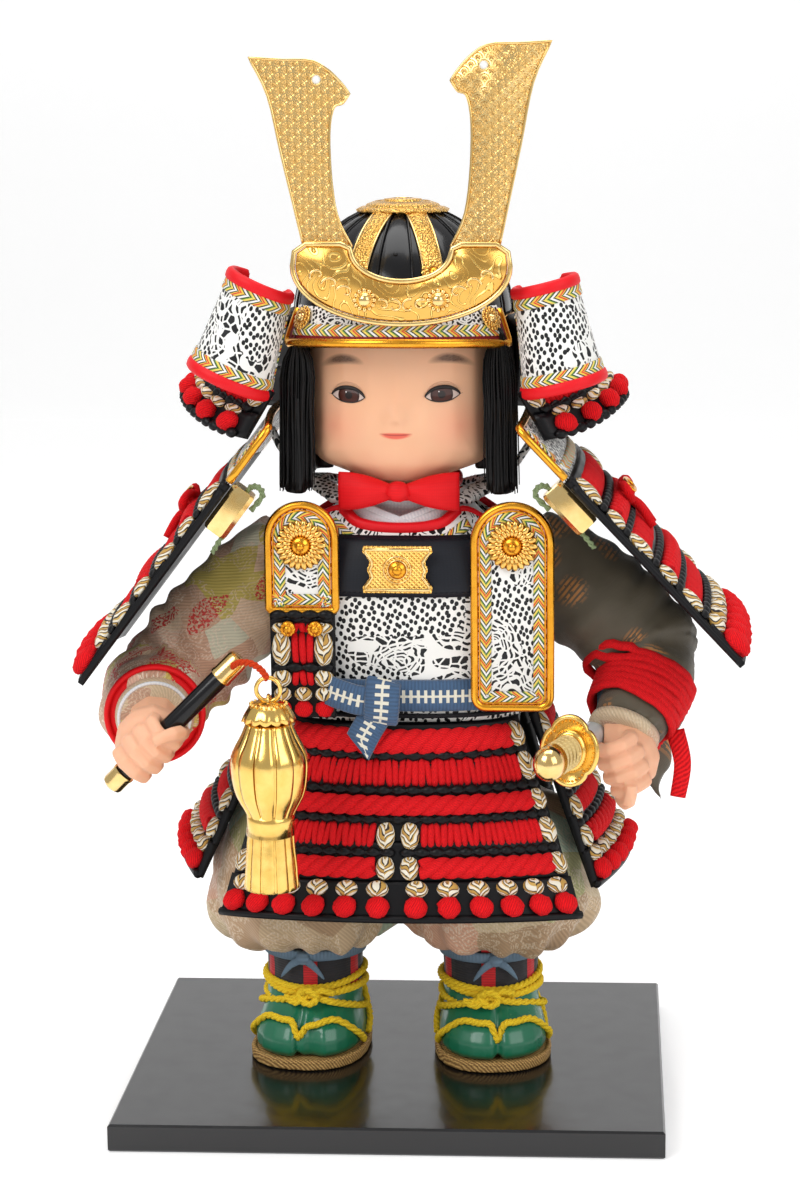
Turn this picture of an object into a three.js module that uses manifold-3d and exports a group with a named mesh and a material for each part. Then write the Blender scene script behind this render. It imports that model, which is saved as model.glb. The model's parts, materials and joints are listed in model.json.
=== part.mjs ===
// A Japanese festival doll: a child warrior in laced armour, standing on a lacquered board.
// Millimetres, +Z up, the doll looks along -Y. The origin is the centre of the board's underside.
// Right and left are the doll's own: its right side is at -X.

import * as THREE from 'three';
import { mergeVertices } from 'three/addons/utils/BufferGeometryUtils.js';
import Module from 'manifold-3d';

const wasm = await Module();
wasm.setup();

// Board
const boardWidth = 180;
const boardDepth = 140;
const boardThickness = 9.3;
const boardBevel = 0.7;

// Clearance between pieces that touch, and how far a cut runs past what it cuts
const gap = 0.3;
const overrun = 6;

// Feet: straw soles, moulded split-toe shoes and the ropes that tie them
const stance = 61;
const legSetBack = 7;
const footLength = 50;
const footWidth = 36.5;
const footForward = 3;
const toesOut = 8;
const soleThickness = 3;
const soleMargin = 1.6;
const shoeHeight = 20;
const ankleRadius = 16.6;
const ropeThickness = 2.4;

// Legs
const gaiterHeight = 16.5;
const trouserHeight = 50;
const trouserLegRadius = 33;
const trouserLegDepth = 33;
const trouserSpread = 65;
const trouserFold = 1.3;

// Trunk and cuirass
const trunkSetBack = 4;
const trunkOffset = 2.5;
const hipHeight = 33;
const chestHalfWidth = 46;
const chestHalfDepth = 33;
const cuirassHeight = 72;
const cuirassThickness = 3;
const coreClearance = 0.8;
const collarHeight = 13;
const collarRadius = 15.5;
const collarThickness = 1.2;
const bindingThickness = 3.4;
const chestBandHeight = 19;
const chestBandDrop = 1.5;
const chestBandThickness = 1;
const ornamentWidth = 22;
const ornamentHeight = 15;
const ornamentThickness = 1.6;
const rivetRadius = 2.6;
const sashHeight = 11;
const sashRise = 3.5;
const sashThickness = 1.8;
const sashKnotWidth = 22;
const sashKnotHeight = 11;
const sashTailLength = 17;
const sashTailWidth = 7;
const tailThickness = 1.6;
const sashKnotThickness = 4;
const sashKnotOffset = -4.5;
const strapWidth = 9;
const strapThickness = 2.2;
const strapRise = 5.5;
const hangingCordThickness = 3;

// Skirt panels, hung from the waist
const skirtLength = 61;
const skirtThickness = 2.4;
const skirtRowStep = 1.2;
const skirtDrop = 0.6;
const frontSkirtSwing = 10;
const frontSkirtTopHalfWidth = 46.5;
const frontSkirtTopDepth = 33.6;
const frontSkirtHemHalfWidth = 76;
const frontSkirtHemDepth = 52;
const backSkirtHemHalfWidth = 70;
const backSkirtHemDepth = 57;
const sideSkirtTopOut = 43.6;
const sideSkirtTopFront = -9;
const sideSkirtTopBack = 20;
const sideSkirtHemFront = -17;
const sideSkirtHemBack = 42;
const sideSkirtLength = 62;
const rightSideSkirtSlope = 25;
const leftSideSkirtSlope = 20;
const sideSkirtSplay = 12;

// Arms: the right one bent forward to hold the baton, the left one with its fist on the hip
const shoulderOut = 38;
const shoulderDrop = 19;
const sleeveRadius = 18.5;
const sleeveFold = 1;
const rightUpperArmOut = 23;
const rightUpperArmDrop = 27;
const rightElbowOut = 44;
const rightElbowDrop = 48;
const rightForearmOut = 42;
const rightForearmDrop = 50;
const rightForearmReach = 35;
const leftUpperArmOut = 24;
const leftUpperArmDrop = 19;
const leftElbowOut = 43.5;
const leftElbowDrop = 36;
const leftForearmOut = 36;
const leftForearmDrop = 56;
const leftForearmReach = 24;
const sleeveBagLength = 47;
const sleeveBagWidth = 30;
const sleeveBagThickness = 8;
const sleeveBagBack = 2;
const wrapThickness = 2;

// Fists
const fingerThickness = 5.4;
const gripRadius = 3.3;
const fistHalfDepth = 9;
const fistHalfHeight = 10;
const palmRise = 2.5;
const wristRadius = 9;
const rightFistOut = 78;
const rightFistForward = 55;
const rightFistDrop = 5.3;
const leftFistOut = 73;
const leftFistForward = 34;
const leftFistDrop = 8.8;

// Baton and its gilt tassel
const batonLength = 60;
const batonRadius = 3.2;
const batonLean = 45;
const batonBelowFist = 18;
const capLength = 9;
const capWall = 0.5;
const endCapLength = 6.5;
const tasselCordThickness = 2;
const tasselCordDrop = 1.5;
const tasselCordRise = 2.2;
const tasselRingRadius = 3.8;
const tasselRingThickness = 1.2;
const tasselLength = 57;
const tasselEyeHeight = 2.5;
const tasselRadius = 11.8;
const tasselForward = 66;
const tasselOut = 38;

// Sword, worn edge on at the left hip
const swordOut = 56;
const swordForward = 50;
const swordDrop = 3.3;
const swordYaw = 15;
const swordDip = 4.5;
const gripLength = 24;
const gripHalfWidth = 4.3;
const gripHalfHeight = 5.2;
const pommelLength = 5;
const guardHalfWidth = 9.4;
const guardHalfHeight = 11.4;
const guardThickness = 1.8;
const scabbardLength = 112;
const scabbardHalfWidth = 4.4;
const scabbardHalfHeight = 5;
const bladeHalfThickness = 0.8;
const bladeHalfHeight = 2.6;
const bladeLength = 100;

// Shoulder guards
const shoulderGuardTopOut = 40;
const shoulderGuardRise = 27.2;
const shoulderGuardLength = 104;
const shoulderGuardWidth = 76;
const shoulderGuardFront = -43;
const rightGuardSlope = 53;
const leftGuardSlope = 46.5;
const shoulderGuardBow = 3;
const shoulderGuardThickness = 2.2;
const shoulderGuardRowStep = 1.3;
const topPlateLength = 22;
const clipLength = 20;
const clipWidth = 8;
const clipDepth = 10;

// Breast guards
const breastGuardOut = 31;
const breastGuardRise = 1.7;
const breastGuardThickness = 2;
const rightBreastPlateWidth = 24;
const rightBreastPlateHeight = 37;
const rightBreastLamesWidth = 21;
const rightBreastLamesHeight = 34;
const leftBreastPlateWidth = 27;
const leftBreastPlateHeight = 69;
const rosetteRadius = 8.6;
const rosetteThickness = 2.6;
const rosetteDrop = 14;
const leftBreastGuardOut = 37;

// Head, hair and the red bow under the chin
const headHeight = 71;
const headHalfWidth = 32;
const headHalfDepth = 29.5;
const headSetBack = 1.5;
const chinRise = 6.7;
const noseReach = 2;
const neckRadius = 11.5;
const neckPegRadius = 8;
const neckPegLength = 12;
const hairThickness = 4.6;
const hairBottomRise = 1.5;
const lockHalfWidth = 6.4;
const lockHalfDepth = 5.4;
const lockOut = 31.6;
const lockForward = 22;
const fringeHeight = 44;
const faceHalfOpening = 29.5;
const jawHalfOpening = 27;
const bowHalfWidth = 20;
const bowHeight = 11;
const bowDepth = 5;
const scarfThickness = 1.6;
const scarfDrop = 3;
const scarfRadius = 19;

// Helmet
const bowlSideRoom = 4;
const bowlEndRoom = 10.5;
const bowlRise = 37;
const bowlThickness = 2;
const bowlRimRise = 51;
const visorDrop = 12;
const visorReach = 6.5;
const visorThickness = 1.6;
const neckGuardSideFlare = 35.5;
const neckGuardFrontFlare = 10;
const neckGuardBackFlare = 24;
const neckGuardDrop = 36;
const neckGuardLap = 1.5;
const neckGuardSideLift = 10;
const neckGuardThickness = 2;
const neckGuardRowStep = 1.4;
const neckGuardOpening = 41;
const neckGuardUpperOpening = 66;
const crownRadius = 15;
const crownThickness = 1.4;
const crestOffset = 3;
const crestHalfWidth = 33;
const crestHeight = 23;
const crestInnerHalfWidth = 16.5;
const crestInnerDrop = 10.5;
const crestThickness = 1.6;
const crestForward = 43.6;
const crestRise = 3;
const socketWidth = 12;
const socketHeight = 9;
const hornThickness = 1;
const rightHornHeight = 57.5;
const leftHornHeight = 62.5;
const hornSpread = 23.6;
const hornTongue = 7;
const hornRootOut = 22.9;
const hornTongueWidth = 9.6;
const hornHoleRadius = 1.4;
const bracketWidth = 12;
const bracketHeight = 5;
const turnbackRadius = 9.9;
const turnbackFlare = 3.2;
const turnbackLength = 33.5;
const turnbackThickness = 1.8;
const rightTurnbackLean = 19;
const leftTurnbackLean = 11;
const turnbackFootOut = 53.5;
const turnbackForward = 29;
const turnbackRise = 14;

// Levels that follow from the sizes above
const soleBottom = boardThickness + gap;
const shoeBottom = soleBottom + soleThickness + gap;
const shoeTop = shoeBottom + shoeHeight;
const gaiterTop = shoeTop + gap + gaiterHeight;
const trouserBottom = gaiterTop + gap;
const trouserTop = trouserBottom + trouserHeight;
const trunkBottom = trouserTop + gap;
const waist = trunkBottom + hipHeight;
const shoulderHeight = waist + cuirassHeight;
const skirtTop = waist - skirtDrop;
const swordHeight = waist - swordDrop;
const armTop = shoulderHeight - shoulderDrop;
const rightFistHeight = armTop - rightForearmDrop - rightFistDrop;
const leftFistHeight = armTop - leftForearmDrop - leftFistDrop;
const breastGuardTop = shoulderHeight + breastGuardRise;
const shoulderGuardTopHeight = shoulderHeight + shoulderGuardRise;
const chinHeight = shoulderHeight + chinRise;
const bowlHalfWidth = headHalfWidth + bowlSideRoom;
const bowlHalfDepth = headHalfDepth + bowlEndRoom;
const bowlRimHeight = chinHeight + bowlRimRise;
const crestBottomHeight = bowlRimHeight + crestRise;
const turnbackTopHeight = bowlRimHeight + turnbackRise;

// Colours
const lacquerBlack = { color: 0x0b0c0e, roughness: 0.18, metalness: 0 };
const straw = { color: 0x9a6a2a, roughness: 0.8, metalness: 0 };
const green = { color: 0x0f6b45, roughness: 0.3, metalness: 0 };
const yellowRope = { color: 0xd9b311, roughness: 0.75, metalness: 0 };
const blackCloth = { color: 0x14151c, roughness: 0.8, metalness: 0 };
const brocade = { color: 0x9c7a55, roughness: 0.7, metalness: 0 };
const oliveCloth = { color: 0x4b3f2c, roughness: 0.65, metalness: 0 };
const whiteCloth = { color: 0xeeeeea, roughness: 0.7, metalness: 0 };
const leather = { color: 0xe9e6dc, roughness: 0.6, metalness: 0 };
const red = { color: 0xc8101a, roughness: 0.75, metalness: 0 };
const blueCloth = { color: 0x2f4d75, roughness: 0.75, metalness: 0 };
const gold = { color: 0xe0ae3c, roughness: 0.28, metalness: 1 };
const skin = { color: 0xf0b491, roughness: 0.55, metalness: 0 };
const hairBlack = { color: 0x060607, roughness: 0.45, metalness: 0 };
const strawBody = { color: 0xb79a63, roughness: 0.9, metalness: 0 };
const steel = { color: 0xbfc4c8, roughness: 0.25, metalness: 1 };
const paleLacquer = { color: 0xc9d2d6, roughness: 0.3, metalness: 0 };
const orangeCord = { color: 0xd8401c, roughness: 0.75, metalness: 0 };

const radians = THREE.MathUtils.degToRad;
const lerp = THREE.MathUtils.lerp;
const turn = 2 * Math.PI;
const front = -Math.PI / 2;

// Solids: welding, joining and cutting

function toSolid(geometry) {
  const bare = geometry.clone();
  bare.deleteAttribute('normal');
  bare.deleteAttribute('uv');
  const welded = mergeVertices(bare);
  return new wasm.Manifold(new wasm.Mesh({
    numProp: 3,
    vertProperties: new Float32Array(welded.attributes.position.array),
    triVerts: new Uint32Array(welded.index.array),
  }));
}

function toGeometry(solid) {
  const mesh = solid.getMesh();
  const geometry = new THREE.BufferGeometry();
  geometry.setAttribute('position', new THREE.BufferAttribute(mesh.vertProperties, 3));
  geometry.setIndex(new THREE.BufferAttribute(mesh.triVerts, 1));
  geometry.computeVertexNormals();
  return geometry;
}

function join(...pieces) {
  return toGeometry(pieces.map(toSolid).reduce((whole, piece) => whole.add(piece)));
}

function cut(piece, ...tools) {
  return toGeometry(tools.map(toSolid).reduce((whole, tool) => whole.subtract(tool), toSolid(piece)));
}

// Turns a closed mesh so that its faces point out
function facingOut(geometry) {
  const place = geometry.attributes.position;
  const index = geometry.index.array;
  const corners = [new THREE.Vector3(), new THREE.Vector3(), new THREE.Vector3()];
  let volume = 0;
  for (let i = 0; i < index.length; i += 3) {
    corners.forEach((corner, k) => corner.fromBufferAttribute(place, index[i + k]));
    volume += corners[0].dot(corners[1].clone().cross(corners[2]));
  }
  if (volume < 0) {
    for (let i = 0; i < index.length; i += 3) {
      [index[i], index[i + 1]] = [index[i + 1], index[i]];
    }
  }
  geometry.computeVertexNormals();
  return geometry;
}

function fromPoints(points, faces) {
  const geometry = new THREE.BufferGeometry();
  const numbers = points.flatMap((point) => [point.x, point.y, point.z]);
  geometry.setAttribute('position', new THREE.Float32BufferAttribute(numbers, 3));
  geometry.setIndex(faces);
  return facingOut(geometry);
}

// A closed body over rings that all have the same number of points, capped at both ends
function loft(rings) {
  const count = rings[0].length;
  const points = rings.flat();
  const faces = [];
  for (let i = 0; i < rings.length - 1; i += 1) {
    for (let j = 0; j < count; j += 1) {
      const a = i * count + j;
      const b = i * count + ((j + 1) % count);
      faces.push(a, b, b + count, a, b + count, a + count);
    }
  }
  [0, rings.length - 1].forEach((end) => {
    const middle = new THREE.Vector3();
    rings[end].forEach((point) => middle.add(point));
    points.push(middle.divideScalar(count));
    const hub = points.length - 1;
    for (let j = 0; j < count; j += 1) {
      const a = end * count + j;
      const b = end * count + ((j + 1) % count);
      faces.push(...(end === 0 ? [b, a, hub] : [a, b, hub]));
    }
  });
  return fromPoints(points, faces);
}

// Even steps from 0 to 1
function spread(steps) {
  return Array.from({ length: steps + 1 }, (_, i) => i / steps);
}

// A sheet of one thickness. place(u, v) is a point of its face, relief(u, v) lifts the face there.
function sheet(place, uSteps, vSteps, thickness, options = {}) {
  const { wraps = false, relief = () => 0, flip = false } = options;
  const us = wraps ? uSteps.slice(0, -1) : uSteps;
  const small = 1e-3;
  const faceAt = (u, v) => {
    const [uLow, uHigh] = wraps ? [u - small, u + small] : [Math.max(u - small, 0), Math.min(u + small, 1)];
    const [vLow, vHigh] = [Math.max(v - small, 0), Math.min(v + small, 1)];
    const along = place(uHigh, v).sub(place(uLow, v));
    const up = place(u, vHigh).sub(place(u, vLow));
    return along.cross(up).normalize().multiplyScalar(flip ? -1 : 1);
  };
  const points = [];
  us.forEach((u) => vSteps.forEach((v) => {
    const normal = faceAt(u, v);
    const middle = place(u, v);
    points.push(middle.clone().addScaledVector(normal, relief(u, v)));
    points.push(middle.clone().addScaledVector(normal, -thickness));
  }));
  const rows = vSteps.length;
  const at = (i, j, inner) => ((i % us.length) * rows + j) * 2 + inner;
  const faces = [];
  const quad = (a, b, c, d) => faces.push(a, b, c, a, c, d);
  const spans = wraps ? us.length : us.length - 1;
  for (let i = 0; i < spans; i += 1) {
    for (let j = 0; j < rows - 1; j += 1) {
      quad(at(i, j, 0), at(i + 1, j, 0), at(i + 1, j + 1, 0), at(i, j + 1, 0));
      quad(at(i, j, 1), at(i, j + 1, 1), at(i + 1, j + 1, 1), at(i + 1, j, 1));
    }
    quad(at(i, 0, 0), at(i, 0, 1), at(i + 1, 0, 1), at(i + 1, 0, 0));
    quad(at(i, rows - 1, 0), at(i + 1, rows - 1, 0), at(i + 1, rows - 1, 1), at(i, rows - 1, 1));
  }
  if (!wraps) {
    const last = us.length - 1;
    for (let j = 0; j < rows - 1; j += 1) {
      quad(at(0, j, 0), at(0, j + 1, 0), at(0, j + 1, 1), at(0, j, 1));
      quad(at(last, j, 0), at(last, j, 1), at(last, j + 1, 1), at(last, j + 1, 0));
    }
  }
  return fromPoints(points, faces);
}

// A smooth line through the rows of a table whose first column rises
function follow(table, at, column = 1) {
  const last = table.length - 1;
  const found = table.findIndex((row) => row[0] >= at);
  if (found === 0) {
    return table[0][column];
  }
  const end = found < 0 ? last : found;
  const start = end - 1;
  const before = Math.max(start - 1, 0);
  const after = Math.min(end + 1, last);
  const span = table[end][0] - table[start][0];
  const t = Math.min((at - table[start][0]) / span, 1);
  const slope = (a, b) => ((table[b][column] - table[a][column]) / (table[b][0] - table[a][0])) * span;
  const rise = table[end][column] - table[start][column];
  const leave = slope(before, end);
  const arrive = slope(start, after);
  const bend = t * (1 - t);
  return table[start][column] + rise * t + bend * ((1 - t) * (leave - rise) - t * (arrive - rise));
}

// A point of a rounded rectangle that grows squarer as its power rises
function roundedPoint(angle, halfX, halfY, power = 2) {
  const across = Math.cos(angle);
  const along = Math.sin(angle);
  const scale = (Math.abs(across) ** power + Math.abs(along) ** power) ** (-1 / power);
  return [halfX * across * scale, halfY * along * scale];
}

// A closed tube or limb along a curve; size(t, angle) is its radius there
function limb(curve, sides, steps, size) {
  const frames = curve.computeFrenetFrames(steps, false);
  const rings = spread(steps).map((t, i) => spread(sides).slice(0, -1).map((share) => {
    const angle = share * turn;
    const radius = size(t, angle);
    return curve.getPoint(t)
      .addScaledVector(frames.normals[i], radius * Math.cos(angle))
      .addScaledVector(frames.binormals[i], radius * Math.sin(angle));
  }));
  return loft(rings);
}

// A round rope along a curve
function rope(curve, thickness, sides, steps) {
  const section = new THREE.Shape();
  spread(sides).slice(0, -1).forEach((share, i) => {
    const x = (thickness / 2) * Math.cos(share * turn);
    const y = (thickness / 2) * Math.sin(share * turn);
    if (i === 0) {
      section.moveTo(x, y);
    } else {
      section.lineTo(x, y);
    }
  });
  return new THREE.ExtrudeGeometry(section, { steps, bevelEnabled: false, extrudePath: curve });
}

function curveThrough(points, closed = false) {
  return new THREE.CatmullRomCurve3(points, closed, 'centripetal');
}

function vector(x, y, z) {
  return new THREE.Vector3(x, y, z);
}

// A flat plate from a 2-D outline, drawn in X and Z, its face towards -Y at the given place
function mesh(name, geometry, look) {
  const piece = new THREE.Mesh(geometry, new THREE.MeshStandardMaterial(look));
  piece.name = name;
  return piece;
}

const group = new THREE.Group();

// Everything above the legs stands a little to the doll's left of the middle of the board
const doll = new THREE.Group();
doll.position.x = trunkOffset;
group.add(doll);

function add(name, geometry, look, home = doll) {
  const piece = mesh(name, geometry, look);
  home.add(piece);
  return piece;
}

const sides = [{ name: 'right', sign: -1 }, { name: 'left', sign: 1 }];

// Board: a lacquered slab with a small bevel all round

function board() {
  const halfX = boardWidth / 2 - boardBevel;
  const halfY = boardDepth / 2 - boardBevel;
  const outline = new THREE.Shape([
    new THREE.Vector2(-halfX, -halfY), new THREE.Vector2(halfX, -halfY),
    new THREE.Vector2(halfX, halfY), new THREE.Vector2(-halfX, halfY),
  ]);
  const depth = boardThickness - 2 * boardBevel;
  const bevel = { bevelEnabled: true, bevelThickness: boardBevel, bevelSize: boardBevel, bevelSegments: 1 };
  return new THREE.ExtrudeGeometry(outline, { depth, ...bevel }).translate(0, 0, boardBevel);
}

add('base_board', board(), lacquerBlack, group);

// Feet. A foot is drawn about its leg axis, toes towards -Y, with the split beside the big toe.

const toeSpreadShare = 0.1;
const footPower = 2.35;
const splitAngleShare = 0.035;
const splitWidth = 0.13;
const splitDepthShare = 0.13;

// Height share, how far the outline has closed in on the ankle, and its own size
const shoeShares = [
  [0, 0, 0.93], [0.1, 0, 1], [0.3, 0.03, 1], [0.48, 0.14, 0.96], [0.64, 0.36, 0.9], [0.8, 0.72, 0.86],
  [1, 1, 0.86],
];

function footOutline(angle, extra) {
  const [x, y] = roundedPoint(angle, footWidth / 2 + extra, footLength / 2 + extra, footPower);
  const toeward = -y / footLength;
  return [x * (1 + toeSpreadShare * 2 * toeward), y];
}

function shoePoint(angle, share, sign, extra = 0) {
  const near = follow(shoeShares, share, 1);
  const size = follow(shoeShares, share, 2);
  const splitAngle = front + sign * -splitAngleShare * turn;
  const away = (angle - splitAngle) / splitWidth;
  const notch = 1 - splitDepthShare * Math.exp(-away * away) * (1 - near);
  const [x, y] = footOutline(angle, extra);
  const ankle = ankleRadius + extra;
  return vector(
    lerp(x * size * notch, ankle * Math.cos(angle), near),
    lerp(y * size * notch - footForward, ankle * Math.sin(angle), near),
    lerp(shoeBottom, shoeTop, share),
  );
}

function footAxis(sign) {
  const foot = new THREE.Group();
  foot.position.set((sign * stance) / 2, legSetBack, 0);
  foot.rotation.z = sign * radians(toesOut);
  group.add(foot);
  return foot;
}

function sole(sign) {
  const outline = new THREE.Shape(spread(28).slice(0, -1).map((share) => {
    const [x, y] = footOutline(share * turn, soleMargin);
    return new THREE.Vector2(x, y - footForward);
  }));
  return new THREE.ExtrudeGeometry(outline, { depth: soleThickness, bevelEnabled: false })
    .translate(0, 0, soleBottom);
}

function shoe(sign) {
  const angles = spread(28).slice(0, -1).map((share) => share * turn + front);
  return loft(shoeShares.map(([share]) => angles.map((angle) => shoePoint(angle, share, sign))));
}

// Where the rope lies on the shoe: share of a turn from the toes, and height share
const thongShares = [
  [-0.25, 1.1], [-0.245, 0.8], [-0.22, 0.58], [-0.14, 0.44], [-0.06, 0.37], [0, 0.32],
  [0.06, 0.37], [0.14, 0.44], [0.22, 0.58], [0.245, 0.8], [0.25, 1.1],
];
const ropeSeatShare = 1.33;
const ropeLayerShare = 0.8;

function sandalRope(sign) {
  const away = (ropeThickness / 2 + gap) * ropeSeatShare;
  const small = 1e-3;
  const seat = (angle, share) => {
    const along = shoePoint(angle + small, share, sign).sub(shoePoint(angle - small, share, sign));
    const up = shoePoint(angle, share + small, sign).sub(shoePoint(angle, share - small, sign));
    return shoePoint(angle, share, sign).addScaledVector(along.cross(up).normalize(), away);
  };
  const route = thongShares.map(([share, height]) => seat(front + share * turn, height));
  const thong = rope(curveThrough(route), ropeThickness, 5, 22);
  const turns = [0, 1].map((layer) => {
    const ring = new THREE.TorusGeometry(ankleRadius + away, ropeThickness / 2, 5, 14);
    return ring.translate(0, 0, shoeTop + ropeThickness / 2 + gap + layer * ropeLayerShare * ropeThickness);
  });
  return join(thong, ...turns);
}

// A solid turned about Z from an outline of [radius, height] points that starts and ends on the axis
function turned(points, segments) {
  const outline = points.map(([radius, height]) => new THREE.Vector2(radius, height));
  const bare = new THREE.LatheGeometry(outline, segments).rotateX(Math.PI / 2);
  bare.deleteAttribute('normal');
  bare.deleteAttribute('uv');
  const welded = mergeVertices(bare);
  const index = welded.index.array;
  const faces = [];
  for (let i = 0; i < index.length; i += 3) {
    const [a, b, c] = [index[i], index[i + 1], index[i + 2]];
    if (a !== b && b !== c && a !== c) {
      faces.push(a, b, c);
    }
  }
  welded.setIndex(faces);
  return facingOut(welded);
}

function gaiter() {
  const bottom = shoeTop + gap;
  return turned([
    [0, bottom], [ankleRadius - gap, bottom], [ankleRadius, bottom + gaiterHeight],
    [0, bottom + gaiterHeight],
  ], 20);
}

sides.forEach(({ name, sign }) => {
  const foot = footAxis(sign);
  add(`${name}_sandal_sole`, sole(sign), straw, foot);
  add(`${name}_shoe`, shoe(sign), green, foot);
  add(`${name}_sandal_rope`, sandalRope(sign), yellowRope, foot);
  add(`${name}_gaiter`, gaiter(), blackCloth, foot);
});

// Trousers: two balloons of cloth, gathered at the gaiters and joined at the seat.
// Height share, size share, and how far the leg's centre has moved from the leg axis to the seat's.
const trouserShares = [
  [0, 0.55, 0], [-0.02, 0.66, 0.1], [0.02, 0.81, 0.3], [0.12, 0.94, 0.6], [0.25, 1, 1], [0.4, 0.97, 1],
  [0.58, 0.92, 0.7], [0.76, 0.84, 0.1], [0.9, 0.78, -0.6], [1, 0.72, -1.4],
];
const trouserFolds = 6;
const trouserFoldMiddleShare = 0.2;

function trouserLeg(sign) {
  const points = spread(24).slice(0, -1).map((share) => share * turn);
  const axis = stance / 2;
  return loft(trouserShares.map(([height, size, out]) => points.map((angle) => {
    const fade = 1 - Math.abs(height - trouserFoldMiddleShare);
    const fold = trouserFold * fade * Math.cos(trouserFolds * angle);
    const x = (trouserLegRadius * size + fold) * Math.cos(angle);
    const y = (trouserLegDepth * size + fold) * Math.sin(angle);
    const centre = axis + (trouserSpread / 2 - axis) * out;
    return vector(sign * centre + x, legSetBack + y, trouserBottom + trouserHeight * height);
  })));
}

function trousers() {
  return join(trouserLeg(-1), trouserLeg(1));
}

add('trousers', trousers(), brocade, group);

// Trunk. Height share of the cuirass from the waist up, half width share and half depth share.
const torsoShares = [
  [-0.47, 0.84, 0.86], [0, 0.93, 0.95], [0.17, 0.95, 0.96], [0.45, 1, 1], [0.65, 1, 1],
  [0.79, 0.925, 0.92], [0.87, 0.8, 0.82], [0.97, 0.67, 0.72], [1.06, 0.58, 0.62],
];
const torsoPower = 2.7;

function torsoPoint(angle, share, extra = 0) {
  const halfX = chestHalfWidth * follow(torsoShares, share, 1) + extra;
  const halfY = chestHalfDepth * follow(torsoShares, share, 2) + extra;
  const [x, y] = roundedPoint(angle, halfX, halfY, torsoPower);
  return vector(x, trunkSetBack + y, waist + share * cuirassHeight);
}

// How far forward the trunk reaches at one place across it
function torsoFront(x, share, extra = 0) {
  const halfX = chestHalfWidth * follow(torsoShares, share, 1) + extra;
  const halfY = chestHalfDepth * follow(torsoShares, share, 2) + extra;
  const left = Math.max(1 - (Math.abs(x) / halfX) ** torsoPower, 0);
  return trunkSetBack - halfY * left ** (1 / torsoPower);
}

// The straw-stuffed trunk narrows inside the cuirass towards the neck
const coreShares = [[-0.47, 1], [0.6, 1], [0.66, 0.98], [0.79, 0.86], [0.87, 0.71], [0.92, 0.61],
  [0.97, 0.5]];

function torsoRings(extra, shares, narrowing = () => 1, count = 28) {
  const angles = spread(count).slice(0, -1).map((share) => share * turn + front);
  return shares.map((share) => angles.map((angle) => {
    const point = torsoPoint(angle, share, extra);
    point.x *= narrowing(share);
    point.y = trunkSetBack + (point.y - trunkSetBack) * narrowing(share);
    return point;
  }));
}

const coreBottomShare = (trunkBottom - waist) / cuirassHeight;
const coreTopShare = 0.97;
const neckBottom = waist + coreTopShare * cuirassHeight + gap;

function bodyCore() {
  const shares = [coreBottomShare, 0, 0.4, 0.66, 0.79, 0.87, 0.92, coreTopShare];
  const body = loft(torsoRings(-(cuirassThickness + coreClearance), shares,
    (share) => follow(coreShares, share), 20));
  const top = neckBottom;
  const socket = turned([
    [0, top - neckPegLength - 2 * gap], [neckPegRadius + gap, top - neckPegLength - 2 * gap],
    [neckPegRadius + gap, top + overrun], [0, top + overrun],
  ], 12).translate(0, trunkSetBack, 0);
  return cut(body, socket);
}

add('body_core', bodyCore(), strawBody);

// Cuirass: a leather-covered shell, open at the neck and the arms.
// Degrees from the front and the height share of its upper edge there.
const edgeShares = [[0, 0.87], [22, 0.9], [38, 0.96], [52, 0.88], [72, 0.64], [100, 0.6], [124, 0.82],
  [146, 0.96], [180, 0.98]];

function edgeShare(angle) {
  const away = Math.abs(THREE.MathUtils.euclideanModulo(angle - front + Math.PI, turn) - Math.PI);
  return follow(edgeShares, THREE.MathUtils.radToDeg(away));
}

function cuirass(extra = 0) {
  const place = (u, v) => {
    const angle = front + u * turn;
    return torsoPoint(angle, v * (edgeShare(angle) + extra / cuirassHeight), extra);
  };
  return sheet(place, spread(28), [0, 0.25, 0.5, 0.7, 0.82, 0.92, 1], cuirassThickness + extra,
    { wraps: true });
}

add('cuirass', cuirass(), leather);

function onTorso(u, halfAngle, share, extra) {
  return torsoPoint(front + (2 * u - 1) * radians(halfAngle), share, extra);
}

const bandHalfAngle = 48;
const bindingHalfAngle = 32;
const bindingSeatShare = 1.1;
const ornamentWaistShare = 0.45;
const neckline = edgeShares[0][1];

function neckBinding() {
  const lift = bindingThickness / 2 + gap;
  const points = spread(12).map((u) => {
    const angle = front + (2 * u - 1) * radians(bindingHalfAngle);
    const point = torsoPoint(angle, edgeShare(angle), -cuirassThickness / 2);
    return point.setZ(point.z + lift * bindingSeatShare);
  });
  return rope(curveThrough(points), bindingThickness, 7, 14);
}

function chestBand() {
  const top = neckline - chestBandDrop / cuirassHeight;
  const bottom = top - chestBandHeight / cuirassHeight;
  const place = (u, v) => onTorso(u, bandHalfAngle, lerp(bottom, top, v), 2 * gap + chestBandThickness);
  return cut(sheet(place, spread(12), spread(2), chestBandThickness), cuirass(gap));
}

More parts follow.
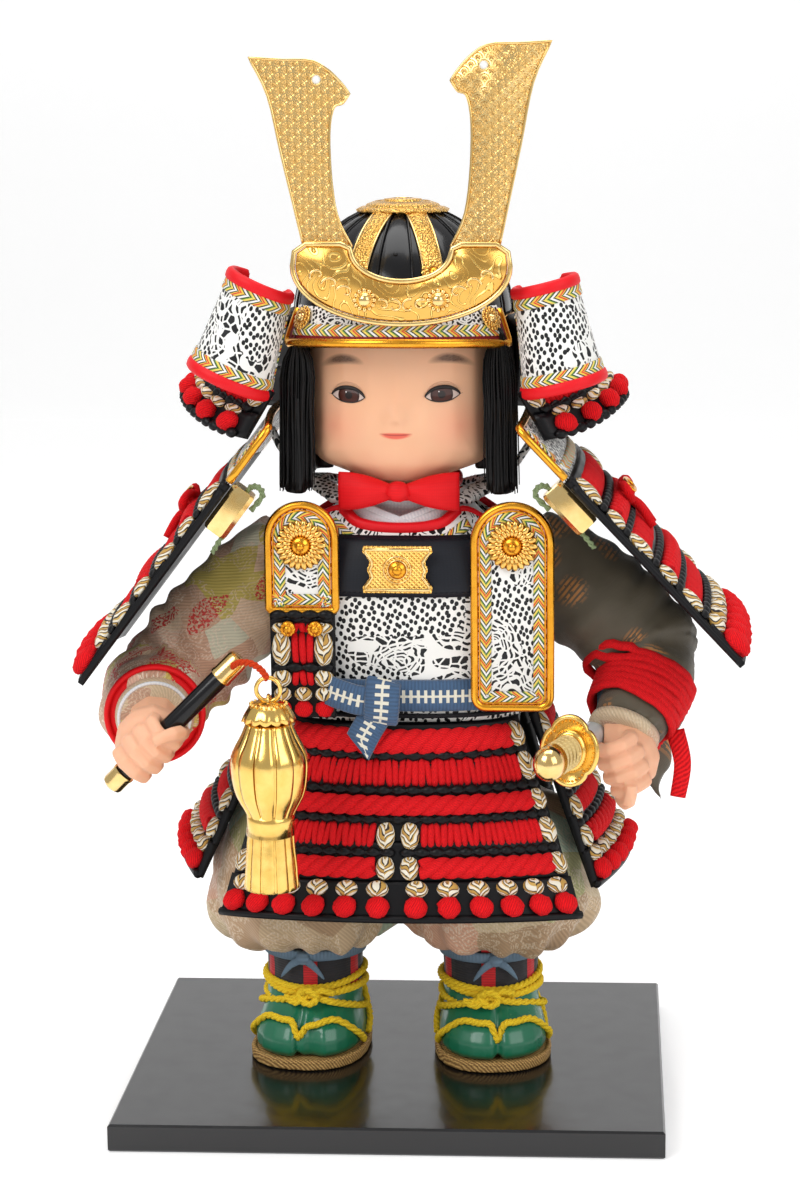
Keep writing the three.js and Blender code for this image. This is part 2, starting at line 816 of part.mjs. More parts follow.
// A gilt plate with a waist in the middle and a rivet
function chestOrnament() {
  const halfX = ornamentWidth / 2;
  const halfZ = ornamentHeight / 2;
  const outline = new THREE.Shape();
  outline.moveTo(-halfX, -halfZ);
  outline.quadraticCurveTo(0, -halfZ * ornamentWaistShare, halfX, -halfZ);
  outline.quadraticCurveTo(halfX * ornamentWaistShare, 0, halfX, halfZ);
  outline.quadraticCurveTo(0, halfZ * ornamentWaistShare, -halfX, halfZ);
  outline.quadraticCurveTo(-halfX * ornamentWaistShare, 0, -halfX, -halfZ);
  const plate = new THREE.ExtrudeGeometry(outline,
    { depth: ornamentThickness, bevelEnabled: false, curveSegments: 4 });
  const rivet = turned([
    [0, -ornamentThickness / 2], [rivetRadius, -ornamentThickness / 2], [rivetRadius, ornamentThickness],
    [rivetRadius / 2, ornamentThickness * 2], [0, ornamentThickness * 2],
  ], 12).translate(0, 0, ornamentThickness / 2);
  const middle = neckline - (chestBandDrop + chestBandHeight / 2) / cuirassHeight;
  const frontAt = (up) =>
    torsoFront(0, middle + (up * ornamentHeight) / cuirassHeight, 3 * gap + chestBandThickness);
  const slant = Math.atan2(frontAt(0.5) - frontAt(-0.5), ornamentHeight);
  return join(plate, rivet).rotateX(Math.PI / 2 - slant)
    .translate(0, Math.min(frontAt(0), (frontAt(0.5) + frontAt(-0.5)) / 2), waist + middle * cuirassHeight);
}

add('neck_binding', neckBinding(), red);
add('chest_band', chestBand(), blackCloth);
add('chest_ornament', chestOrnament(), gold);

// Under-collar: a white cloth cone round the neck, tucked into the cuirass
const collarFootShare = 0.86;
const collarFootWidthShare = 0.63;
const collarFootDepthShare = 0.68;

function underCollar() {
  const foot = waist + collarFootShare * cuirassHeight;
  const place = (u, v) => {
    const angle = front + u * turn;
    const halfX = lerp(chestHalfWidth * collarFootWidthShare, collarRadius, v);
    const halfY = lerp(chestHalfDepth * collarFootDepthShare, collarRadius, v);
    return vector(halfX * Math.cos(angle), trunkSetBack + halfY * Math.sin(angle), foot + v * collarHeight);
  };
  return sheet(place, spread(24), spread(2), collarThickness, { wraps: true });
}

add('under_collar', underCollar(), whiteCloth);

const tailOffsetShare = 0.17;
const tailSpreadShare = 0.2;

// The tails hang clear of the front skirt panel, also when it swings forward
const skirtSlope = Math.atan((frontSkirtHemDepth - frontSkirtTopDepth) / skirtLength);
const tailSlope = skirtSlope + radians(frontSkirtSwing);
const tailBack = trunkSetBack - frontSkirtTopDepth - skirtRowStep - gap;

// Sash: a cloth band round the waist with its knot and two short tails
function sash() {
  const bottom = sashRise / cuirassHeight;
  const top = (sashRise + sashHeight) / cuirassHeight;
  const place = (u, v) => torsoPoint(front + u * turn, lerp(bottom, top, v), gap + sashThickness);
  const band = sheet(place, spread(28), spread(2), sashThickness, { wraps: true });
  const faceY = torsoFront(sashKnotOffset, top, gap + sashThickness / 2);
  const middle = waist + sashRise + sashHeight / 2;
  const bulge = new THREE.SphereGeometry(0.5, 12, 8)
    .scale(sashKnotWidth, 2 * sashKnotThickness, sashKnotHeight)
    .translate(sashKnotOffset, faceY, middle);
  const behind = new THREE.BoxGeometry(2 * sashKnotWidth, 2 * sashKnotThickness, 2 * sashKnotHeight)
    .translate(sashKnotOffset, faceY + sashKnotThickness, middle);
  const tails = [-1, 1].map((sign) => sheet((u, v) => vector(
    sashKnotOffset + sign * sashKnotWidth * (tailOffsetShare + tailSpreadShare * v) + (u - 0.5)
      * sashTailWidth,
    tailBack - tailThickness - v * sashTailLength * Math.tan(tailSlope),
    middle - v * sashTailLength,
  ), spread(2), spread(2), tailThickness, { flip: true }));
  return join(band, cut(bulge, behind), ...tails);
}

add('waist_sash', sash(), blueCloth);

// Shoulder straps, from the front edge of the cuirass over the shoulder to the back edge
const strapFrontAngle = 38;
const strapBackAngle = 146;
const strapLiftShare = 0.04;
const strapCrestShare = 0.82;

function strap(sign) {
  const end = (degrees) => {
    const angle = front + sign * radians(degrees);
    return torsoPoint(angle, edgeShare(angle) + strapLiftShare, -cuirassThickness / 2);
  };
  const start = end(strapFrontAngle);
  const finish = end(strapBackAngle);
  const crest = start.clone().lerp(finish, 0.5).setZ(Math.max(start.z, finish.z) + strapRise);
  crest.x = sign * shoulderOut * strapCrestShare;
  const path = curveThrough([start, crest, finish]);
  const place = (u, v) => path.getPoint(v).add(vector((u - 0.5) * strapWidth, 0, 0));
  return join(sheet(place, spread(1), spread(8), strapThickness), hangingCord(sign, path));
}

// The cord that carries the shoulder guard, from the strap to the underside of the guard's top plate
function hangingCord(sign, path) {
  const slope = radians(sign < 0 ? rightGuardSlope : leftGuardSlope);
  const under = vector(-sign * Math.sin(slope), 0, -Math.cos(slope));
  const top = shoulderGuardPlace(sign)(0.5, hangingCordShare)
    .addScaledVector(under, shoulderGuardThickness + gap + hangingCordThickness * hangingCordSeat);
  const foot = path.getPoint(hangingCordFootShare).add(vector(0, 0, -hangingCordThickness / 2));
  const bend = foot.clone().lerp(top, 0.5).add(vector(sign * hangingCordThickness, 0, 0));
  return rope(curveThrough([foot, bend, top]), hangingCordThickness, 6, 4);
}
const hangingCordShare = 0.06;
const hangingCordSeat = 0.3;
const hangingCordFootShare = 0.3;

sides.forEach(({ name, sign }) => add(`${name}_shoulder_strap`, strap(sign), blackCloth));

// Shoulder guards: a printed top plate over rows of laced lames, sloping down over each arm.
// u runs from the front edge to the back one, v from the top edge to the bottom one.

function shoulderGuardPlace(sign) {
  const slope = radians(sign < 0 ? rightGuardSlope : leftGuardSlope);
  const down = vector(sign * Math.cos(slope), 0, -Math.sin(slope));
  const out = vector(sign * Math.sin(slope), 0, Math.cos(slope));
  return (u, v) => vector(sign * shoulderGuardTopOut, shoulderGuardFront + u * shoulderGuardWidth,
    shoulderGuardTopHeight)
    .addScaledVector(down, v * shoulderGuardLength)
    .addScaledVector(out, shoulderGuardBow * (1 - (2 * u - 1) ** 2));
}

// Steps down a row of lames: each lame's lower edge stands out over the next one's top
function rowSteps(rows) {
  const edge = 0.004;
  const steps = spread(rows).slice(1, -1).flatMap((v) => [v - edge, v + edge]);
  return [0, ...steps, 1];
}

function rowRelief(rows, step) {
  return (u, v) => {
    const place = v * rows;
    const within = v >= 1 ? 1 : place - Math.floor(place);
    return step * within;
  };
}

const shoulderGuardRows = 5;
const topPlateEnd = topPlateLength / shoulderGuardLength;

function between(place, vStart, vEnd, uStart = 0, uEnd = 1) {
  return (u, v) => place(lerp(uStart, uEnd, u), lerp(vStart, vEnd, v));
}

function guardLames(sign) {
  const start = topPlateEnd + gap / shoulderGuardLength;
  const options = { relief: rowRelief(shoulderGuardRows, shoulderGuardRowStep), flip: sign > 0 };
  const place = between(shoulderGuardPlace(sign), start, 1);
  return sheet(place, spread(6), rowSteps(shoulderGuardRows), shoulderGuardThickness, options);
}

function guardTopPlate(sign) {
  const place = between(shoulderGuardPlace(sign), 0, topPlateEnd);
  return sheet(place, spread(6), spread(1), shoulderGuardThickness, { flip: sign > 0 });
}

// A gilt box clasp under the front edge, where the lames meet the top plate
function guardClip(sign) {
  const start = topPlateEnd + gap / shoulderGuardLength;
  const width = clipWidth / shoulderGuardWidth;
  const flat = (u, v) => {
    const place = shoulderGuardPlace(sign);
    return place(0, v).add(vector(0, u * shoulderGuardWidth, 0));
  };
  const slope = radians(sign < 0 ? rightGuardSlope : leftGuardSlope);
  const under = vector(-sign * Math.sin(slope), 0, -Math.cos(slope));
  const place = (u, v) => between(flat, start, start + clipLength / shoulderGuardLength, 0, width)(u, v)
    .addScaledVector(under, shoulderGuardThickness + gap);
  return sheet(place, spread(1), spread(1), clipDepth, { flip: sign > 0 });
}

// The room that a guard and a clearance under it take, to keep the sleeves out of it
function guardRoom(sign) {
  const options = { relief: () => overrun, flip: sign > 0 };
  return sheet(shoulderGuardPlace(sign), spread(8), spread(2), shoulderGuardThickness + gap, options);
}

sides.forEach(({ name, sign }) => {
  add(`${name}_guard_lames`, guardLames(sign), red);
  add(`${name}_guard_top_plate`, guardTopPlate(sign), gold);
  add(`${name}_guard_clip`, guardClip(sign), gold);
});

// Arms: each sleeve follows a line of shoulder, upper arm, elbow and cuff

function armPoint(sign, out, drop, reach) {
  return vector(sign * (shoulderOut + out), trunkSetBack - reach, shoulderHeight - shoulderDrop - drop);
}

const armLines = {
  right: [
    armPoint(-1, 0, 0, 0),
    armPoint(-1, rightUpperArmOut, rightUpperArmDrop, rightForearmReach * 0.06),
    armPoint(-1, rightElbowOut, rightElbowDrop, rightForearmReach * 0.2),
    armPoint(-1, rightForearmOut, rightForearmDrop, rightForearmReach),
  ],
  left: [
    armPoint(1, 0, 0, 0),
    armPoint(1, leftUpperArmOut, leftUpperArmDrop, leftForearmReach * 0.1),
    armPoint(1, leftElbowOut, leftElbowDrop, leftForearmReach * 0.2),
    armPoint(1, leftForearmOut, leftForearmDrop, leftForearmReach),
  ],
};

// Share of the way from shoulder to cuff, and the sleeve's size there
const sleeveShares = {
  right: [[0, 0.86], [0.3, 0.95], [0.6, 1.02], [0.85, 0.98], [1, 0.9]],
  left: [[0, 0.86], [0.3, 0.94], [0.55, 0.98], [0.78, 0.84], [1, 0.72]],
};
const foldsAlong = 7;
const foldFadeShare = 0.72;

function sleeveBody(name, extra = 0) {
  const size = (t, angle) => {
    const fade = t < foldFadeShare ? Math.sin((Math.PI * t) / foldFadeShare) : 0;
    const fold = sleeveFold * fade * Math.cos(foldsAlong * turn * t + 2 * Math.sin(angle));
    return sleeveRadius * follow(sleeveShares[name], t) + fold + extra;
  };
  return limb(curveThrough(armLines[name]), 14, 14, size);
}

// The hanging bag of the left sleeve, behind the forearm
function sleeveBag(extra = 0, behind = 0) {
  const elbow = armLines.left[2];
  const top = elbow.z - sleeveRadius * bagTopShare;
  const outer = elbow.x + sleeveRadius * bagOutShare;
  const outline = new THREE.Shape([
    new THREE.Vector2(outer - sleeveBagWidth - extra, top),
    new THREE.Vector2(outer - sleeveBagWidth * bagFootShare - extra,
      top - sleeveBagLength * bagRiseShare - extra),
    new THREE.Vector2(outer - sleeveBagWidth * bagCornerShare + extra, top - sleeveBagLength - extra),
    new THREE.Vector2(outer + extra, top),
  ]);
  const bag = new THREE.ExtrudeGeometry(outline,
    { depth: sleeveBagThickness + 2 * extra + behind, bevelEnabled: false });
  return bag.rotateX(Math.PI / 2)
    .translate(0, elbow.y + sleeveBagBack + sleeveBagThickness + extra + behind, 0);
}
const bagTopShare = 0.2;
const bagOutShare = 0.84;
const bagFootShare = 0.85;
const bagRiseShare = 0.72;
const bagCornerShare = 0.36;

function torsoRoom() {
  const shares = [coreBottomShare, -0.2, 0, 0.17, 0.31, 0.45, 0.65, 0.79, 0.87, 0.97, 1.06];
  return loft(torsoRings(gap, shares));
}

// Fists. Each is drawn about its grip axis, which lies along its own X: fingers in front, palm behind.

function fingerArc(x, from, to, reach) {
  return spread(6).map((share) => {
    const angle = radians(lerp(from, to, share));
    return vector(x, reach * Math.cos(angle), reach * Math.sin(angle));
  });
}

const fingerShares = [0.93, 1, 0.98, 0.88];
const fingerSpacingShare = 0.92;
const fingerRootAngle = 62;
const fingerTipAngle = 292;

function fist() {
  const reach = gripRadius + gap + fingerThickness / 2;
  const fingers = fingerShares.map((share, i) => {
    const x = (i - (fingerShares.length - 1) / 2) * fingerThickness * fingerSpacingShare;
    const taper = (t) => (fingerThickness / 2) * share * lerp(1.08, 0.86, t);
    return limb(curveThrough(fingerArc(x, fingerRootAngle, fingerTipAngle, reach * share)), 6, 5, taper);
  });
  const halfWidth = fingerThickness * palmWidthShare;
  const palm = new THREE.SphereGeometry(1, 10, 7)
    .scale(halfWidth, fistHalfDepth, fistHalfHeight)
    .translate(0, fistHalfDepth * palmBackShare, palmRise);
  const thumbLine = curveThrough([
    vector(halfWidth * 0.8, fistHalfDepth * 0.7, -fistHalfHeight * 0.4),
    vector(halfWidth * 1.02, -fistHalfDepth * 0.3, -fistHalfHeight * 0.35),
    vector(halfWidth * 0.86, -reach - fingerThickness * 0.25, -fistHalfHeight * 0.1),
    vector(halfWidth * 0.45, -reach - fingerThickness * 0.42, fistHalfHeight * 0.1),
  ]);
  const thumb = limb(thumbLine, 6, 5, (t) => (fingerThickness / 2) * lerp(1.1, 0.8, t));
  return join(palm, thumb, ...fingers);
}
const palmBackShare = 0.85;
const palmWidthShare = 2.15;

function fistFrame(along, up, place) {
  const back = up.clone().cross(along);
  return new THREE.Matrix4().makeBasis(along, back, up).setPosition(place);
}

const lean = radians(batonLean);
const batonAlong = vector(Math.cos(lean), 0, Math.sin(lean));
const rightFistPlace = vector(-rightFistOut, -rightFistForward, rightFistHeight);
const leftFistPlace = vector(leftFistOut, -leftFistForward, leftFistHeight);
const leftFistLean = radians(-70);
const leftFistAlong = vector(Math.cos(leftFistLean), 0, Math.sin(leftFistLean));
const fistFrames = {
  right: fistFrame(batonAlong, vector(-Math.sin(lean), 0, Math.cos(lean)), rightFistPlace),
  left: fistFrame(leftFistAlong, vector(-Math.sin(leftFistLean), 0, Math.cos(leftFistLean)), leftFistPlace),
};

// The wrist runs from the palm into the cuff
function wrist(name, extra = 0) {
  const palm = vector(0, fistHalfDepth * 1.1, 0).applyMatrix4(fistFrames[name]);
  const line = curveThrough(armLines[name]);
  const cuff = line.getPoint(1);
  const inside = line.getPoint(wristEndShare);
  return limb(curveThrough([palm, cuff, inside]), 9, 3, () => wristRadius + extra);
}
const wristEndShare = 0.9;

// Sword: the grip points forward past the hip and the blade lies in its scabbard behind

const sword = new THREE.Group();
sword.position.set(swordOut, -swordForward, swordHeight);
sword.rotation.set(radians(-swordDip), 0, radians(-swordYaw), 'ZXY');
doll.add(sword);
sword.updateMatrix();

function box(halfX, halfZ, fromY, toY) {
  return new THREE.BoxGeometry(2 * halfX, toY - fromY, 2 * halfZ).translate(0, (fromY + toY) / 2, 0);
}

const ovalSides = 14;
const ovalPower = 2.4;

function ovalRings(stations, sides = ovalSides, power = ovalPower) {
  return loft(stations.map(([y, halfX, halfZ]) => spread(sides).slice(0, -1).map((share) => {
    const [x, z] = roundedPoint(share * turn, halfX, halfZ, power);
    return vector(x, y, z);
  })));
}

const mouth = guardThickness / 2 + gap;

function scabbard(extra = 0) {
  const end = mouth + scabbardLength;
  const shell = ovalRings([
    [mouth - extra, scabbardHalfWidth + extra, scabbardHalfHeight + extra],
    [end - scabbardHalfHeight, scabbardHalfWidth * 0.9 + extra, scabbardHalfHeight * 0.9 + extra],
    [end + extra, scabbardHalfWidth * 0.6 + extra, scabbardHalfHeight * 0.6 + extra],
  ]);
  return shell;
}

const tangLength = 9;

function blade(extra = 0) {
  return box(bladeHalfThickness + extra, bladeHalfHeight + extra, -mouth - tangLength - extra,
    mouth + bladeLength + extra);
}

function swordGrip() {
  const start = -mouth;
  const end = start - gripLength;
  const body = ovalRings([
    [start, gripHalfWidth, gripHalfHeight],
    [lerp(start, end, 0.5), gripHalfWidth * 0.9, gripHalfHeight * 0.9],
    [end, gripHalfWidth, gripHalfHeight],
    [end, gripHalfWidth * 1.15, gripHalfHeight * 1.12],
    [end - pommelLength * 0.55, gripHalfWidth * 1.1, gripHalfHeight * 1.08],
    [end - pommelLength * 0.9, gripHalfWidth * 0.7, gripHalfHeight * 0.7],
    [end - pommelLength, gripHalfWidth * 0.25, gripHalfHeight * 0.25],
  ]);
  return cut(body, blade(gap));
}

// A guard with four lobes
function swordGuard() {
  const outline = new THREE.Shape(spread(40).slice(0, -1).map((share) => {
    const angle = share * turn;
    const lobe = 1 - lobeShare * Math.cos(4 * angle) ** 4;
    return new THREE.Vector2(guardHalfWidth * lobe * Math.cos(angle),
      guardHalfHeight * lobe * Math.sin(angle));
  }));
  const plate = new THREE.ExtrudeGeometry(outline, { depth: guardThickness, bevelEnabled: false });
  return cut(plate.rotateX(Math.PI / 2).translate(0, guardThickness / 2, 0), blade(gap));
}
const lobeShare = 0.13;

add('sword_grip', swordGrip(), gold, sword);
add('sword_guard', swordGuard(), gold, sword);
add('sword_blade', blade(), steel, sword);
add('scabbard', cut(scabbard(),
  box(bladeHalfThickness + gap, bladeHalfHeight + gap, -overrun, mouth + bladeLength + gap)),
  paleLacquer, sword);

// Baton, held in the right fist, with its cord and tassel

const baton = new THREE.Group();
baton.position.copy(rightFistPlace);
baton.rotation.y = -lean;
doll.add(baton);
baton.updateMatrix();

function rod(radius, fromX, toX, segments = 14) {
  return turned([[0, fromX], [radius, fromX], [radius, toX], [0, toX]], segments).rotateY(Math.PI / 2);
}

const batonEnd = -batonBelowFist;
const batonTop = batonLength - batonBelowFist;

add('baton_stick', rod(batonRadius, batonEnd + endCapLength + gap, batonTop - capLength - gap),
  lacquerBlack, baton);
add('baton_top_cap', rod(batonRadius + capWall, batonTop - capLength, batonTop), gold, baton);
add('baton_end_cap', rod(batonRadius + capWall, batonEnd, batonEnd + endCapLength), gold, baton);

function rightHand() {
  const grip = rod(gripRadius + gap, -overrun - batonBelowFist, overrun + batonTop)
    .applyMatrix4(baton.matrix);
  return cut(join(fist().applyMatrix4(fistFrames.right), wrist('right')), grip);
}

function scabbardRoom() {
  return scabbard(gap).applyMatrix4(sword.matrix);
}

function leftHand() {
  return cut(join(fist().applyMatrix4(fistFrames.left), wrist('left')), scabbardRoom());
}

function rightSleeve() {
  return cut(sleeveBody('right'), torsoRoom(), cuirass(2 * gap), guardRoom(-1), wrist('right', gap));
}

function leftSleeveBody(extra = 0) {
  return join(sleeveBody('left', extra), sleeveBag(extra));
}

function leftSleeve() {
  return cut(leftSleeveBody(), torsoRoom(), cuirass(2 * gap), guardRoom(1), wrist('left', gap),
    scabbardRoom());
}

const wrapShares = [0.77, 0.8, 0.84, 0.88, 0.92];

function armWrap() {
  const line = curveThrough(armLines.left);
  const part = curveThrough(wrapShares.map((share) => line.getPoint(share)));
  const size = (t) => {
    const share = lerp(wrapShares[0], wrapShares[wrapShares.length - 1], t);
    return sleeveRadius * follow(sleeveShares.left, share) + gap + wrapThickness;
  };
  return cut(limb(part, 16, 5, size), leftSleeveBody(gap), sleeveBag(gap, 2 * overrun), guardRoom(1),
    scabbardRoom());
}

add('right_sleeve', rightSleeve(), brocade);
add('left_sleeve', leftSleeve(), oliveCloth);
add('right_hand', rightHand(), skin);
add('left_hand', leftHand(), skin);
add('arm_wrap', armWrap(), red);

// The cord leaves the baton's top cap, and the tassel's ring hangs on it

const cordStart = vector(batonTop - capLength * 0.3, -batonRadius - capWall - gap, 0)
  .applyMatrix4(baton.matrix);
const ringTop = vector(-tasselOut, -tasselForward, cordStart.z - tasselCordDrop);

function tasselCord() {
  const half = tasselCordThickness / 2;
  const line = curveThrough([
    cordStart.clone().add(vector(0, -half, 0)),
    cordStart.clone().lerp(ringTop, 0.3).add(vector(0, -half, tasselCordRise)),
    cordStart.clone().lerp(ringTop, 0.75).add(vector(0, 0, tasselCordRise)),
    ringTop.clone().add(vector(0, 0, half + gap)),
  ]);
  return rope(line, tasselCordThickness, 6, 8);
}

// Height share down the tassel, and radius share
const tasselShares = [
  [0, 0.25], [0.02, 0.5], [0.07, 0.6], [0.13, 0.72], [0.24, 0.98], [0.34, 1], [0.46, 0.9], [0.56, 0.66],
  [0.62, 0.56],
  [0.7, 0.6], [0.84, 0.66], [1, 0.72],
];

function tassel() {
  const top = ringTop.z - 2 * tasselRingRadius - tasselRingThickness - tasselEyeHeight;
  const bottom = top - tasselLength;
  const outline = tasselShares.map(([down, radius]) =>
    [tasselRadius * radius, bottom + tasselLength * (1 - down)]);
  const bundle = turned([[0, top], ...outline, [0, bottom]].reverse(), 14);
  const ring = new THREE.TorusGeometry(tasselRingRadius, tasselRingThickness / 2, 6, 16).rotateX(Math.PI / 2)
    .translate(0, 0, ringTop.z - tasselRingRadius - tasselRingThickness / 2);
  const eye = turned([
    [0, top - tasselRingThickness], [tasselRingThickness, top - tasselRingThickness],
    [tasselRingThickness, top + tasselEyeHeight + tasselRingThickness / 2],
    [0, top + tasselEyeHeight + tasselRingThickness / 2],
  ], 8);
  return join(bundle, eye, ring).translate(ringTop.x, ringTop.y, 0);
}

add('tassel_cord', tasselCord(), orangeCord);
add('tassel', tassel(), gold);

// Breast guards: they hang in front of the shoulder straps, clear of the chest band and the sash

function breastGuardBack(innerEdge) {
  return Math.min(
    torsoFront(innerEdge, sashRise / cuirassHeight, gap + sashThickness),
    torsoFront(innerEdge, breastSeatShare, gap + chestBandThickness),
  ) - 2 * gap;
}
const breastSeatShare = 0.62;

function archOutline(width, height, corner = 0) {
  const half = width / 2;
  const outline = new THREE.Shape();
  outline.moveTo(-half + corner, -height);
  outline.lineTo(half, -height);
  outline.lineTo(half, -half);
  outline.absarc(0, -half, half, 0, Math.PI, false);
  outline.lineTo(-half, -height + corner);
  if (corner > 0) {
    outline.quadraticCurveTo(-half, -height, -half + corner, -height);
  }
  return outline;
}

function breastPlate(width, height, corner) {
  const plate = new THREE.ExtrudeGeometry(archOutline(width, height, corner), {
    depth: breastGuardThickness, bevelEnabled: false, curveSegments: 9,
  });
  return plate.rotateX(Math.PI / 2);
}

function rosette() {
  return turned([
    [0, gap], [rosetteRadius, gap], [rosetteRadius, gap + rosetteThickness * 0.35],
    [rosetteRadius * 0.85, gap + rosetteThickness * 0.55],
    [rosetteRadius * 0.42, gap + rosetteThickness * 0.45],
    [rosetteRadius * 0.34, gap + rosetteThickness * 0.9], [0, gap + rosetteThickness * 1.15],
  ], 24).rotateX(Math.PI / 2);
}

const rightBreastGuard = new THREE.Group();
rightBreastGuard.position.set(-breastGuardOut, breastGuardBack(breastGuardOut - rightBreastPlateWidth / 2),
  breastGuardTop);
doll.add(rightBreastGuard);
const leftBreastGuard = new THREE.Group();
leftBreastGuard.position.set(leftBreastGuardOut,
  breastGuardBack(leftBreastGuardOut - leftBreastPlateWidth / 2), breastGuardTop);
doll.add(leftBreastGuard);

function breastLames() {
  const halfX = rightBreastLamesWidth / 2;
  const top = -rightBreastPlateHeight - gap;
  const place = (u, v) =>
    vector((2 * u - 1) * halfX, -breastGuardThickness, top - v * rightBreastLamesHeight);
  return sheet(place, spread(2), rowSteps(2), breastGuardThickness, {
    relief: rowRelief(2, skirtRowStep), flip: true,
  });
}

const rosettePlace = -rosetteDrop;
add('right_breast_plate', breastPlate(rightBreastPlateWidth, rightBreastPlateHeight, 0), gold,
  rightBreastGuard);
add('right_breast_lames', breastLames(), red, rightBreastGuard);
add('right_breast_rosette', rosette().translate(0, -breastGuardThickness, rosettePlace), gold,
  rightBreastGuard);
add('left_breast_plate', breastPlate(leftBreastPlateWidth, leftBreastPlateHeight, leftBreastPlateWidth / 3),
  gold, leftBreastGuard);
add('left_breast_rosette', rosette().translate(0, -breastGuardThickness, rosettePlace), gold,
  leftBreastGuard);

// Skirt panels: rows of laced lames hung from the lower edge of the cuirass

const frontTopHalfAngle = 54;
const frontHemHalfAngle = 52;
const skirtRows = 5;
const skirtFlatness = 0.75;
const skirtCornerDrop = 3;
const skirtOptions = { relief: rowRelief(skirtRows, skirtRowStep) };

function archedPanel(sign, topHalfWidth, topDepth, hemHalfWidth, hemDepth, halfAngles) {
  const place = (u, v) => {
    const angle = sign * radians((2 * u - 1) * lerp(halfAngles[0], halfAngles[1], v));
    const away = lerp(topDepth, hemDepth, v) * Math.cos(angle) ** lerp(1, skirtFlatness, v);
    return vector(
      lerp(topHalfWidth, hemHalfWidth, v) * Math.sin(angle) * sign,
      trunkSetBack - sign * away,
      skirtTop - v * (skirtLength + skirtCornerDrop * (2 * u - 1) ** 2),
    );
  };
  return sheet(place, spread(10), rowSteps(skirtRows), skirtThickness, { ...skirtOptions, flip: true });
}

function sidePanel(sign) {
  const slope = radians(sign < 0 ? rightSideSkirtSlope : leftSideSkirtSlope);
  const place = (u, v) => vector(
    sign * (sideSkirtTopOut + v * (sideSkirtLength * Math.sin(slope) + sideSkirtSplay * u
      + sideSkirtBulge * Math.sin(Math.PI * u))),
    lerp(lerp(sideSkirtTopFront, sideSkirtTopBack, u), lerp(sideSkirtHemFront, sideSkirtHemBack, u), v),
    skirtTop - v * sideSkirtLength * Math.cos(slope),
  );
  return sheet(place, spread(6), rowSteps(skirtRows), skirtThickness, { ...skirtOptions, flip: sign > 0 });
}
const sideSkirtBulge = 3;

const frontPanelSizes = [frontSkirtTopHalfWidth, frontSkirtTopDepth, frontSkirtHemHalfWidth,
  frontSkirtHemDepth];
const backPanelSizes = [frontSkirtTopHalfWidth, frontSkirtTopDepth, backSkirtHemHalfWidth, backSkirtHemDepth];
add('front_skirt_panel', archedPanel(1, ...frontPanelSizes, [frontTopHalfAngle, frontHemHalfAngle]), red);
add('back_skirt_panel', archedPanel(-1, ...backPanelSizes, [frontTopHalfAngle, frontHemHalfAngle]), red);
sides.forEach(({ name, sign }) => add(`${name}_skirt_panel`, sidePanel(sign), red));

// Head. Height share from the chin, half width share, half depth share and how far the ring lies forward.
const headShares = [
  [0, 0.3, 0.34, 0.42], [0.03, 0.48, 0.5, 0.3], [0.08, 0.66, 0.66, 0.2], [0.15, 0.82, 0.8, 0.12],
  [0.24, 0.95, 0.92, 0.05], [0.36, 1, 1, 0], [0.5, 1, 1, 0], [0.62, 0.985, 1, 0], [0.75, 0.92, 0.96, -0.02],
  [0.86, 0.78, 0.83, -0.03], [0.94, 0.57, 0.62, -0.04], [0.985, 0.33, 0.36, -0.04], [1, 0.1, 0.1, -0.04],
];
const headPower = 2.15;

function headRings(extra = 0) {
  return headShares.map(([height, wide, deep, forward]) => spread(22).slice(0, -1).map((share) => {
    const angle = share * turn + front;
    const [x, y] = roundedPoint(angle, headHalfWidth * wide + extra, headHalfDepth * deep + extra, headPower);
    const top = height > 0.5 ? extra : -extra;
    return vector(x, headSetBack - forward * headHalfDepth + y,
      chinHeight + height * headHeight + top * edgeOf(height));
  }));
}
function edgeOf(height) {
  return height === 0 || height === 1 ? 1 : 0;
}

const noseHeightShare = 0.32;

function head() {
  const face = loft(headRings());
  const nose = new THREE.SphereGeometry(1, 10, 8)
    .scale(noseReach * 1.6, noseReach * 1.4, noseReach * 1.5)
    .translate(0, headSetBack - headHalfDepth * 0.985, chinHeight + noseHeightShare * headHeight);
  const neck = turned([
    [0, neckBottom - neckPegLength], [neckPegRadius, neckBottom - neckPegLength],
    [neckPegRadius, neckBottom + gap],
    [neckRadius, neckBottom + gap], [neckRadius, chinHeight + headHeight * 0.15],
    [0, chinHeight + headHeight * 0.15],
  ], 20).translate(0, trunkSetBack, 0);
  return join(face, neck, nose);
}

add('head', head(), skin);

// Hair: a cap of straight hair with a fringe under the helmet and two locks before the shoulders.
// Height share from the chin, half width share of the hair's greatest, half depth share.
const hairShares = [
  [0, 0.9, 0.9], [0.12, 0.97, 0.97], [0.3, 1, 1], [0.58, 1, 1], [0.68, 0.92, 0.95], [0.76, 0.86, 0.9],
  [0.87, 0.77, 0.82], [0.96, 0.58, 0.64], [1.02, 0.3, 0.34],
];

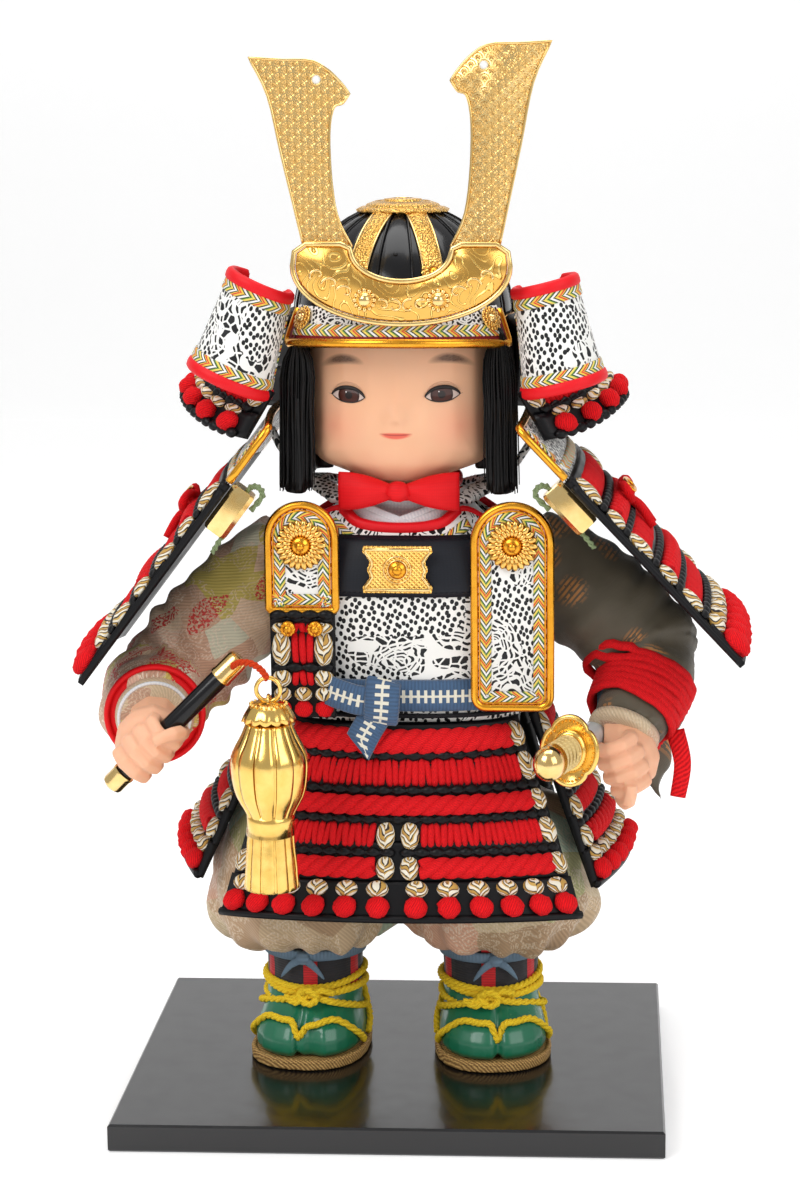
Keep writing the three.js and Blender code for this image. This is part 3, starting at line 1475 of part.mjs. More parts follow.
function hair() {
  const bottom = neckBottom + hairFootShare * headHeight + hairBottomRise;
  const top = chinHeight + headHeight;
  const outer = loft(hairShares.map(([height, wide, deep]) => spread(20).slice(0, -1).map((share) => {
    const angle = share * turn + front;
    const [x, y] = roundedPoint(angle, (headHalfWidth + hairThickness) * wide,
      (headHalfDepth + hairThickness) * deep, 2.1);
    return vector(x, headSetBack + y, lerp(bottom, top, height));
  })));
  const lockBottom = breastGuardTop + hairBottomRise;
  const lockTop = chinHeight + headHeight * lockTopShare;
  const locks = [-1, 1].map((sign) => loft(lockShares.map(([height, size]) => (
    spread(10).slice(0, -1).map((share) => vector(
      sign * lockOut + lockHalfWidth * size * Math.cos(share * turn),
      -lockForward + lockHalfDepth * Math.sin(share * turn),
      lerp(lockBottom, lockTop, height),
    ))))));
  const opening = new THREE.Shape([
    new THREE.Vector2(-jawHalfOpening, neckBottom - overrun),
      new THREE.Vector2(jawHalfOpening, neckBottom - overrun),
    new THREE.Vector2(faceHalfOpening, chinHeight + headHeight * 0.32),
    new THREE.Vector2(faceHalfOpening, chinHeight + fringeHeight),
    new THREE.Vector2(-faceHalfOpening, chinHeight + fringeHeight),
    new THREE.Vector2(-faceHalfOpening, chinHeight + headHeight * 0.32),
  ]);
  const window = new THREE.ExtrudeGeometry(opening, { depth: 2 * headHalfDepth, bevelEnabled: false })
    .rotateX(Math.PI / 2).translate(0, headSetBack - headHalfDepth * 0.12, 0);
  const neckRoom = turned([
    [0, neckBottom - overrun], [headHalfWidth * 0.74, neckBottom - overrun],
    [headHalfWidth * 0.74, chinHeight + headHeight * 0.12], [0, chinHeight + headHeight * 0.12],
  ], 20).translate(0, headSetBack, 0);
  return cut(join(outer, ...locks), loft(headRings(gap)), window, neckRoom);
}
const hairFootShare = 0.115;
const lockTopShare = 0.4;
const lockShares = [[0, 0.9], [0.2, 1], [0.5, 0.8], [1, 0.68]];

add('hair', hair(), hairBlack);

// Red neckcloth with a bow under the chin
function chinBow() {
  const foot = chinHeight - scarfDrop - 2 * gap;
  const scarf = sheet((u, v) => {
    const angle = front + u * turn;
    const radius = lerp(scarfRadius, neckRadius + gap + scarfThickness, v);
    const forward = Math.max(-Math.sin(angle), 0) * (1 - v) * scarfRadius * scarfForwardShare;
    return vector(radius * Math.cos(angle), trunkSetBack + radius * Math.sin(angle) - forward,
      foot + v * scarfDrop);
  }, spread(16), spread(1), scarfThickness, { wraps: true });
  const middle = foot + bowRiseShare * bowHeight;
  const centreY = trunkSetBack - scarfRadius * (1 + scarfForwardShare);
  const lobes = [-1, 1].map((sign) =>
    loft([[0, 0.3], [0.25, 0.6], [0.6, 1], [0.9, 0.95], [1, 0.6]].map(([out, size]) => (
    spread(8).slice(0, -1).map((share) => vector(
      sign * out * bowHalfWidth,
      centreY + (bowDepth / 2) * size * Math.cos(share * turn),
      middle + out * bowHeight * 0.12 + (bowHeight / 2) * size * Math.sin(share * turn),
    ))))));
  const knot = new THREE.SphereGeometry(0.5, 8, 6).scale(bowHeight * 0.62, bowDepth * 1.5, bowHeight * 0.7)
    .translate(0, centreY, middle);
  return join(scarf, knot, ...lobes);
}
const scarfForwardShare = 0.66;
const bowRiseShare = 0.1;

add('chin_bow', chinBow(), red);

// Helmet

const bowlRatio = bowlHalfDepth / bowlHalfWidth;

function bowlArc(radius, rise, steps, until = 1) {
  return spread(steps).map((share) => {
    const angle = (share * until * Math.PI) / 2;
    return [radius * Math.cos(angle), bowlRimHeight + rise * Math.sin(angle)];
  });
}

function domed(points, segments) {
  return turned(points, segments).scale(1, bowlRatio, 1).translate(0, trunkSetBack, 0);
}

function bowl() {
  const outside = bowlArc(bowlHalfWidth, bowlRise, 7);
  const inside = bowlArc(bowlHalfWidth - bowlThickness, bowlRise - bowlThickness, 4).reverse();
  outside[7][0] = 0;
  inside[0][0] = 0;
  return domed([...inside, ...outside], 24);
}

function bowlRoom() {
  const outside = bowlArc(bowlHalfWidth + gap, bowlRise + gap, 7);
  outside[7][0] = 0;
  return domed([[0, bowlRimHeight - 2 * gap], [bowlHalfWidth + gap, bowlRimHeight - 2 * gap], ...outside],
    24);
}

function bowlRadiusAt(height) {
  return bowlHalfWidth * Math.sqrt(Math.max(1 - ((height - bowlRimHeight) / bowlRise) ** 2, 0));
}

function crownPlate() {
  const under = spread(3).map((share) => {
    const radius = crownRadius * (1 - share);
    return [radius, bowlRimHeight + bowlRise * Math.sqrt(1 - (radius / bowlHalfWidth) ** 2) + 1.5 * gap];
  });
  const over = under.map(([radius, height]) => [radius, height + crownThickness]).reverse();
  return domed([...under.reverse(), ...over.reverse()], 20);
}

const visorHalfAngle = 58;

function visor() {
  const topHeight = bowlRimHeight + visorTopShare * visorDrop;
  const place = (u, v) => {
    const angle = radians((2 * u - 1) * visorHalfAngle);
    const radius = lerp(bowlRadiusAt(topHeight) + 2 * gap + visorThickness, bowlHalfWidth + visorReach, v);
    const deep = lerp(bowlRadiusAt(topHeight) * bowlRatio + 2 * gap + visorThickness,
      bowlHalfDepth + visorReach, v);
    return vector(radius * Math.sin(angle), trunkSetBack - deep * Math.cos(angle), topHeight - v * visorDrop);
  };
  return cut(sheet(place, spread(14), spread(2), visorThickness, { flip: true }), bowlRoom());
}
const visorTopShare = 0.5;

// Neck guard: flared rows round the back and sides; only the lowest row comes forward under the rolls
function neckGuardPlace(openingDegrees) {
  return (u, v) => {
    const opening = radians(openingDegrees);
    const angle = front + lerp(opening, turn - opening, u);
    const swell = v ** neckGuardCurve;
    const forward = Math.sin(angle) < 0;
    const flare = forward ? neckGuardFrontFlare : neckGuardBackFlare;
    const start = gap + neckGuardThickness * neckGuardSeatShare;
    return vector(
      (bowlHalfWidth + start + neckGuardSideFlare * swell) * Math.cos(angle),
      trunkSetBack + (bowlHalfDepth + start + flare * swell) * Math.sin(angle),
      bowlRimHeight + neckGuardLap - v
        * (neckGuardDrop + neckGuardLap - neckGuardSideLift * Math.cos(angle) ** 6),
    );
  };
}
const neckGuardCurve = 0.9;
const neckGuardSeatShare = 0.55;
const upperRows = 3;
const lowRows = 2;
const lowRowShare = 0.62;

function neckGuard(extra = 0) {
  const options = (rows) => ({ relief: (u, v) => rowRelief(rows, neckGuardRowStep)(u, v) + extra });
  const thickness = neckGuardThickness + extra;
  const upper = between(neckGuardPlace(neckGuardUpperOpening), 0, lowRowShare);
  const lower = between(neckGuardPlace(neckGuardOpening), lowRowShare - neckGuardOverlapShare, 1);
  const high = sheet(upper, spread(14), rowSteps(upperRows), thickness, options(upperRows));
  const low = sheet(lower, spread(20), rowSteps(lowRows), thickness, options(lowRows));
  return cut(join(high, low), bowlRoom());
}
const neckGuardOverlapShare = 0.02;

// Rolls: each turned-back end of the upper rows, seen from above as an open curl.
// Places across and along, as shares of the roll's radius; the first is beside the helmet.
const rollShares = [
  [-0.86, 0.6], [-1, 0.2], [-0.93, -0.35], [-0.62, -0.82], [0, -1.05], [0.64, -0.84], [0.98, -0.25],
  [0.95, 0.4], [0.62, 0.86],
];

function turnback(sign) {
  const plan = new THREE.SplineCurve(rollShares.map(([x, y]) => new THREE.Vector2(x, y)));
  const tilt = radians(sign < 0 ? rightTurnbackLean : leftTurnbackLean);
  const place = (u, v) => {
    const point = plan.getPoint(u);
    const radius = turnbackRadius + turnbackFlare * v;
    const x = point.x * radius;
    const y = point.y * radius;
    const down = v * turnbackLength;
    return vector(
      sign * (turnbackFootOut + x * Math.cos(tilt) - (turnbackLength - down) * Math.sin(tilt)),
      y - turnbackForward,
      turnbackTopHeight + x * Math.sin(tilt) * turnbackTipShare - down * Math.cos(tilt),
    );
  };
  return cut(sheet(place, spread(16), spread(2), turnbackThickness, { flip: sign < 0 }), bowlRoom(),
    neckGuard(1.5 * gap));
}
const turnbackTipShare = 1.3;

// Crest: a crescent on the visor, with a bracket to the bowl and a socket for each horn

function crescent() {
  const arc = (halfWidth, drop) => {
    const radius = (halfWidth ** 2 + drop ** 2) / (2 * drop);
    return { radius, half: Math.asin(Math.min(halfWidth / radius, 1)) };
  };
  const top = crestBottomHeight + crestHeight;
  const outer = arc(crestHalfWidth, crestHeight);
  const inner = arc(crestInnerHalfWidth, crestInnerDrop);
  const outline = new THREE.Shape();
  outline.absarc(0, crestBottomHeight + outer.radius, outer.radius, front - outer.half, front + outer.half,
    false);
  outline.lineTo(crestInnerHalfWidth, top);
  outline.absarc(0, top - crestInnerDrop + inner.radius, inner.radius, front + inner.half,
    front - inner.half, true);
  const plate = new THREE.ExtrudeGeometry(outline,
    { depth: crestThickness, bevelEnabled: false, curveSegments: 16 });
  return plate.rotateX(Math.PI / 2).translate(crestOffset, -crestForward + crestThickness, 0);
}

const crestTop = crestBottomHeight + crestHeight;
const crestBack = -crestForward + crestThickness;
const hornFace = crestBack + gap;

function crestBase() {
  const bracketTop = crestBottomHeight + crestHeight - crestInnerDrop;
  const bracket = new THREE.BoxGeometry(bracketWidth, crestForward - bowlHalfDepth / 2, bracketHeight)
    .translate(crestOffset, crestBack - gap + (crestForward - bowlHalfDepth / 2) / 2,
      bracketTop - bracketHeight);
  const sockets = [-1, 1].map((sign) => {
    const depth = hornThickness + 4 * gap;
    return new THREE.BoxGeometry(socketWidth, depth + crestThickness / 2, socketHeight)
      .translate(crestOffset + sign * hornRootOut, crestBack + (depth - crestThickness / 2) / 2,
        crestTop - socketHeight / 2 - gap);
  });
  const slots = [-1, 1].map((sign) => (
    new THREE.BoxGeometry(hornTongueWidth + 2 * gap, hornThickness + 2 * gap, 2 * (hornTongue + gap))
      .translate(crestOffset + sign * hornRootOut, hornFace + hornThickness / 2, crestTop)
  ));
  return cut(join(crescent(), bracket, ...sockets), bowlRoom(), ...slots);
}

// A horn, drawn outward from its root: a widening blade with a beak on its inner side and a small hole.
// Across as shares of the horn's spread and up as shares of its height.
const hornOuterShares = [[0.32, 0], [0.46, 0.25], [0.6, 0.5], [0.76, 0.8], [1, 1]];
const hornTopShares = [[1, 1], [0.6, 0.99], [0.2, 0.985], [-0.02, 0.94], [-0.2, 0.87], [-0.31, 0.81]];
const hornInnerShares = [[-0.31, 0.81], [-0.22, 0.76], [-0.1, 0.735], [-0.04, 0.6], [-0.06, 0.35],
  [-0.14, 0.15], [-0.32, 0]];
const hornHoleShares = [0.12, 0.885];

function horn(sign) {
  const tall = sign > 0 ? leftHornHeight : rightHornHeight;
  const half = hornTongueWidth / 2;
  const at = ([x, z]) => new THREE.Vector2(x * hornSpread, z * tall);
  const outline = new THREE.Shape();
  outline.moveTo(half, -hornTongue);
  outline.lineTo(half, 0);
  outline.lineTo(at(hornOuterShares[0]).x, 0);
  outline.splineThru(hornOuterShares.slice(1).map(at));
  outline.splineThru(hornTopShares.slice(1).map(at));
  outline.splineThru(hornInnerShares.slice(1).map(at));
  outline.lineTo(-half, 0);
  outline.lineTo(-half, -hornTongue);
  const hole = new THREE.Path();
  const middle = at(hornHoleShares);
  hole.absarc(middle.x, middle.y, hornHoleRadius, 0, turn, true);
  outline.holes.push(hole);
  const blade = new THREE.ExtrudeGeometry(outline,
    { depth: hornThickness, bevelEnabled: false, curveSegments: 3 });
  const flat = blade.rotateX(Math.PI / 2).translate(0, hornThickness, 0);
  return sign > 0 ? flat : toGeometry(toSolid(flat).mirror([1, 0, 0]));
}

add('helmet_bowl', bowl(), lacquerBlack);
add('crown_plate', crownPlate(), gold);
add('visor', visor(), leather);
add('neck_guard', neckGuard(), red);
sides.forEach(({ name, sign }) => add(`${name}_turnback`, turnback(sign), leather));
add('crest_base', crestBase(), gold);
sides.forEach(({ name, sign }) => {
  const piece = add(`${name}_horn`, horn(sign), gold);
  piece.position.set(crestOffset + sign * hornRootOut, hornFace, crestTop);
});

export default group;
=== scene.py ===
# The looks of a festival warrior doll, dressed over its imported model. Metres, +Z up, it faces -Y.

import json
import math
import random

import bmesh
import bpy
from mathutils import Matrix, Vector
from mathutils.bvhtree import BVHTree
from mathutils.noise import noise

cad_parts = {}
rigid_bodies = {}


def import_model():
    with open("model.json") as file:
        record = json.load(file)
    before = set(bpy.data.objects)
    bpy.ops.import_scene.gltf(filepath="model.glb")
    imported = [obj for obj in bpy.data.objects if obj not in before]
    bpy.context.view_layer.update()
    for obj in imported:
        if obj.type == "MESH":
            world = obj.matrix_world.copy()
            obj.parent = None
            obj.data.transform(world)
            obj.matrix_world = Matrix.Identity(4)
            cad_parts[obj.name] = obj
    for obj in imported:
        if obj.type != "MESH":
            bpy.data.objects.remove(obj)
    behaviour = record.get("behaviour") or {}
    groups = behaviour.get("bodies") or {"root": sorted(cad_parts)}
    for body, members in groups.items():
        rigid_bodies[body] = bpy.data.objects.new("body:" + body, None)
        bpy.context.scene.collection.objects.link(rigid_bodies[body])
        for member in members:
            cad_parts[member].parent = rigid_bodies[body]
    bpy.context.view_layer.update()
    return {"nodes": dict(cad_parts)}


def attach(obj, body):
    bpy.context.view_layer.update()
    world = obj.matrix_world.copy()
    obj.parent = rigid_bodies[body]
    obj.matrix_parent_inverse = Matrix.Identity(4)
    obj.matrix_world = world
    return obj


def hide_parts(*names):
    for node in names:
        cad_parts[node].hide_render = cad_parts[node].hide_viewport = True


for thing in list(bpy.data.objects):
    bpy.data.objects.remove(thing)
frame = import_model()
dice = random.Random(11)

MM = 0.001
TURN = 2 * math.pi
FRONT = -math.pi / 2
UP = Vector((0, 0, 1))
FORWARD = Vector((0, -1, 0))

# The camera stands where the photograph was taken
CAMERA_PLACE = (0.070148, -0.858945, 0.344743)
CAMERA_LENS = 78.607
CAMERA_SENSOR = 36
CAMERA_SHIFT = -0.1
CAMERA_DIP = 0.202
CAMERA_YAW = -0.034


def make_camera():
    data = bpy.data.cameras.new("camera")
    data.lens = CAMERA_LENS
    data.sensor_width = CAMERA_SENSOR
    data.shift_x = CAMERA_SHIFT
    camera = bpy.data.objects.new("camera", data)
    bpy.context.scene.collection.objects.link(camera)
    camera.location = CAMERA_PLACE
    level = math.cos(CAMERA_DIP)
    look = Vector((math.sin(CAMERA_YAW) * level, math.cos(CAMERA_YAW) * level, -math.sin(CAMERA_DIP)))
    camera.rotation_mode = "QUATERNION"
    camera.rotation_quaternion = look.to_track_quat("-Z", "Y")
    bpy.context.scene.camera = camera


make_camera()

# Sizes that repeat the model's, in millimetres. Everything above the legs stands TRUNK_OFFSET to one side.
TRUNK_OFFSET = 2.5
TRUNK_SET_BACK = 4
SKIRT_TOP = 132.7
WAIST = 133.3
CUIRASS_HEIGHT = 72
LEG_SET_BACK = 7
STANCE = 61
TOES_OUT = 8


def lerp(a, b, t):
    return a + (b - a) * t


def spread(steps):
    return [i / steps for i in range(steps + 1)]


def at(x, y, z):
    """A point of the model's frame, from millimetres."""
    return Vector((x * MM, y * MM, z * MM))


def on_doll(x, y, z):
    """A point of the doll above the legs, from millimetres off its own middle line."""
    return at(x + TRUNK_OFFSET, y, z)


def follow(table, place, column=1):
    """A smooth line through the rows of a table whose first column rises."""
    last = len(table) - 1
    end = next((i for i, row in enumerate(table) if row[0] >= place), last)
    if end == 0:
        return table[0][column]
    start = end - 1
    before, after = max(start - 1, 0), min(end + 1, last)
    span = table[end][0] - table[start][0]
    t = min((place - table[start][0]) / span, 1)

    def slope(a, b):
        return (table[b][column] - table[a][column]) / (table[b][0] - table[a][0]) * span

    rise = table[end][column] - table[start][column]
    bend = t * (1 - t)
    leave, arrive = slope(before, end), slope(start, after)
    return table[start][column] + rise * t + bend * ((1 - t) * (leave - rise) - t * (arrive - rise))


def rounded_point(angle, half_x, half_y, power=2.0):
    across, along = math.cos(angle), math.sin(angle)
    scale = (abs(across) ** power + abs(along) ** power) ** (-1 / power)
    return half_x * across * scale, half_y * along * scale


def smooth_line(points, steps):
    """Evenly numbered points of a smooth curve through the given ones."""
    count = len(points) - 1
    line = []
    for share in spread(steps):
        place = min(share * count, count - 1e-9)
        i = int(place)
        t = place - i
        p0, p1 = points[max(i - 1, 0)], points[i]
        p2, p3 = points[i + 1], points[min(i + 2, count)]
        line.append(0.5 * (2 * p1 + (p2 - p0) * t + (2 * p0 - 5 * p1 + 4 * p2 - p3) * t * t
                           + (3 * p1 - p0 - 3 * p2 + p3) * t * t * t))
    return line


class Surface:
    """A face place(u, v) in metres, whose normal points away from a point inside."""

    def __init__(self, place, inside):
        self.place = place
        self.side = 1
        point, _, _, normal = self.frame(0.5, 0.5)
        if normal.dot(point - inside) < 0:
            self.side = -1

    def frame(self, u, v, lift=0.0):
        e = 1e-3
        across = (self.place(u + e, v) - self.place(u - e, v)).normalized()
        down = (self.place(u, v + e) - self.place(u, v - e)).normalized()
        normal = across.cross(down).normalized() * self.side
        return self.place(u, v) + normal * (lift * MM), across, down, normal

    def point(self, u, v, lift=0.0):
        return self.frame(u, v, lift)[0]

    def width(self, v):
        line = [self.place(u, v) for u in spread(12)]
        return sum((b - a).length for a, b in zip(line, line[1:])) / MM

    def length(self, u=0.5):
        line = [self.place(u, v) for v in spread(12)]
        return sum((b - a).length for a, b in zip(line, line[1:])) / MM


class Build:
    """Collects faces with their texture places, then makes one piece of them."""

    def __init__(self):
        self.points = []
        self.faces = []
        self.uvs = []

    def face(self, corners, uvs):
        self.faces.append(corners)
        self.uvs.append(uvs)

    def grid(self, rows, wrap=False, uv=None, flip=False):
        """Quads over rows of points; wrap joins a row's end to its start. Returns the rows' first numbers."""
        start = len(self.points)
        count = len(rows[0])
        for row in rows:
            self.points.extend(row)
        spans = count if wrap else count - 1
        place = uv or (lambda i, j: (j / spans, i / max(len(rows) - 1, 1)))
        for i in range(len(rows) - 1):
            for j in range(spans):
                a = start + i * count + j
                b = start + i * count + (j + 1) % count
                corners = [a, b, b + count, a + count]
                uvs = [place(i, j), place(i, j + 1), place(i + 1, j + 1), place(i + 1, j)]
                if flip:
                    corners.reverse()
                    uvs.reverse()
                self.face(corners, uvs)
        return start

    def cap(self, ring, flip=False, uv=(0.0, 0.0)):
        corners = list(ring)
        if flip:
            corners.reverse()
        self.face(corners, [uv] * len(corners))

    def sweep(self, frames, halves, sides=8, power=2.0, closed=False, uv_scale=None):
        """A closed tube over frames (point, across, out), with half sizes (across, out) in millimetres."""
        rings = []
        lengths = [0.0]
        for (point, across, out), (wide, thick) in zip(frames, halves):
            ring = []
            for k in range(sides):
                x, y = rounded_point(TURN * (k + 0.5) / sides, wide, thick, power)
                ring.append(point + across * (x * MM) + out * (y * MM))
            rings.append(ring)
        for (a, _, _), (b, _, _) in zip(frames, frames[1:]):
            lengths.append(lengths[-1] + (b - a).length / MM)
        if closed:
            rings.append(rings[0])
            lengths.append(lengths[-1] + (frames[0][0] - frames[-1][0]).length / MM)
        around = uv_scale or 1.0
        start = self.grid(rings, wrap=True, uv=lambda i, j: (j / sides * around, lengths[i]))
        if not closed:
            last = start + (len(rings) - 1) * sides
            self.cap(range(start, start + sides), flip=True, uv=(0.0, 0.0))
            self.cap(range(last, last + sides), uv=(0.0, lengths[-1]))
        return self

    def tube(self, line, radius, sides=8, out=UP, closed=False, thin=1.0, uv_scale=None):
        """A round tube along a line of points; radius is a number or a function of the share along."""
        size = radius if callable(radius) else (lambda _: radius)
        frames = line_frames(line, out, closed)
        last = max(len(line) - 1, 1)
        halves = [(size(i / last), size(i / last) * thin) for i in range(len(line))]
        return self.sweep(frames, halves, sides, closed=closed, uv_scale=uv_scale)

    def twisted(self, line, radius, strands=2, pitch=6.0, out=UP, sides=6, thin=1.0, step=1.0, closed=False):
        """Strands of yarn twisted round a line, each turning once in pitch millimetres."""
        length = sum((b - a).length for a, b in zip(line, line[1:])) / MM
        count = max(int(length / step), 6)
        fine = smooth_line(line, count)
        frames = line_frames(fine, out, closed)
        for strand in range(strands):
            path = []
            for i, (point, across, normal) in enumerate(frames):
                angle = TURN * (i / count * length / pitch + strand / strands)
                swing = radius * 0.5 * MM
                path.append(point + across * (swing * math.cos(angle))
                            + normal * (swing * thin * math.sin(angle)))
            self.tube(path, lambda t: radius * 0.56, sides, out, thin=thin)
        return self

    def blob(self, place, sizes, steps=(8, 6), rough=0.0, seed=0.0):
        """A rounded lump at a frame (point, across, down, normal), with half sizes in millimetres."""
        point, across, down, normal = place
        wide, tall, thick = sizes
        across_steps, down_steps = steps
        rows = []
        for i in range(1, down_steps):
            lift = math.pi * i / down_steps
            row = []
            for k in range(across_steps):
                angle = TURN * k / across_steps
                x = wide * math.sin(lift) * math.cos(angle)
                z = thick * math.sin(lift) * math.sin(angle)
                y = -tall * math.cos(lift)
                swell = 1.0
                if rough:
                    swell += rough * noise(Vector((x * 0.9 + seed, y * 0.9, z * 0.9)))
                row.append(point + (across * x + down * y + normal * z) * (MM * swell))
            rows.append(row)
        start = self.grid(rows, wrap=True, uv=lambda i, j: (abs(2 * (j / across_steps) - 1),
                                                            i * 2 * tall / down_steps))
        poles = [point - down * (tall * MM), point + down * (tall * MM)]
        for end, pole in enumerate(poles):
            self.points.append(pole)
            hub = len(self.points) - 1
            first = start + end * (down_steps - 2) * across_steps
            for k in range(across_steps):
                a, b = first + k, first + (k + 1) % across_steps
                self.face([b, a, hub] if end == 0 else [a, b, hub], [(0.5, 0.0)] * 3)
        return self

    def sheet(self, surface, us, vs, thickness, relief=None, lift=0.0, uv=None):
        """A closed sheet: its face is the surface, lifted by relief(u, v); its back lies thickness inside."""
        rise = relief or (lambda u, v: 0.0)
        wide, tall = surface.width(0.5), surface.length(0.5)
        place = uv or (lambda u, v: (u * wide, v * tall))
        tops, backs = [], []
        for v in vs:
            frames = [surface.frame(u, v) for u in us]
            tops.append([f[0] + f[3] * ((rise(u, v) + lift) * MM) for u, f in zip(us, frames)])
            backs.append([f[0] + f[3] * ((lift - thickness) * MM) for f in frames])
        outer = self.grid(tops, uv=lambda i, j: place(us[j], vs[i]))
        inner = self.grid(backs, uv=lambda i, j: place(us[j], vs[i]), flip=True)
        n, m = len(us), len(vs)
        edge = [(0, j) for j in range(n)] + [(i, n - 1) for i in range(1, m)]
        edge += [(m - 1, j) for j in range(n - 2, -1, -1)] + [(i, 0) for i in range(m - 2, 0, -1)]
        for (i, j), (k, l) in zip(edge, edge[1:] + edge[:1]):
            a, b = outer + i * n + j, outer + k * n + l
            c, d = inner + k * n + l, inner + i * n + j
            self.face([b, a, d, c], [place(us[l], vs[k]), place(us[j], vs[i])] * 2)
        return self

    def turned(self, outline, steps=24, centre=None, axis=UP, side=None, closed_ends=True):
        """A solid turned about an axis, from [radius, height] millimetres that start and end on it."""
        middle = centre or Vector()
        along = axis.normalized()
        first = (side or (Vector((1, 0, 0)) if abs(along.x) < 0.9 else Vector((0, 1, 0))))
        first = (first - along * first.dot(along)).normalized()
        second = along.cross(first)
        rows = []
        for radius, height in outline:
            row = []
            for k in range(steps):
                angle = TURN * k / steps
                away = first * math.cos(angle) + second * math.sin(angle)
                row.append(middle + along * (height * MM) + away * (max(radius, 1e-4) * MM))
            rows.append(row)
        lengths = [0.0]
        for (r0, h0), (r1, h1) in zip(outline, outline[1:]):
            lengths.append(lengths[-1] + math.hypot(r1 - r0, h1 - h0))
        widest = max(radius for radius, _ in outline)
        start = self.grid(rows, wrap=True, uv=lambda i, j: (j / steps * TURN * widest, lengths[i]))
        if closed_ends:
            last = start + (len(rows) - 1) * steps
            self.cap(range(start, start + steps), flip=True)
            self.cap(range(last, last + steps))
        return self

    def make(self, name, body, look, slot=None, replaces=(), smooth=True, weld=True, subdivide=0):
        """Makes the piece, welded and facing out, with its material, and lets it ride."""
        data = bpy.data.meshes.new(name)
        data.from_pydata([tuple(p) for p in self.points], [], self.faces)
        layer = data.uv_layers.new(name="UVMap")
        flat = [value for uvs in self.uvs for pair in uvs for value in pair]
        layer.data.foreach_set("uv", flat)
        work = bmesh.new()
        work.from_mesh(data)
        if weld:
            bmesh.ops.remove_doubles(work, verts=work.verts, dist=1e-6)
            bmesh.ops.dissolve_degenerate(work, edges=work.edges, dist=1e-7)
        bmesh.ops.recalc_face_normals(work, faces=work.faces)
        work.to_mesh(data)
        work.free()
        data.polygons.foreach_set("use_smooth", [smooth] * len(data.polygons))
        obj = bpy.data.objects.new(name, data)
        bpy.context.scene.collection.objects.link(obj)
        data.materials.append(look)
        if subdivide:
            finer = obj.modifiers.new("finer", "SUBSURF")
            finer.levels = subdivide
            finer.render_levels = subdivide
        if replaces:
            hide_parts(*replaces)
        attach(obj, body)
        return obj


def line_frames(line, out, closed=False):
    """(point, across, out) along a line, with out kept as near as can be to the wanted direction."""
    frames = []
    last = len(line) - 1
    outs = out if isinstance(out, (list, tuple)) and not isinstance(out, Vector) else None
    for i, point in enumerate(line):
        before = line[i - 1] if i > 0 or closed else point
        after = line[(i + 1) % (last + 1)] if i < last or closed else point
        along = (after - before).normalized()
        wanted = outs[i] if outs else out
        across = along.cross(wanted)
        if across.length < 1e-4:
            across = along.cross(Vector((0.3, 0.8, 0.5)))
        across.normalize()
        frames.append((point, across, across.cross(along).normalized()))
    return frames


def crease(obj, angle=35):
    """Flat and sharp where faces meet at more than an angle."""
    obj.data.set_sharp_from_angle(angle=math.radians(angle))
    return obj


# Materials

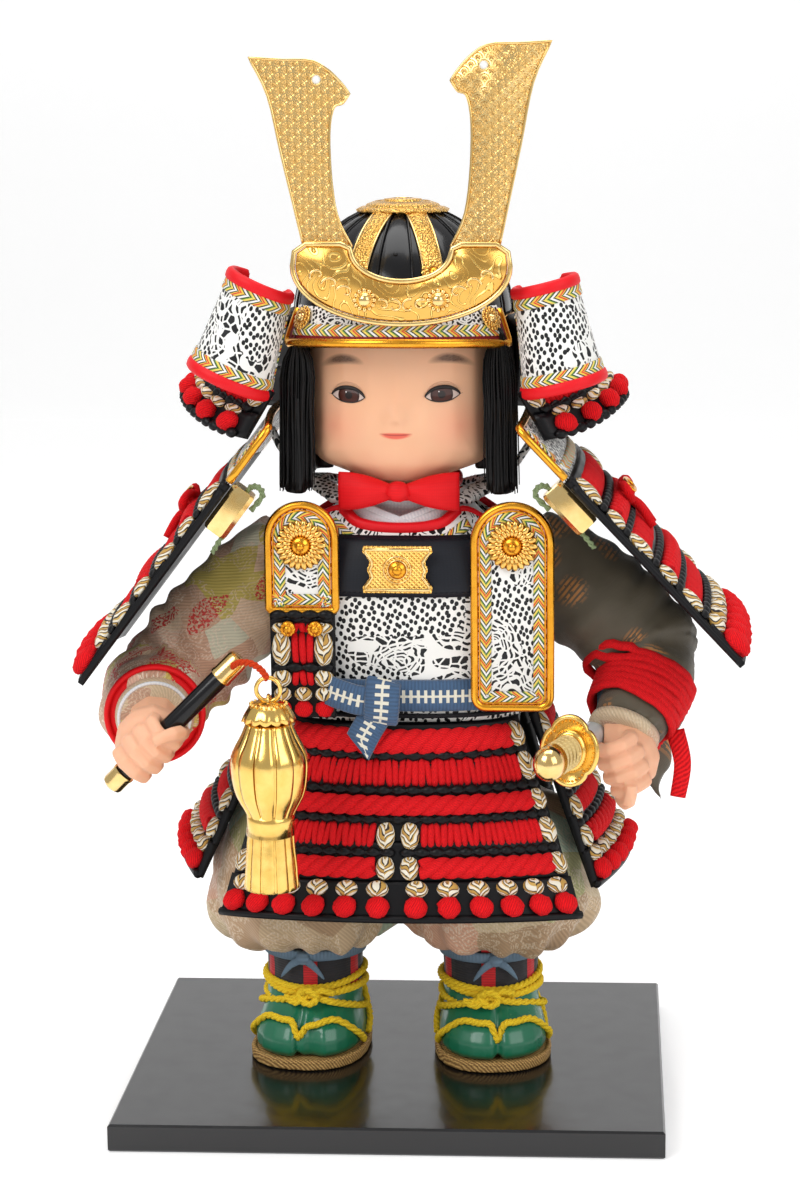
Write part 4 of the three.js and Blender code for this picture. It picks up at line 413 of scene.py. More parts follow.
class Nodes:
    """Builds one material's node tree; vectors and values are output sockets."""

    def __init__(self, name, roughness=0.5, metallic=0.0, colour=(0.8, 0.8, 0.8), **sockets):
        self.look = bpy.data.materials.new(name)
        self.look.use_nodes = True
        self.tree = self.look.node_tree
        self.shader = self.tree.nodes["Principled BSDF"]
        self.set("Base Color", (*colour, 1.0))
        self.set("Roughness", roughness)
        self.set("Metallic", metallic)
        for socket, value in sockets.items():
            self.set(socket.replace("_", " "), value)

    def set(self, socket, value):
        if isinstance(value, bpy.types.NodeSocket):
            self.tree.links.new(value, self.shader.inputs[socket])
        else:
            self.shader.inputs[socket].default_value = value

    def node(self, kind, inputs=None, **fields):
        made = self.tree.nodes.new(kind)
        for field, value in fields.items():
            setattr(made, field, value)
        for socket, value in (inputs or {}).items():
            if isinstance(value, bpy.types.NodeSocket):
                self.tree.links.new(value, made.inputs[socket])
            else:
                made.inputs[socket].default_value = value
        return made

    def uv(self):
        return self.node("ShaderNodeTexCoord").outputs["UV"]

    def place(self):
        """Object coordinates in millimetres."""
        coordinates = self.node("ShaderNodeTexCoord").outputs["Object"]
        return self.scale(coordinates, (1 / MM, 1 / MM, 1 / MM))

    def scale(self, vector, size, turn=0.0):
        made = self.node("ShaderNodeMapping", {"Vector": vector, "Scale": size})
        made.inputs["Rotation"].default_value = (0, 0, turn)
        return made.outputs["Vector"]

    def noise(self, vector, scale, detail=2.0, rough=0.5, colour=False):
        made = self.node("ShaderNodeTexNoise", {"Vector": vector, "Scale": scale, "Detail": detail,
                                                "Roughness": rough})
        return made.outputs["Color" if colour else "Fac"]

    def voronoi(self, vector, scale, feature="F1", output="Distance", randomness=1.0, flat="2D"):
        made = self.node("ShaderNodeTexVoronoi", {"Vector": vector, "Scale": scale, "Randomness": randomness},
                         feature=feature, voronoi_dimensions=flat)
        return made.outputs[output]

    def wave(self, vector, scale, distortion=0.0, direction="X", profile="SIN", detail=0.0, kind="BANDS"):
        made = self.node("ShaderNodeTexWave", {
            "Vector": vector, "Scale": scale, "Distortion": distortion, "Detail": detail,
        }, wave_type=kind, wave_profile=profile)
        if kind == "BANDS":
            made.bands_direction = direction
        else:
            made.rings_direction = direction
        return made.outputs["Fac"]

    def math(self, operation, a, b=0.0, c=0.0):
        made = self.node("ShaderNodeMath", {0: a, 1: b, 2: c}, operation=operation)
        return made.outputs["Value"]

    def add(self, a, b):
        return self.math("ADD", a, b)

    def sub(self, a, b):
        return self.math("SUBTRACT", a, b)

    def mul(self, a, b):
        return self.math("MULTIPLY", a, b)

    def div(self, a, b):
        return self.math("DIVIDE", a, b)

    def far(self, a, b):
        """The distance of (a, b) from the origin."""
        return self.math("SQRT", self.add(self.mul(a, a), self.mul(b, b)))

    def vector(self, operation, a, b=(0.0, 0.0, 0.0)):
        made = self.node("ShaderNodeVectorMath", {0: a, 1: b}, operation=operation)
        return made.outputs["Vector"]

    def split(self, vector):
        made = self.node("ShaderNodeSeparateXYZ", {"Vector": vector})
        return made.outputs["X"], made.outputs["Y"], made.outputs["Z"]

    def combine(self, x, y, z=0.0):
        return self.node("ShaderNodeCombineXYZ", {"X": x, "Y": y, "Z": z}).outputs["Vector"]

    def warp(self, vector, scale, amount, detail=1.0):
        cloud = self.noise(vector, scale, detail, colour=True)
        shift = self.vector("SUBTRACT", cloud, (0.5, 0.5, 0.5))
        grown = self.vector("MULTIPLY", shift, (amount, amount, amount))
        return self.vector("ADD", vector, grown)

    def ramp(self, value, stops, constant=False):
        made = self.node("ShaderNodeValToRGB", {"Fac": value})
        ramp = made.color_ramp
        ramp.interpolation = "CONSTANT" if constant else "LINEAR"
        while len(ramp.elements) < len(stops):
            ramp.elements.new(1.0)
        for element, (place, colour) in zip(ramp.elements, stops):
            element.position = place
            tone = colour if isinstance(colour, (tuple, list)) else (colour, colour, colour)
            element.color = (*tone, 1.0)
        return made.outputs["Color"]

    def mix(self, share, a, b, blend="MIX"):
        made = self.node("ShaderNodeMix", data_type="RGBA", blend_type=blend)
        for socket, value in ((made.inputs["Factor"], share), (made.inputs[6], a), (made.inputs[7], b)):
            if isinstance(value, bpy.types.NodeSocket):
                self.tree.links.new(value, socket)
            elif socket.type == "RGBA":
                socket.default_value = (*value, 1.0)
            else:
                socket.default_value = value
        return made.outputs[2]

    def bump(self, height, strength=0.3, distance=0.2):
        """A bump whose distance is in millimetres."""
        made = self.node("ShaderNodeBump", {"Height": height, "Strength": strength,
                                            "Distance": distance * MM})
        self.set("Normal", made.outputs["Normal"])
        return made.outputs["Normal"]


RED = (0.84, 0.008, 0.012)
DARK_RED = (0.50, 0.003, 0.008)
BLACK = (0.005, 0.005, 0.006)
WHITE = (0.83, 0.82, 0.79)
TAN = (0.50, 0.33, 0.13)
GOLD = (0.86, 0.55, 0.16)
DEEP_GOLD = (0.83, 0.40, 0.04)
PALE_GOLD = (0.92, 0.68, 0.30)


def lacquer(name, colour, roughness=0.16, coat=0.4, shine=0.5):
    n = Nodes(name, roughness, 0.0, colour, Coat_Weight=coat, Coat_Roughness=0.06, Specular_IOR_Level=shine)
    cloud = n.noise(n.place(), 0.11, 3)
    n.set("Roughness", n.ramp(cloud, [(0.3, roughness * 0.85), (0.7, roughness * 1.25)]))
    n.bump(n.noise(n.place(), 0.5, 2), 0.02, 0.1)
    return n.look


def gilt(name, colour=GOLD, roughness=0.2, grain=0.05, pattern=None):
    n = Nodes(name, roughness, 1.0, colour)
    cloud = n.noise(n.place(), 0.22, 3)
    warm = tuple(c * f for c, f in zip(colour, (0.94, 0.82, 0.62)))
    n.set("Base Color", n.mix(n.ramp(cloud, [(0.35, 0.0), (0.75, 1.0)]), colour, warm))
    n.set("Roughness", n.ramp(cloud, [(0.3, roughness * 0.8), (0.75, roughness * 1.4)]))
    fine = n.noise(n.place(), 1.6, 4)
    height = pattern(n) if pattern else fine
    if pattern:
        plain = n.mix(n.ramp(cloud, [(0.35, 0.0), (0.75, 1.0)]), colour, warm)
        deep = tuple(c * f for c, f in zip(colour, (0.80, 0.62, 0.42)))
        n.set("Base Color", n.mix(n.ramp(height, [(0.1, 0.0), (0.75, 1.0)]), deep, plain))
    n.bump(height, 0.8 if pattern else grain, 0.4 if pattern else 0.2)
    return n.look


def yarn(name, colour, dark, ridge=1.1, fuzz=0.6, roughness=0.85):
    """Wool-like cord: fine strands along it and a soft halo; the colour darkens in the low grooves between
    strands as painted shade, mixed with random fibre tone.
    """
    n = Nodes(name, roughness, 0.0, colour, Sheen_Weight=0.18, Sheen_Roughness=0.5, Specular_IOR_Level=0.25)
    n.set("Sheen Tint", (*colour, 1.0))
    x, y, _ = n.split(n.uv())
    strands = n.wave(n.combine(n.mul(x, 3.0), n.mul(y, 0.25)), 1.4 * ridge, 2.2, "DIAGONAL",
                     detail=1.0)
    hairs = n.noise(n.scale(n.place(), (1.0, 1.0, 0.55)), 2.1, 3, 0.7)
    both = n.math("MULTIPLY_ADD", strands, 0.5, n.mul(hairs, 0.9))
    # Painted shade: the dark colour fills the low grooves between strands, where the bump is low, mixed with
    # random fibre tone
    n.set("Base Color", n.mix(n.ramp(both, [(0.35, 1.0), (0.95, 0.0)]), colour, dark))
    n.bump(both, fuzz, 0.35)
    return n.look


def mottled(name):
    """Woodpecker braid: chevrons of white, tan and dark brown threads."""
    n = Nodes(name, 0.75, 0.0, TAN, Sheen_Weight=0.1)
    x, y, _ = n.split(n.uv())
    across = n.math("ABSOLUTE", n.sub(x, 0.5))
    side = n.mul(n.math("GREATER_THAN", x, 0.5), 0.33)
    rows = n.add(side, n.math("MULTIPLY_ADD", across, 1.5, n.mul(y, 0.25)))
    jump = n.noise(n.place(), 0.28, 0)
    share = n.math("FRACT", n.math("MULTIPLY_ADD", jump, 0.8, rows))
    threads = n.ramp(share, [
        (0.0, (0.78, 0.73, 0.60)), (0.24, (0.020, 0.009, 0.006)), (0.34, (0.50, 0.29, 0.06)),
        (0.52, (0.20, 0.09, 0.02)),
        (0.60, (0.80, 0.75, 0.62)), (0.78, (0.020, 0.009, 0.006)), (0.88, (0.58, 0.36, 0.09)),
    ], constant=True)
    n.set("Base Color", threads)
    n.bump(n.math("FRACT", n.mul(rows, 5.0)), 0.5, 0.3)
    return n.look


def chevrons(name):
    """A braid of V-shaped threads; its texture place runs 0 to 1 across and in millimetres along."""
    n = Nodes(name, 0.62, 0.0, WHITE, Sheen_Weight=0.08)
    x, y, _ = n.split(n.uv())
    away = n.math("ABSOLUTE", n.sub(x, 0.5))
    rows = n.math("MULTIPLY_ADD", away, -0.66, n.mul(y, 1 / 7.8))
    side = n.mul(n.math("GREATER_THAN", x, 0.5), 0.06)
    share = n.math("FRACT", n.add(rows, side))
    threads = n.ramp(share, [
        (0.0, (0.84, 0.83, 0.80)), (0.13, (0.008, 0.008, 0.010)), (0.21, (0.82, 0.54, 0.06)),
        (0.33, (0.70, 0.03, 0.02)),
        (0.42, (0.80, 0.50, 0.05)), (0.48, (0.008, 0.008, 0.010)), (0.55, (0.84, 0.83, 0.80)),
        (0.67, (0.008, 0.008, 0.010)),
        (0.75, (0.84, 0.64, 0.12)), (0.87, (0.14, 0.32, 0.04)), (0.93, (0.008, 0.008, 0.010)),
    ], constant=True)
    n.set("Base Color", threads)
    lines = n.math("FRACT", n.mul(rows, 8.0))
    n.bump(n.ramp(lines, [(0.0, 0.0), (0.3, 1.0), (0.75, 1.0), (1.0, 0.0)]), 0.5, 0.25)
    return n.look


def printed(name, dots=0.5):
    """White leather printed in black: broken strokes that bend round each other, and dots between them."""
    n = Nodes(name, 0.55, 0.0, WHITE, Specular_IOR_Level=0.35)
    flat = n.uv()
    bent = n.warp(n.warp(flat, 0.05, 9.0), 0.17, 5.0)
    field = n.voronoi(bent, 0.05, "SMOOTH_F1", randomness=0.9)
    strokes = n.math("FRACT", n.mul(field, 13.5))
    line = n.math("LESS_THAN", strokes, 0.5)
    gaps = n.voronoi(n.warp(flat, 0.3, 1.0), 0.36, "DISTANCE_TO_EDGE")
    broken = n.mul(line, n.math("GREATER_THAN", gaps, 0.11))
    dashes = n.scale(n.warp(flat, 0.1, 1.2), (1.0, 0.72, 1.0), 0.5)
    dot = n.math("LESS_THAN", n.voronoi(dashes, 0.62, randomness=0.5), 0.36)
    where = n.math("GREATER_THAN", n.noise(flat, 0.05, 0.0), 1 - dots)
    ink = n.add(n.mul(broken, n.sub(1.0, where)), n.mul(dot, where))
    n.set("Base Color", n.mix(ink, WHITE, BLACK))
    n.set("Roughness", n.mix(ink, (0.6, 0.6, 0.6), (0.4, 0.4, 0.4)))
    grain = n.voronoi(flat, 2.6)
    n.bump(n.math("MULTIPLY_ADD", grain, 0.35, n.mul(ink, 0.5)), 0.35, 0.12)
    return n.look


def cloth(name, colour, dark=None, rib=2.0, strength=0.35, sheen=0.15, roughness=0.8):
    """Plain woven cloth with fine ribs across and along; its colour darkens in the gaps between threads as
    painted shade, broken up by a random cloud of tone.
    """
    n = Nodes(name, roughness, 0.0, colour, Sheen_Weight=sheen, Sheen_Roughness=0.45, Specular_IOR_Level=0.3)
    n.set("Sheen Tint", (*colour, 1.0))
    flat = n.uv()
    ribs = n.wave(flat, rib * 0.16, 0.3, "Y")
    threads = n.wave(flat, rib * 0.12, 0.3, "X")
    weave = n.mul(ribs, threads)
    cloud = n.noise(n.place(), 0.1, 3)
    # shade: the darker colour painted into the low gaps between threads as shade, scaled by a random cloud of
    # tone
    shade = dark or tuple(c * 0.62 for c in colour)
    n.set("Base Color", n.mix(n.mul(n.sub(1.0, weave), n.add(cloud, 0.15)), colour, shade))
    n.bump(n.math("MULTIPLY_ADD", n.noise(n.place(), 1.1, 3), 0.5, weave), strength, 0.25)
    return n.look


def brocade(name, ground, patches, thread, patch_scale=0.045, motif_scale=0.15, fleck=None):
    """Figured silk: patches of colour, curling figures in a raised thread, and a fine diagonal weave; a copy
    darkened along the twill is blended in as painted shade.
    """
    n = Nodes(name, 0.55, 0.0, ground, Sheen_Weight=0.15, Specular_IOR_Level=0.4)
    flat = n.uv()
    bent = n.warp(flat, 0.05, 6.0)
    cells = n.voronoi(bent, patch_scale, output="Color", randomness=0.9)
    pick, other, _ = n.split(cells)
    stops = [(0.0, ground)] + [(0.3 + 0.7 * i / len(patches), patch) for i, patch in enumerate(patches)]
    colour = n.ramp(pick, stops, constant=True)
    x, y, _ = n.split(n.warp(flat, motif_scale, 3.0))
    field = n.noise(n.combine(x, y), motif_scale, 1.0)
    curls = n.math("GREATER_THAN", n.math("SINE", n.mul(field, 64.0)), 0.2)
    region = n.math("GREATER_THAN", n.noise(flat, 0.07, 1.0), 0.42)
    figure = n.mul(curls, region)
    twill = n.wave(flat, 0.42, 0.5, "DIAGONAL", detail=1.0)
    crossing = n.wave(flat, 0.36, 0.4, "X")
    figure = n.mul(figure, n.math("GREATER_THAN", n.add(twill, crossing), 0.75))
    lit = n.mix(n.mul(figure, n.math("MULTIPLY_ADD", other, 0.6, 0.3)), colour, thread)
    if fleck:
        band = n.math("GREATER_THAN", n.noise(n.scale(flat, (1.0, 0.4, 1.0)), 0.055, 1.0), 0.56)
        specks = n.math("GREATER_THAN", n.noise(flat, 1.1, 2.0), 0.5)
        lit = n.mix(n.mul(band, specks), lit, fleck)
    # Painted shade: a copy of the lit colour darkened along the diagonal twill, blended in below
    shade = n.mix(n.mul(twill, 0.45), lit, (0.08, 0.05, 0.03), "MULTIPLY")
    n.set("Base Color", n.mix(0.45, lit, shade))
    n.set("Roughness", n.mix(figure, (0.62, 0.62, 0.62), (0.42, 0.42, 0.42)))
    n.bump(n.math("MULTIPLY_ADD", figure, 0.8, n.mul(twill, 0.7)), 0.45, 0.3)
    return n.look


def medallions(name, ground, thread):
    """Dark figured cloth with rows of woven gold roundels."""
    n = Nodes(name, 0.6, 0.0, ground, Sheen_Weight=0.15)
    flat = n.uv()
    spot = n.voronoi(n.warp(flat, 0.25, 2.5), 0.046, randomness=0.5)
    rows = n.wave(flat, 0.2, 0.6, "Y")
    worn = n.mul(n.math("GREATER_THAN", rows, 0.42), n.math("GREATER_THAN", n.noise(flat, 0.5, 2), 0.43))
    broken = n.mul(n.ramp(spot, [(0.13, 0.85), (0.27, 0.0)]), worn)
    weave = n.wave(flat, 1.3, 0.8, "DIAGONAL", detail=1.0)
    cloud = n.noise(flat, 0.08, 2)
    dark = tuple(c * 0.55 for c in ground)
    # Painted shade in part: the ground darkens where the fine weave is low, as the bump does, and partly by a
    # random cloud of tone
    base = n.mix(n.mul(n.add(cloud, weave), 0.5), dark, ground)
    n.set("Base Color", n.mix(broken, base, thread))
    n.bump(n.math("MULTIPLY_ADD", broken, 0.9, n.mul(weave, 0.5)), 0.4, 0.28)
    return n.look


def skin(name):
    tone = (0.80, 0.42, 0.26)
    n = Nodes(name, 0.5, 0.0, tone, Subsurface_Weight=0.18, Subsurface_Scale=0.004, Specular_IOR_Level=0.3)
    n.set("Subsurface Radius", (1.0, 0.35, 0.2))
    cloud = n.noise(n.place(), 0.05, 2)
    n.set("Base Color", n.mix(cloud, tone, (0.85, 0.47, 0.30)))
    n.bump(n.noise(n.place(), 1.4, 3), 0.03, 0.1)
    return n.look


def hair_look(name):
    n = Nodes(name, 0.36, 0.0, (0.003, 0.003, 0.003), Specular_IOR_Level=0.28, Anisotropic=0.4)
    streaks = n.noise(n.scale(n.place(), (1.0, 1.0, 0.06)), 1.5, 3)
    n.set("Base Color", n.ramp(streaks, [(0.3, (0.0015, 0.0015, 0.002)), (0.75, (0.006, 0.005, 0.005))]))
    n.bump(streaks, 0.5, 0.25)
    return n.look


def straw_look(name):
    n = Nodes(name, 0.7, 0.0, (0.5, 0.3, 0.1))
    plait = n.wave(n.place(), 0.42, 3.0, "DIAGONAL", detail=2.0)
    fibres = n.noise(n.scale(n.place(), (0.5, 2.0, 2.0)), 1.2, 3)
    both = n.mul(plait, fibres)
    # Painted shade: the straw turns dark brown where the plait and fibres are low, the same height as the
    # bump; the fibre noise also gives random tone
    n.set("Base Color", n.ramp(both, [(0.05, (0.22, 0.11, 0.03)), (0.5, (0.62, 0.38, 0.12)),
                                      (0.9, (0.80, 0.58, 0.24))]))
    n.bump(both, 0.7, 0.5)
    return n.look


def ribbed(name, colour, stripe):
    """Blue ribbed ribbon with a ladder of cream stitches on its middle; across it the place runs 0 to 1."""
    n = Nodes(name, 0.75, 0.0, colour, Sheen_Weight=0.2)
    x, y, _ = n.split(n.uv())
    ribs = n.math("SINE", n.mul(y, 5.6))
    rung = n.math("LESS_THAN", n.math("FRACT", n.mul(y, 0.42)), 0.42)
    near = n.math("LESS_THAN", n.math("ABSOLUTE", n.sub(x, 0.5)), 0.2)
    spine = n.math("LESS_THAN", n.math("ABSOLUTE", n.sub(x, 0.5)), 0.035)
    ladder = n.math("MAXIMUM", n.mul(rung, near), spine)
    fuzz = n.noise(n.place(), 0.9, 2)
    base = n.mix(n.math("MULTIPLY_ADD", ribs, 0.25, n.mul(fuzz, 0.5)), colour,
                 tuple(c * 0.45 for c in colour))
    n.set("Base Color", n.mix(ladder, base, stripe))
    n.bump(n.math("MULTIPLY_ADD", ribs, 0.5, ladder), 0.5, 0.3)
    return n.look


def fans(n):
    """Rows of overlapping fans, for the horns."""
    x, _, y = n.split(n.place())
    row = n.math("FLOOR", n.div(y, 2.1))
    shift = n.mul(n.math("MODULO", row, 2.0), 2.1)
    dx = n.sub(n.math("MODULO", n.add(n.add(x, 210.0), shift), 4.2), 2.1)
    dy = n.math("MODULO", n.add(y, 210.0), 2.1)
    far = n.far(dx, dy)
    rays = n.math("SINE", n.mul(n.math("ARCTAN2", dx, n.add(dy, 0.3)), 14.0))
    rim = n.math("LESS_THAN", n.math("ABSOLUTE", n.sub(far, 1.9)), 0.2)
    hub = n.math("LESS_THAN", n.math("ABSOLUTE", n.sub(far, 1.1)), 0.12)
    lines = n.math("MAXIMUM", rim, n.mul(hub, 0.8))
    return n.math("MAXIMUM", n.math("MULTIPLY_ADD", rays, 0.22, 0.3), lines)


def stipple(n):
    return n.voronoi(n.place(), 1.6, flat="3D")


CHEEKS_X = (-18.5, 22.5)
CHEEK_Z = 230.5

looks = {
    "board": lacquer("board_lacquer", (0.006, 0.006, 0.007), 0.2, 0.25),
    "black": lacquer("black_lacquer", BLACK, 0.2, 0.12, 0.3),
    "lame": lacquer("lame_lacquer", (0.003, 0.003, 0.004), 0.42, 0.0, 0.22),
    "pale": lacquer("pale_lacquer", (0.55, 0.62, 0.66), 0.3),
    "shoe": lacquer("green_shoe", (0.006, 0.155, 0.075), 0.3, 0.3),
    "gilt": gilt("gilt"),
    "gilt_pale": gilt("gilt_pale", PALE_GOLD, 0.16),
    "gilt_deep": gilt("gilt_deep", DEEP_GOLD, 0.24),
    "gilt_stipple": gilt("gilt_stipple", GOLD, 0.24, pattern=stipple),
    "gilt_fans": gilt("gilt_fans", PALE_GOLD, 0.26, pattern=fans),
    "red": yarn("red_cord", RED, (0.40, 0.0, 0.004)),
    "wool": yarn("red_wool", (0.86, 0.006, 0.010), DARK_RED, 1.9, 0.9, 0.95),
    "orange": yarn("orange_cord", (0.72, 0.06, 0.006), (0.4, 0.02, 0.002)),
    "rope": yarn("yellow_rope", (1.0, 0.72, 0.035), (0.74, 0.46, 0.012)),
    "black_cord": yarn("black_cord", (0.014, 0.013, 0.016), (0.003, 0.003, 0.004)),
    "olive_cord": yarn("olive_cord", (0.30, 0.38, 0.20), (0.12, 0.16, 0.07)),
    "mottled": mottled("mottled_braid"),
    "braid": chevrons("chevron_braid"),
    "leather": printed("printed_leather"),
    "red_silk": cloth("red_silk", (0.76, 0.002, 0.006), (0.66, 0.001, 0.005), 3.2, 0.1, 0.05, 0.62),
    "binding": cloth("red_binding", (0.76, 0.003, 0.010), (0.68, 0.002, 0.008), 3.2, 0.08, 0.05, 0.5),
    "satin": cloth("black_satin", (0.006, 0.008, 0.014), (0.004, 0.005, 0.009), 2.6, 0.05, 0.03, 0.5),
    "white": cloth("white_silk", (0.80, 0.80, 0.80), (0.60, 0.62, 0.66), 1.8, 0.2, 0.1, 0.6),
    "grey_blue": cloth("grey_blue_cloth", (0.16, 0.24, 0.32), None, 1.6),
    "sash": ribbed("blue_sash", (0.045, 0.105, 0.21), (0.72, 0.69, 0.58)),
    "trousers": brocade("trouser_brocade", (0.52, 0.34, 0.20), [(0.56, 0.40, 0.24), (0.42, 0.40, 0.18),
                                                                (0.62, 0.34, 0.22),
                                                             (0.46, 0.56, 0.42), (0.60, 0.46, 0.28),
                                                             (0.42, 0.27, 0.15)],
                        (0.80, 0.66, 0.48)),
    "sleeve": brocade("sleeve_brocade", (0.60, 0.36, 0.24), [(0.74, 0.47, 0.34), (0.62, 0.38, 0.25),
                                                             (0.60, 0.48, 0.12),
                                                             (0.52, 0.30, 0.20), (0.66, 0.64, 0.48),
                                                             (0.78, 0.56, 0.38)],
                      (0.90, 0.72, 0.56), 0.09, fleck=(0.62, 0.05, 0.04)),
    "cuff": brocade("cuff_brocade", (0.60, 0.40, 0.27), [(0.52, 0.44, 0.14), (0.60, 0.46, 0.30),
                                                         (0.60, 0.62, 0.46),
                                                         (0.50, 0.30, 0.20)], (0.80, 0.66, 0.48), 0.1),
    "olive": medallions("olive_cloth", (0.105, 0.083, 0.050), (0.50, 0.20, 0.045)),
    "skin": skin("hand_skin"),
    "hair": hair_look("black_hair"),
    "straw": straw_look("plaited_straw"),
}


# Floor, background and lights

def make_stage():
    floor = Build()
    reach, rise, bend = 2.2, 1.6, 0.5
    profile = [(-reach, 0.0), (reach - bend, 0.0)]
    for share in spread(10):
        angle = share * math.pi / 2
        profile.append((reach - bend + bend * math.sin(angle), bend - bend * math.cos(angle)))
    profile.append((reach, rise))
    floor.grid([[Vector((x, y, z)) for x in (-reach * 1.5, reach * 1.5)] for y, z in profile])
    n = Nodes("floor", 0.6, 0.0, (0.86, 0.86, 0.86))
    cloud = n.noise(n.scale(n.place(), (0.001, 0.001, 0.001)), 3.0, 2)
    n.set("Base Color", n.ramp(cloud, [(0.2, (0.855, 0.855, 0.855)), (0.8, (0.875, 0.875, 0.875))]))
    n.set("Emission Color", (1.0, 1.0, 1.0, 1.0))
    n.set("Emission Strength", 0.3)
    data = bpy.data.meshes.new("floor")
    data.from_pydata([tuple(p) for p in floor.points], [], floor.faces)
    data.polygons.foreach_set("use_smooth", [True] * len(data.polygons))
    data.materials.append(n.look)
    obj = bpy.data.objects.new("floor", data)
    bpy.context.scene.collection.objects.link(obj)


def make_light(name, place, target, size, power, shape="RECTANGLE", colour=(1, 1, 1)):
    data = bpy.data.lights.new(name, "AREA")
    data.shape = shape
    data.size, data.size_y = size
    data.energy = power
    data.color = colour
    light = bpy.data.objects.new(name, data)
    light.location = place
    light.rotation_mode = "QUATERNION"
    light.rotation_quaternion = (Vector(target) - Vector(place)).to_track_quat("-Z", "Y")
    bpy.context.scene.collection.objects.link(light)


def make_world():
    scene = bpy.context.scene
    scene.view_settings.view_transform = "Standard"
    scene.view_settings.look = "None"
    world = bpy.data.worlds.new("world")
    scene.world = world
    world.use_nodes = True
    tree = world.node_tree
    paths = tree.nodes.new("ShaderNodeLightPath")
    lamp = tree.nodes["Background"]
    lamp.inputs["Color"].default_value = (1.0, 1.0, 1.0, 1.0)
    lamp.inputs["Strength"].default_value = 0.5
    seen = tree.nodes.new("ShaderNodeBackground")
    seen.inputs["Color"].default_value = (0.985, 0.99, 0.985, 1.0)
    seen.inputs["Strength"].default_value = 1.0
    mixer = tree.nodes.new("ShaderNodeMixShader")
    tree.links.new(paths.outputs["Is Camera Ray"], mixer.inputs[0])
    tree.links.new(lamp.outputs[0], mixer.inputs[1])
    tree.links.new(seen.outputs[0], mixer.inputs[2])
    tree.links.new(mixer.outputs[0], tree.nodes["World Output"].inputs["Surface"])


make_stage()
make_world()
make_light("key", (-0.75, -1.0, 1.15), (0, 0, 0.18), (0.8, 0.8), 10.5)
make_light("fill", (1.0, -0.9, 0.8), (0, 0, 0.18), (0.9, 0.9), 6)
make_light("top", (0.0, 0.1, 1.3), (0, 0, 0.15), (1.0, 0.7), 7)


# Helpers that lay trim on a surface

def ribbon(build, frames, half, thickness, start=0.0):
    """A flat strip along frames (point, across, out); its texture runs 0 to 1 across and in mm along."""
    shape = [(-1, 0), (-0.9, 0.8), (-0.45, 1), (0, 0.9), (0.45, 1), (0.9, 0.8), (1, 0), (0, -0.1)]
    lengths = [start]
    for (a, _, _), (b, _, _) in zip(frames, frames[1:]):
        lengths.append(lengths[-1] + (b - a).length / MM)
    rows = [[p + x * (half * a * MM) + n * (thickness * b * MM) for a, b in shape] for p, x, n in frames]
    across = [(a + 1) / 2 for a, _ in shape] + [0.0]
    first = build.grid(rows, wrap=True, uv=lambda i, j: (across[j], lengths[i]))
    last = first + (len(rows) - 1) * len(shape)
    build.cap(range(first, first + len(shape)), flip=True)
    build.cap(range(last, last + len(shape)))
    return build


def on_surface(surface, places, lift=0.0, closed=False):
    """Frames (point, across, out) of a path given by its places on a surface."""
    found = [surface.frame(u, v, lift) for u, v in places]
    points = [f[0] for f in found]
    return line_frames(points, [f[3] for f in found], closed)


def across_places(a, b, v, steps):
    return [(lerp(a, b, t), v) for t in spread(steps)]


def rosette(name, body, centre, facing, radius, look=None, petals=24, heart="gilt_deep", replaces=(),
            slot="gilt"):
    """A gold chrysanthemum: two rings of petals round a domed heart."""
    build = Build()
    facing = facing.normalized()
    side = facing.cross(UP).normalized()
    up = side.cross(facing)
    for ring, (inner, outer, high) in enumerate(((0.50, 1.0, 0.09), (0.36, 0.72, 0.17))):
        for k in range(petals):
            angle = TURN * (k + 0.5 * ring) / petals
            away = side * math.cos(angle) + up * math.sin(angle)
            across = side * -math.sin(angle) + up * math.cos(angle)
            point = centre + away * (radius * (inner + outer) / 2 * MM) + facing * (radius * high * MM)
            width = radius * outer * math.pi / petals * 0.95
            build.blob((point, across, away, facing), (width, radius * (outer - inner) / 2, radius * 0.09),
                       (6, 6))
    build.turned([[0, 0], [radius * 0.93, 0], [radius * 0.93, radius * 0.06], [0, radius * 0.12]], 32,
                 centre, facing)
    piece = build.make(name, body, looks[look or "gilt"], slot, replaces)
    core = Build()
    core.turned([[0, 0], [radius * 0.36, 0], [radius * 0.36, radius * 0.2], [radius * 0.27, radius * 0.3],
                 [radius * 0.17, radius * 0.3], [radius * 0.17, radius * 0.4], [radius * 0.1, radius * 0.47],
                 [0, radius * 0.5]],
                28, centre, facing)
    core.make(name + "_heart", body, looks[heart], slot)
    return piece


# Lacing

CORD_PITCH = 1.95
BEAD_PITCH = 4.4
TWIST_PITCH = 13.5
SIDE_KNOT = 3.3


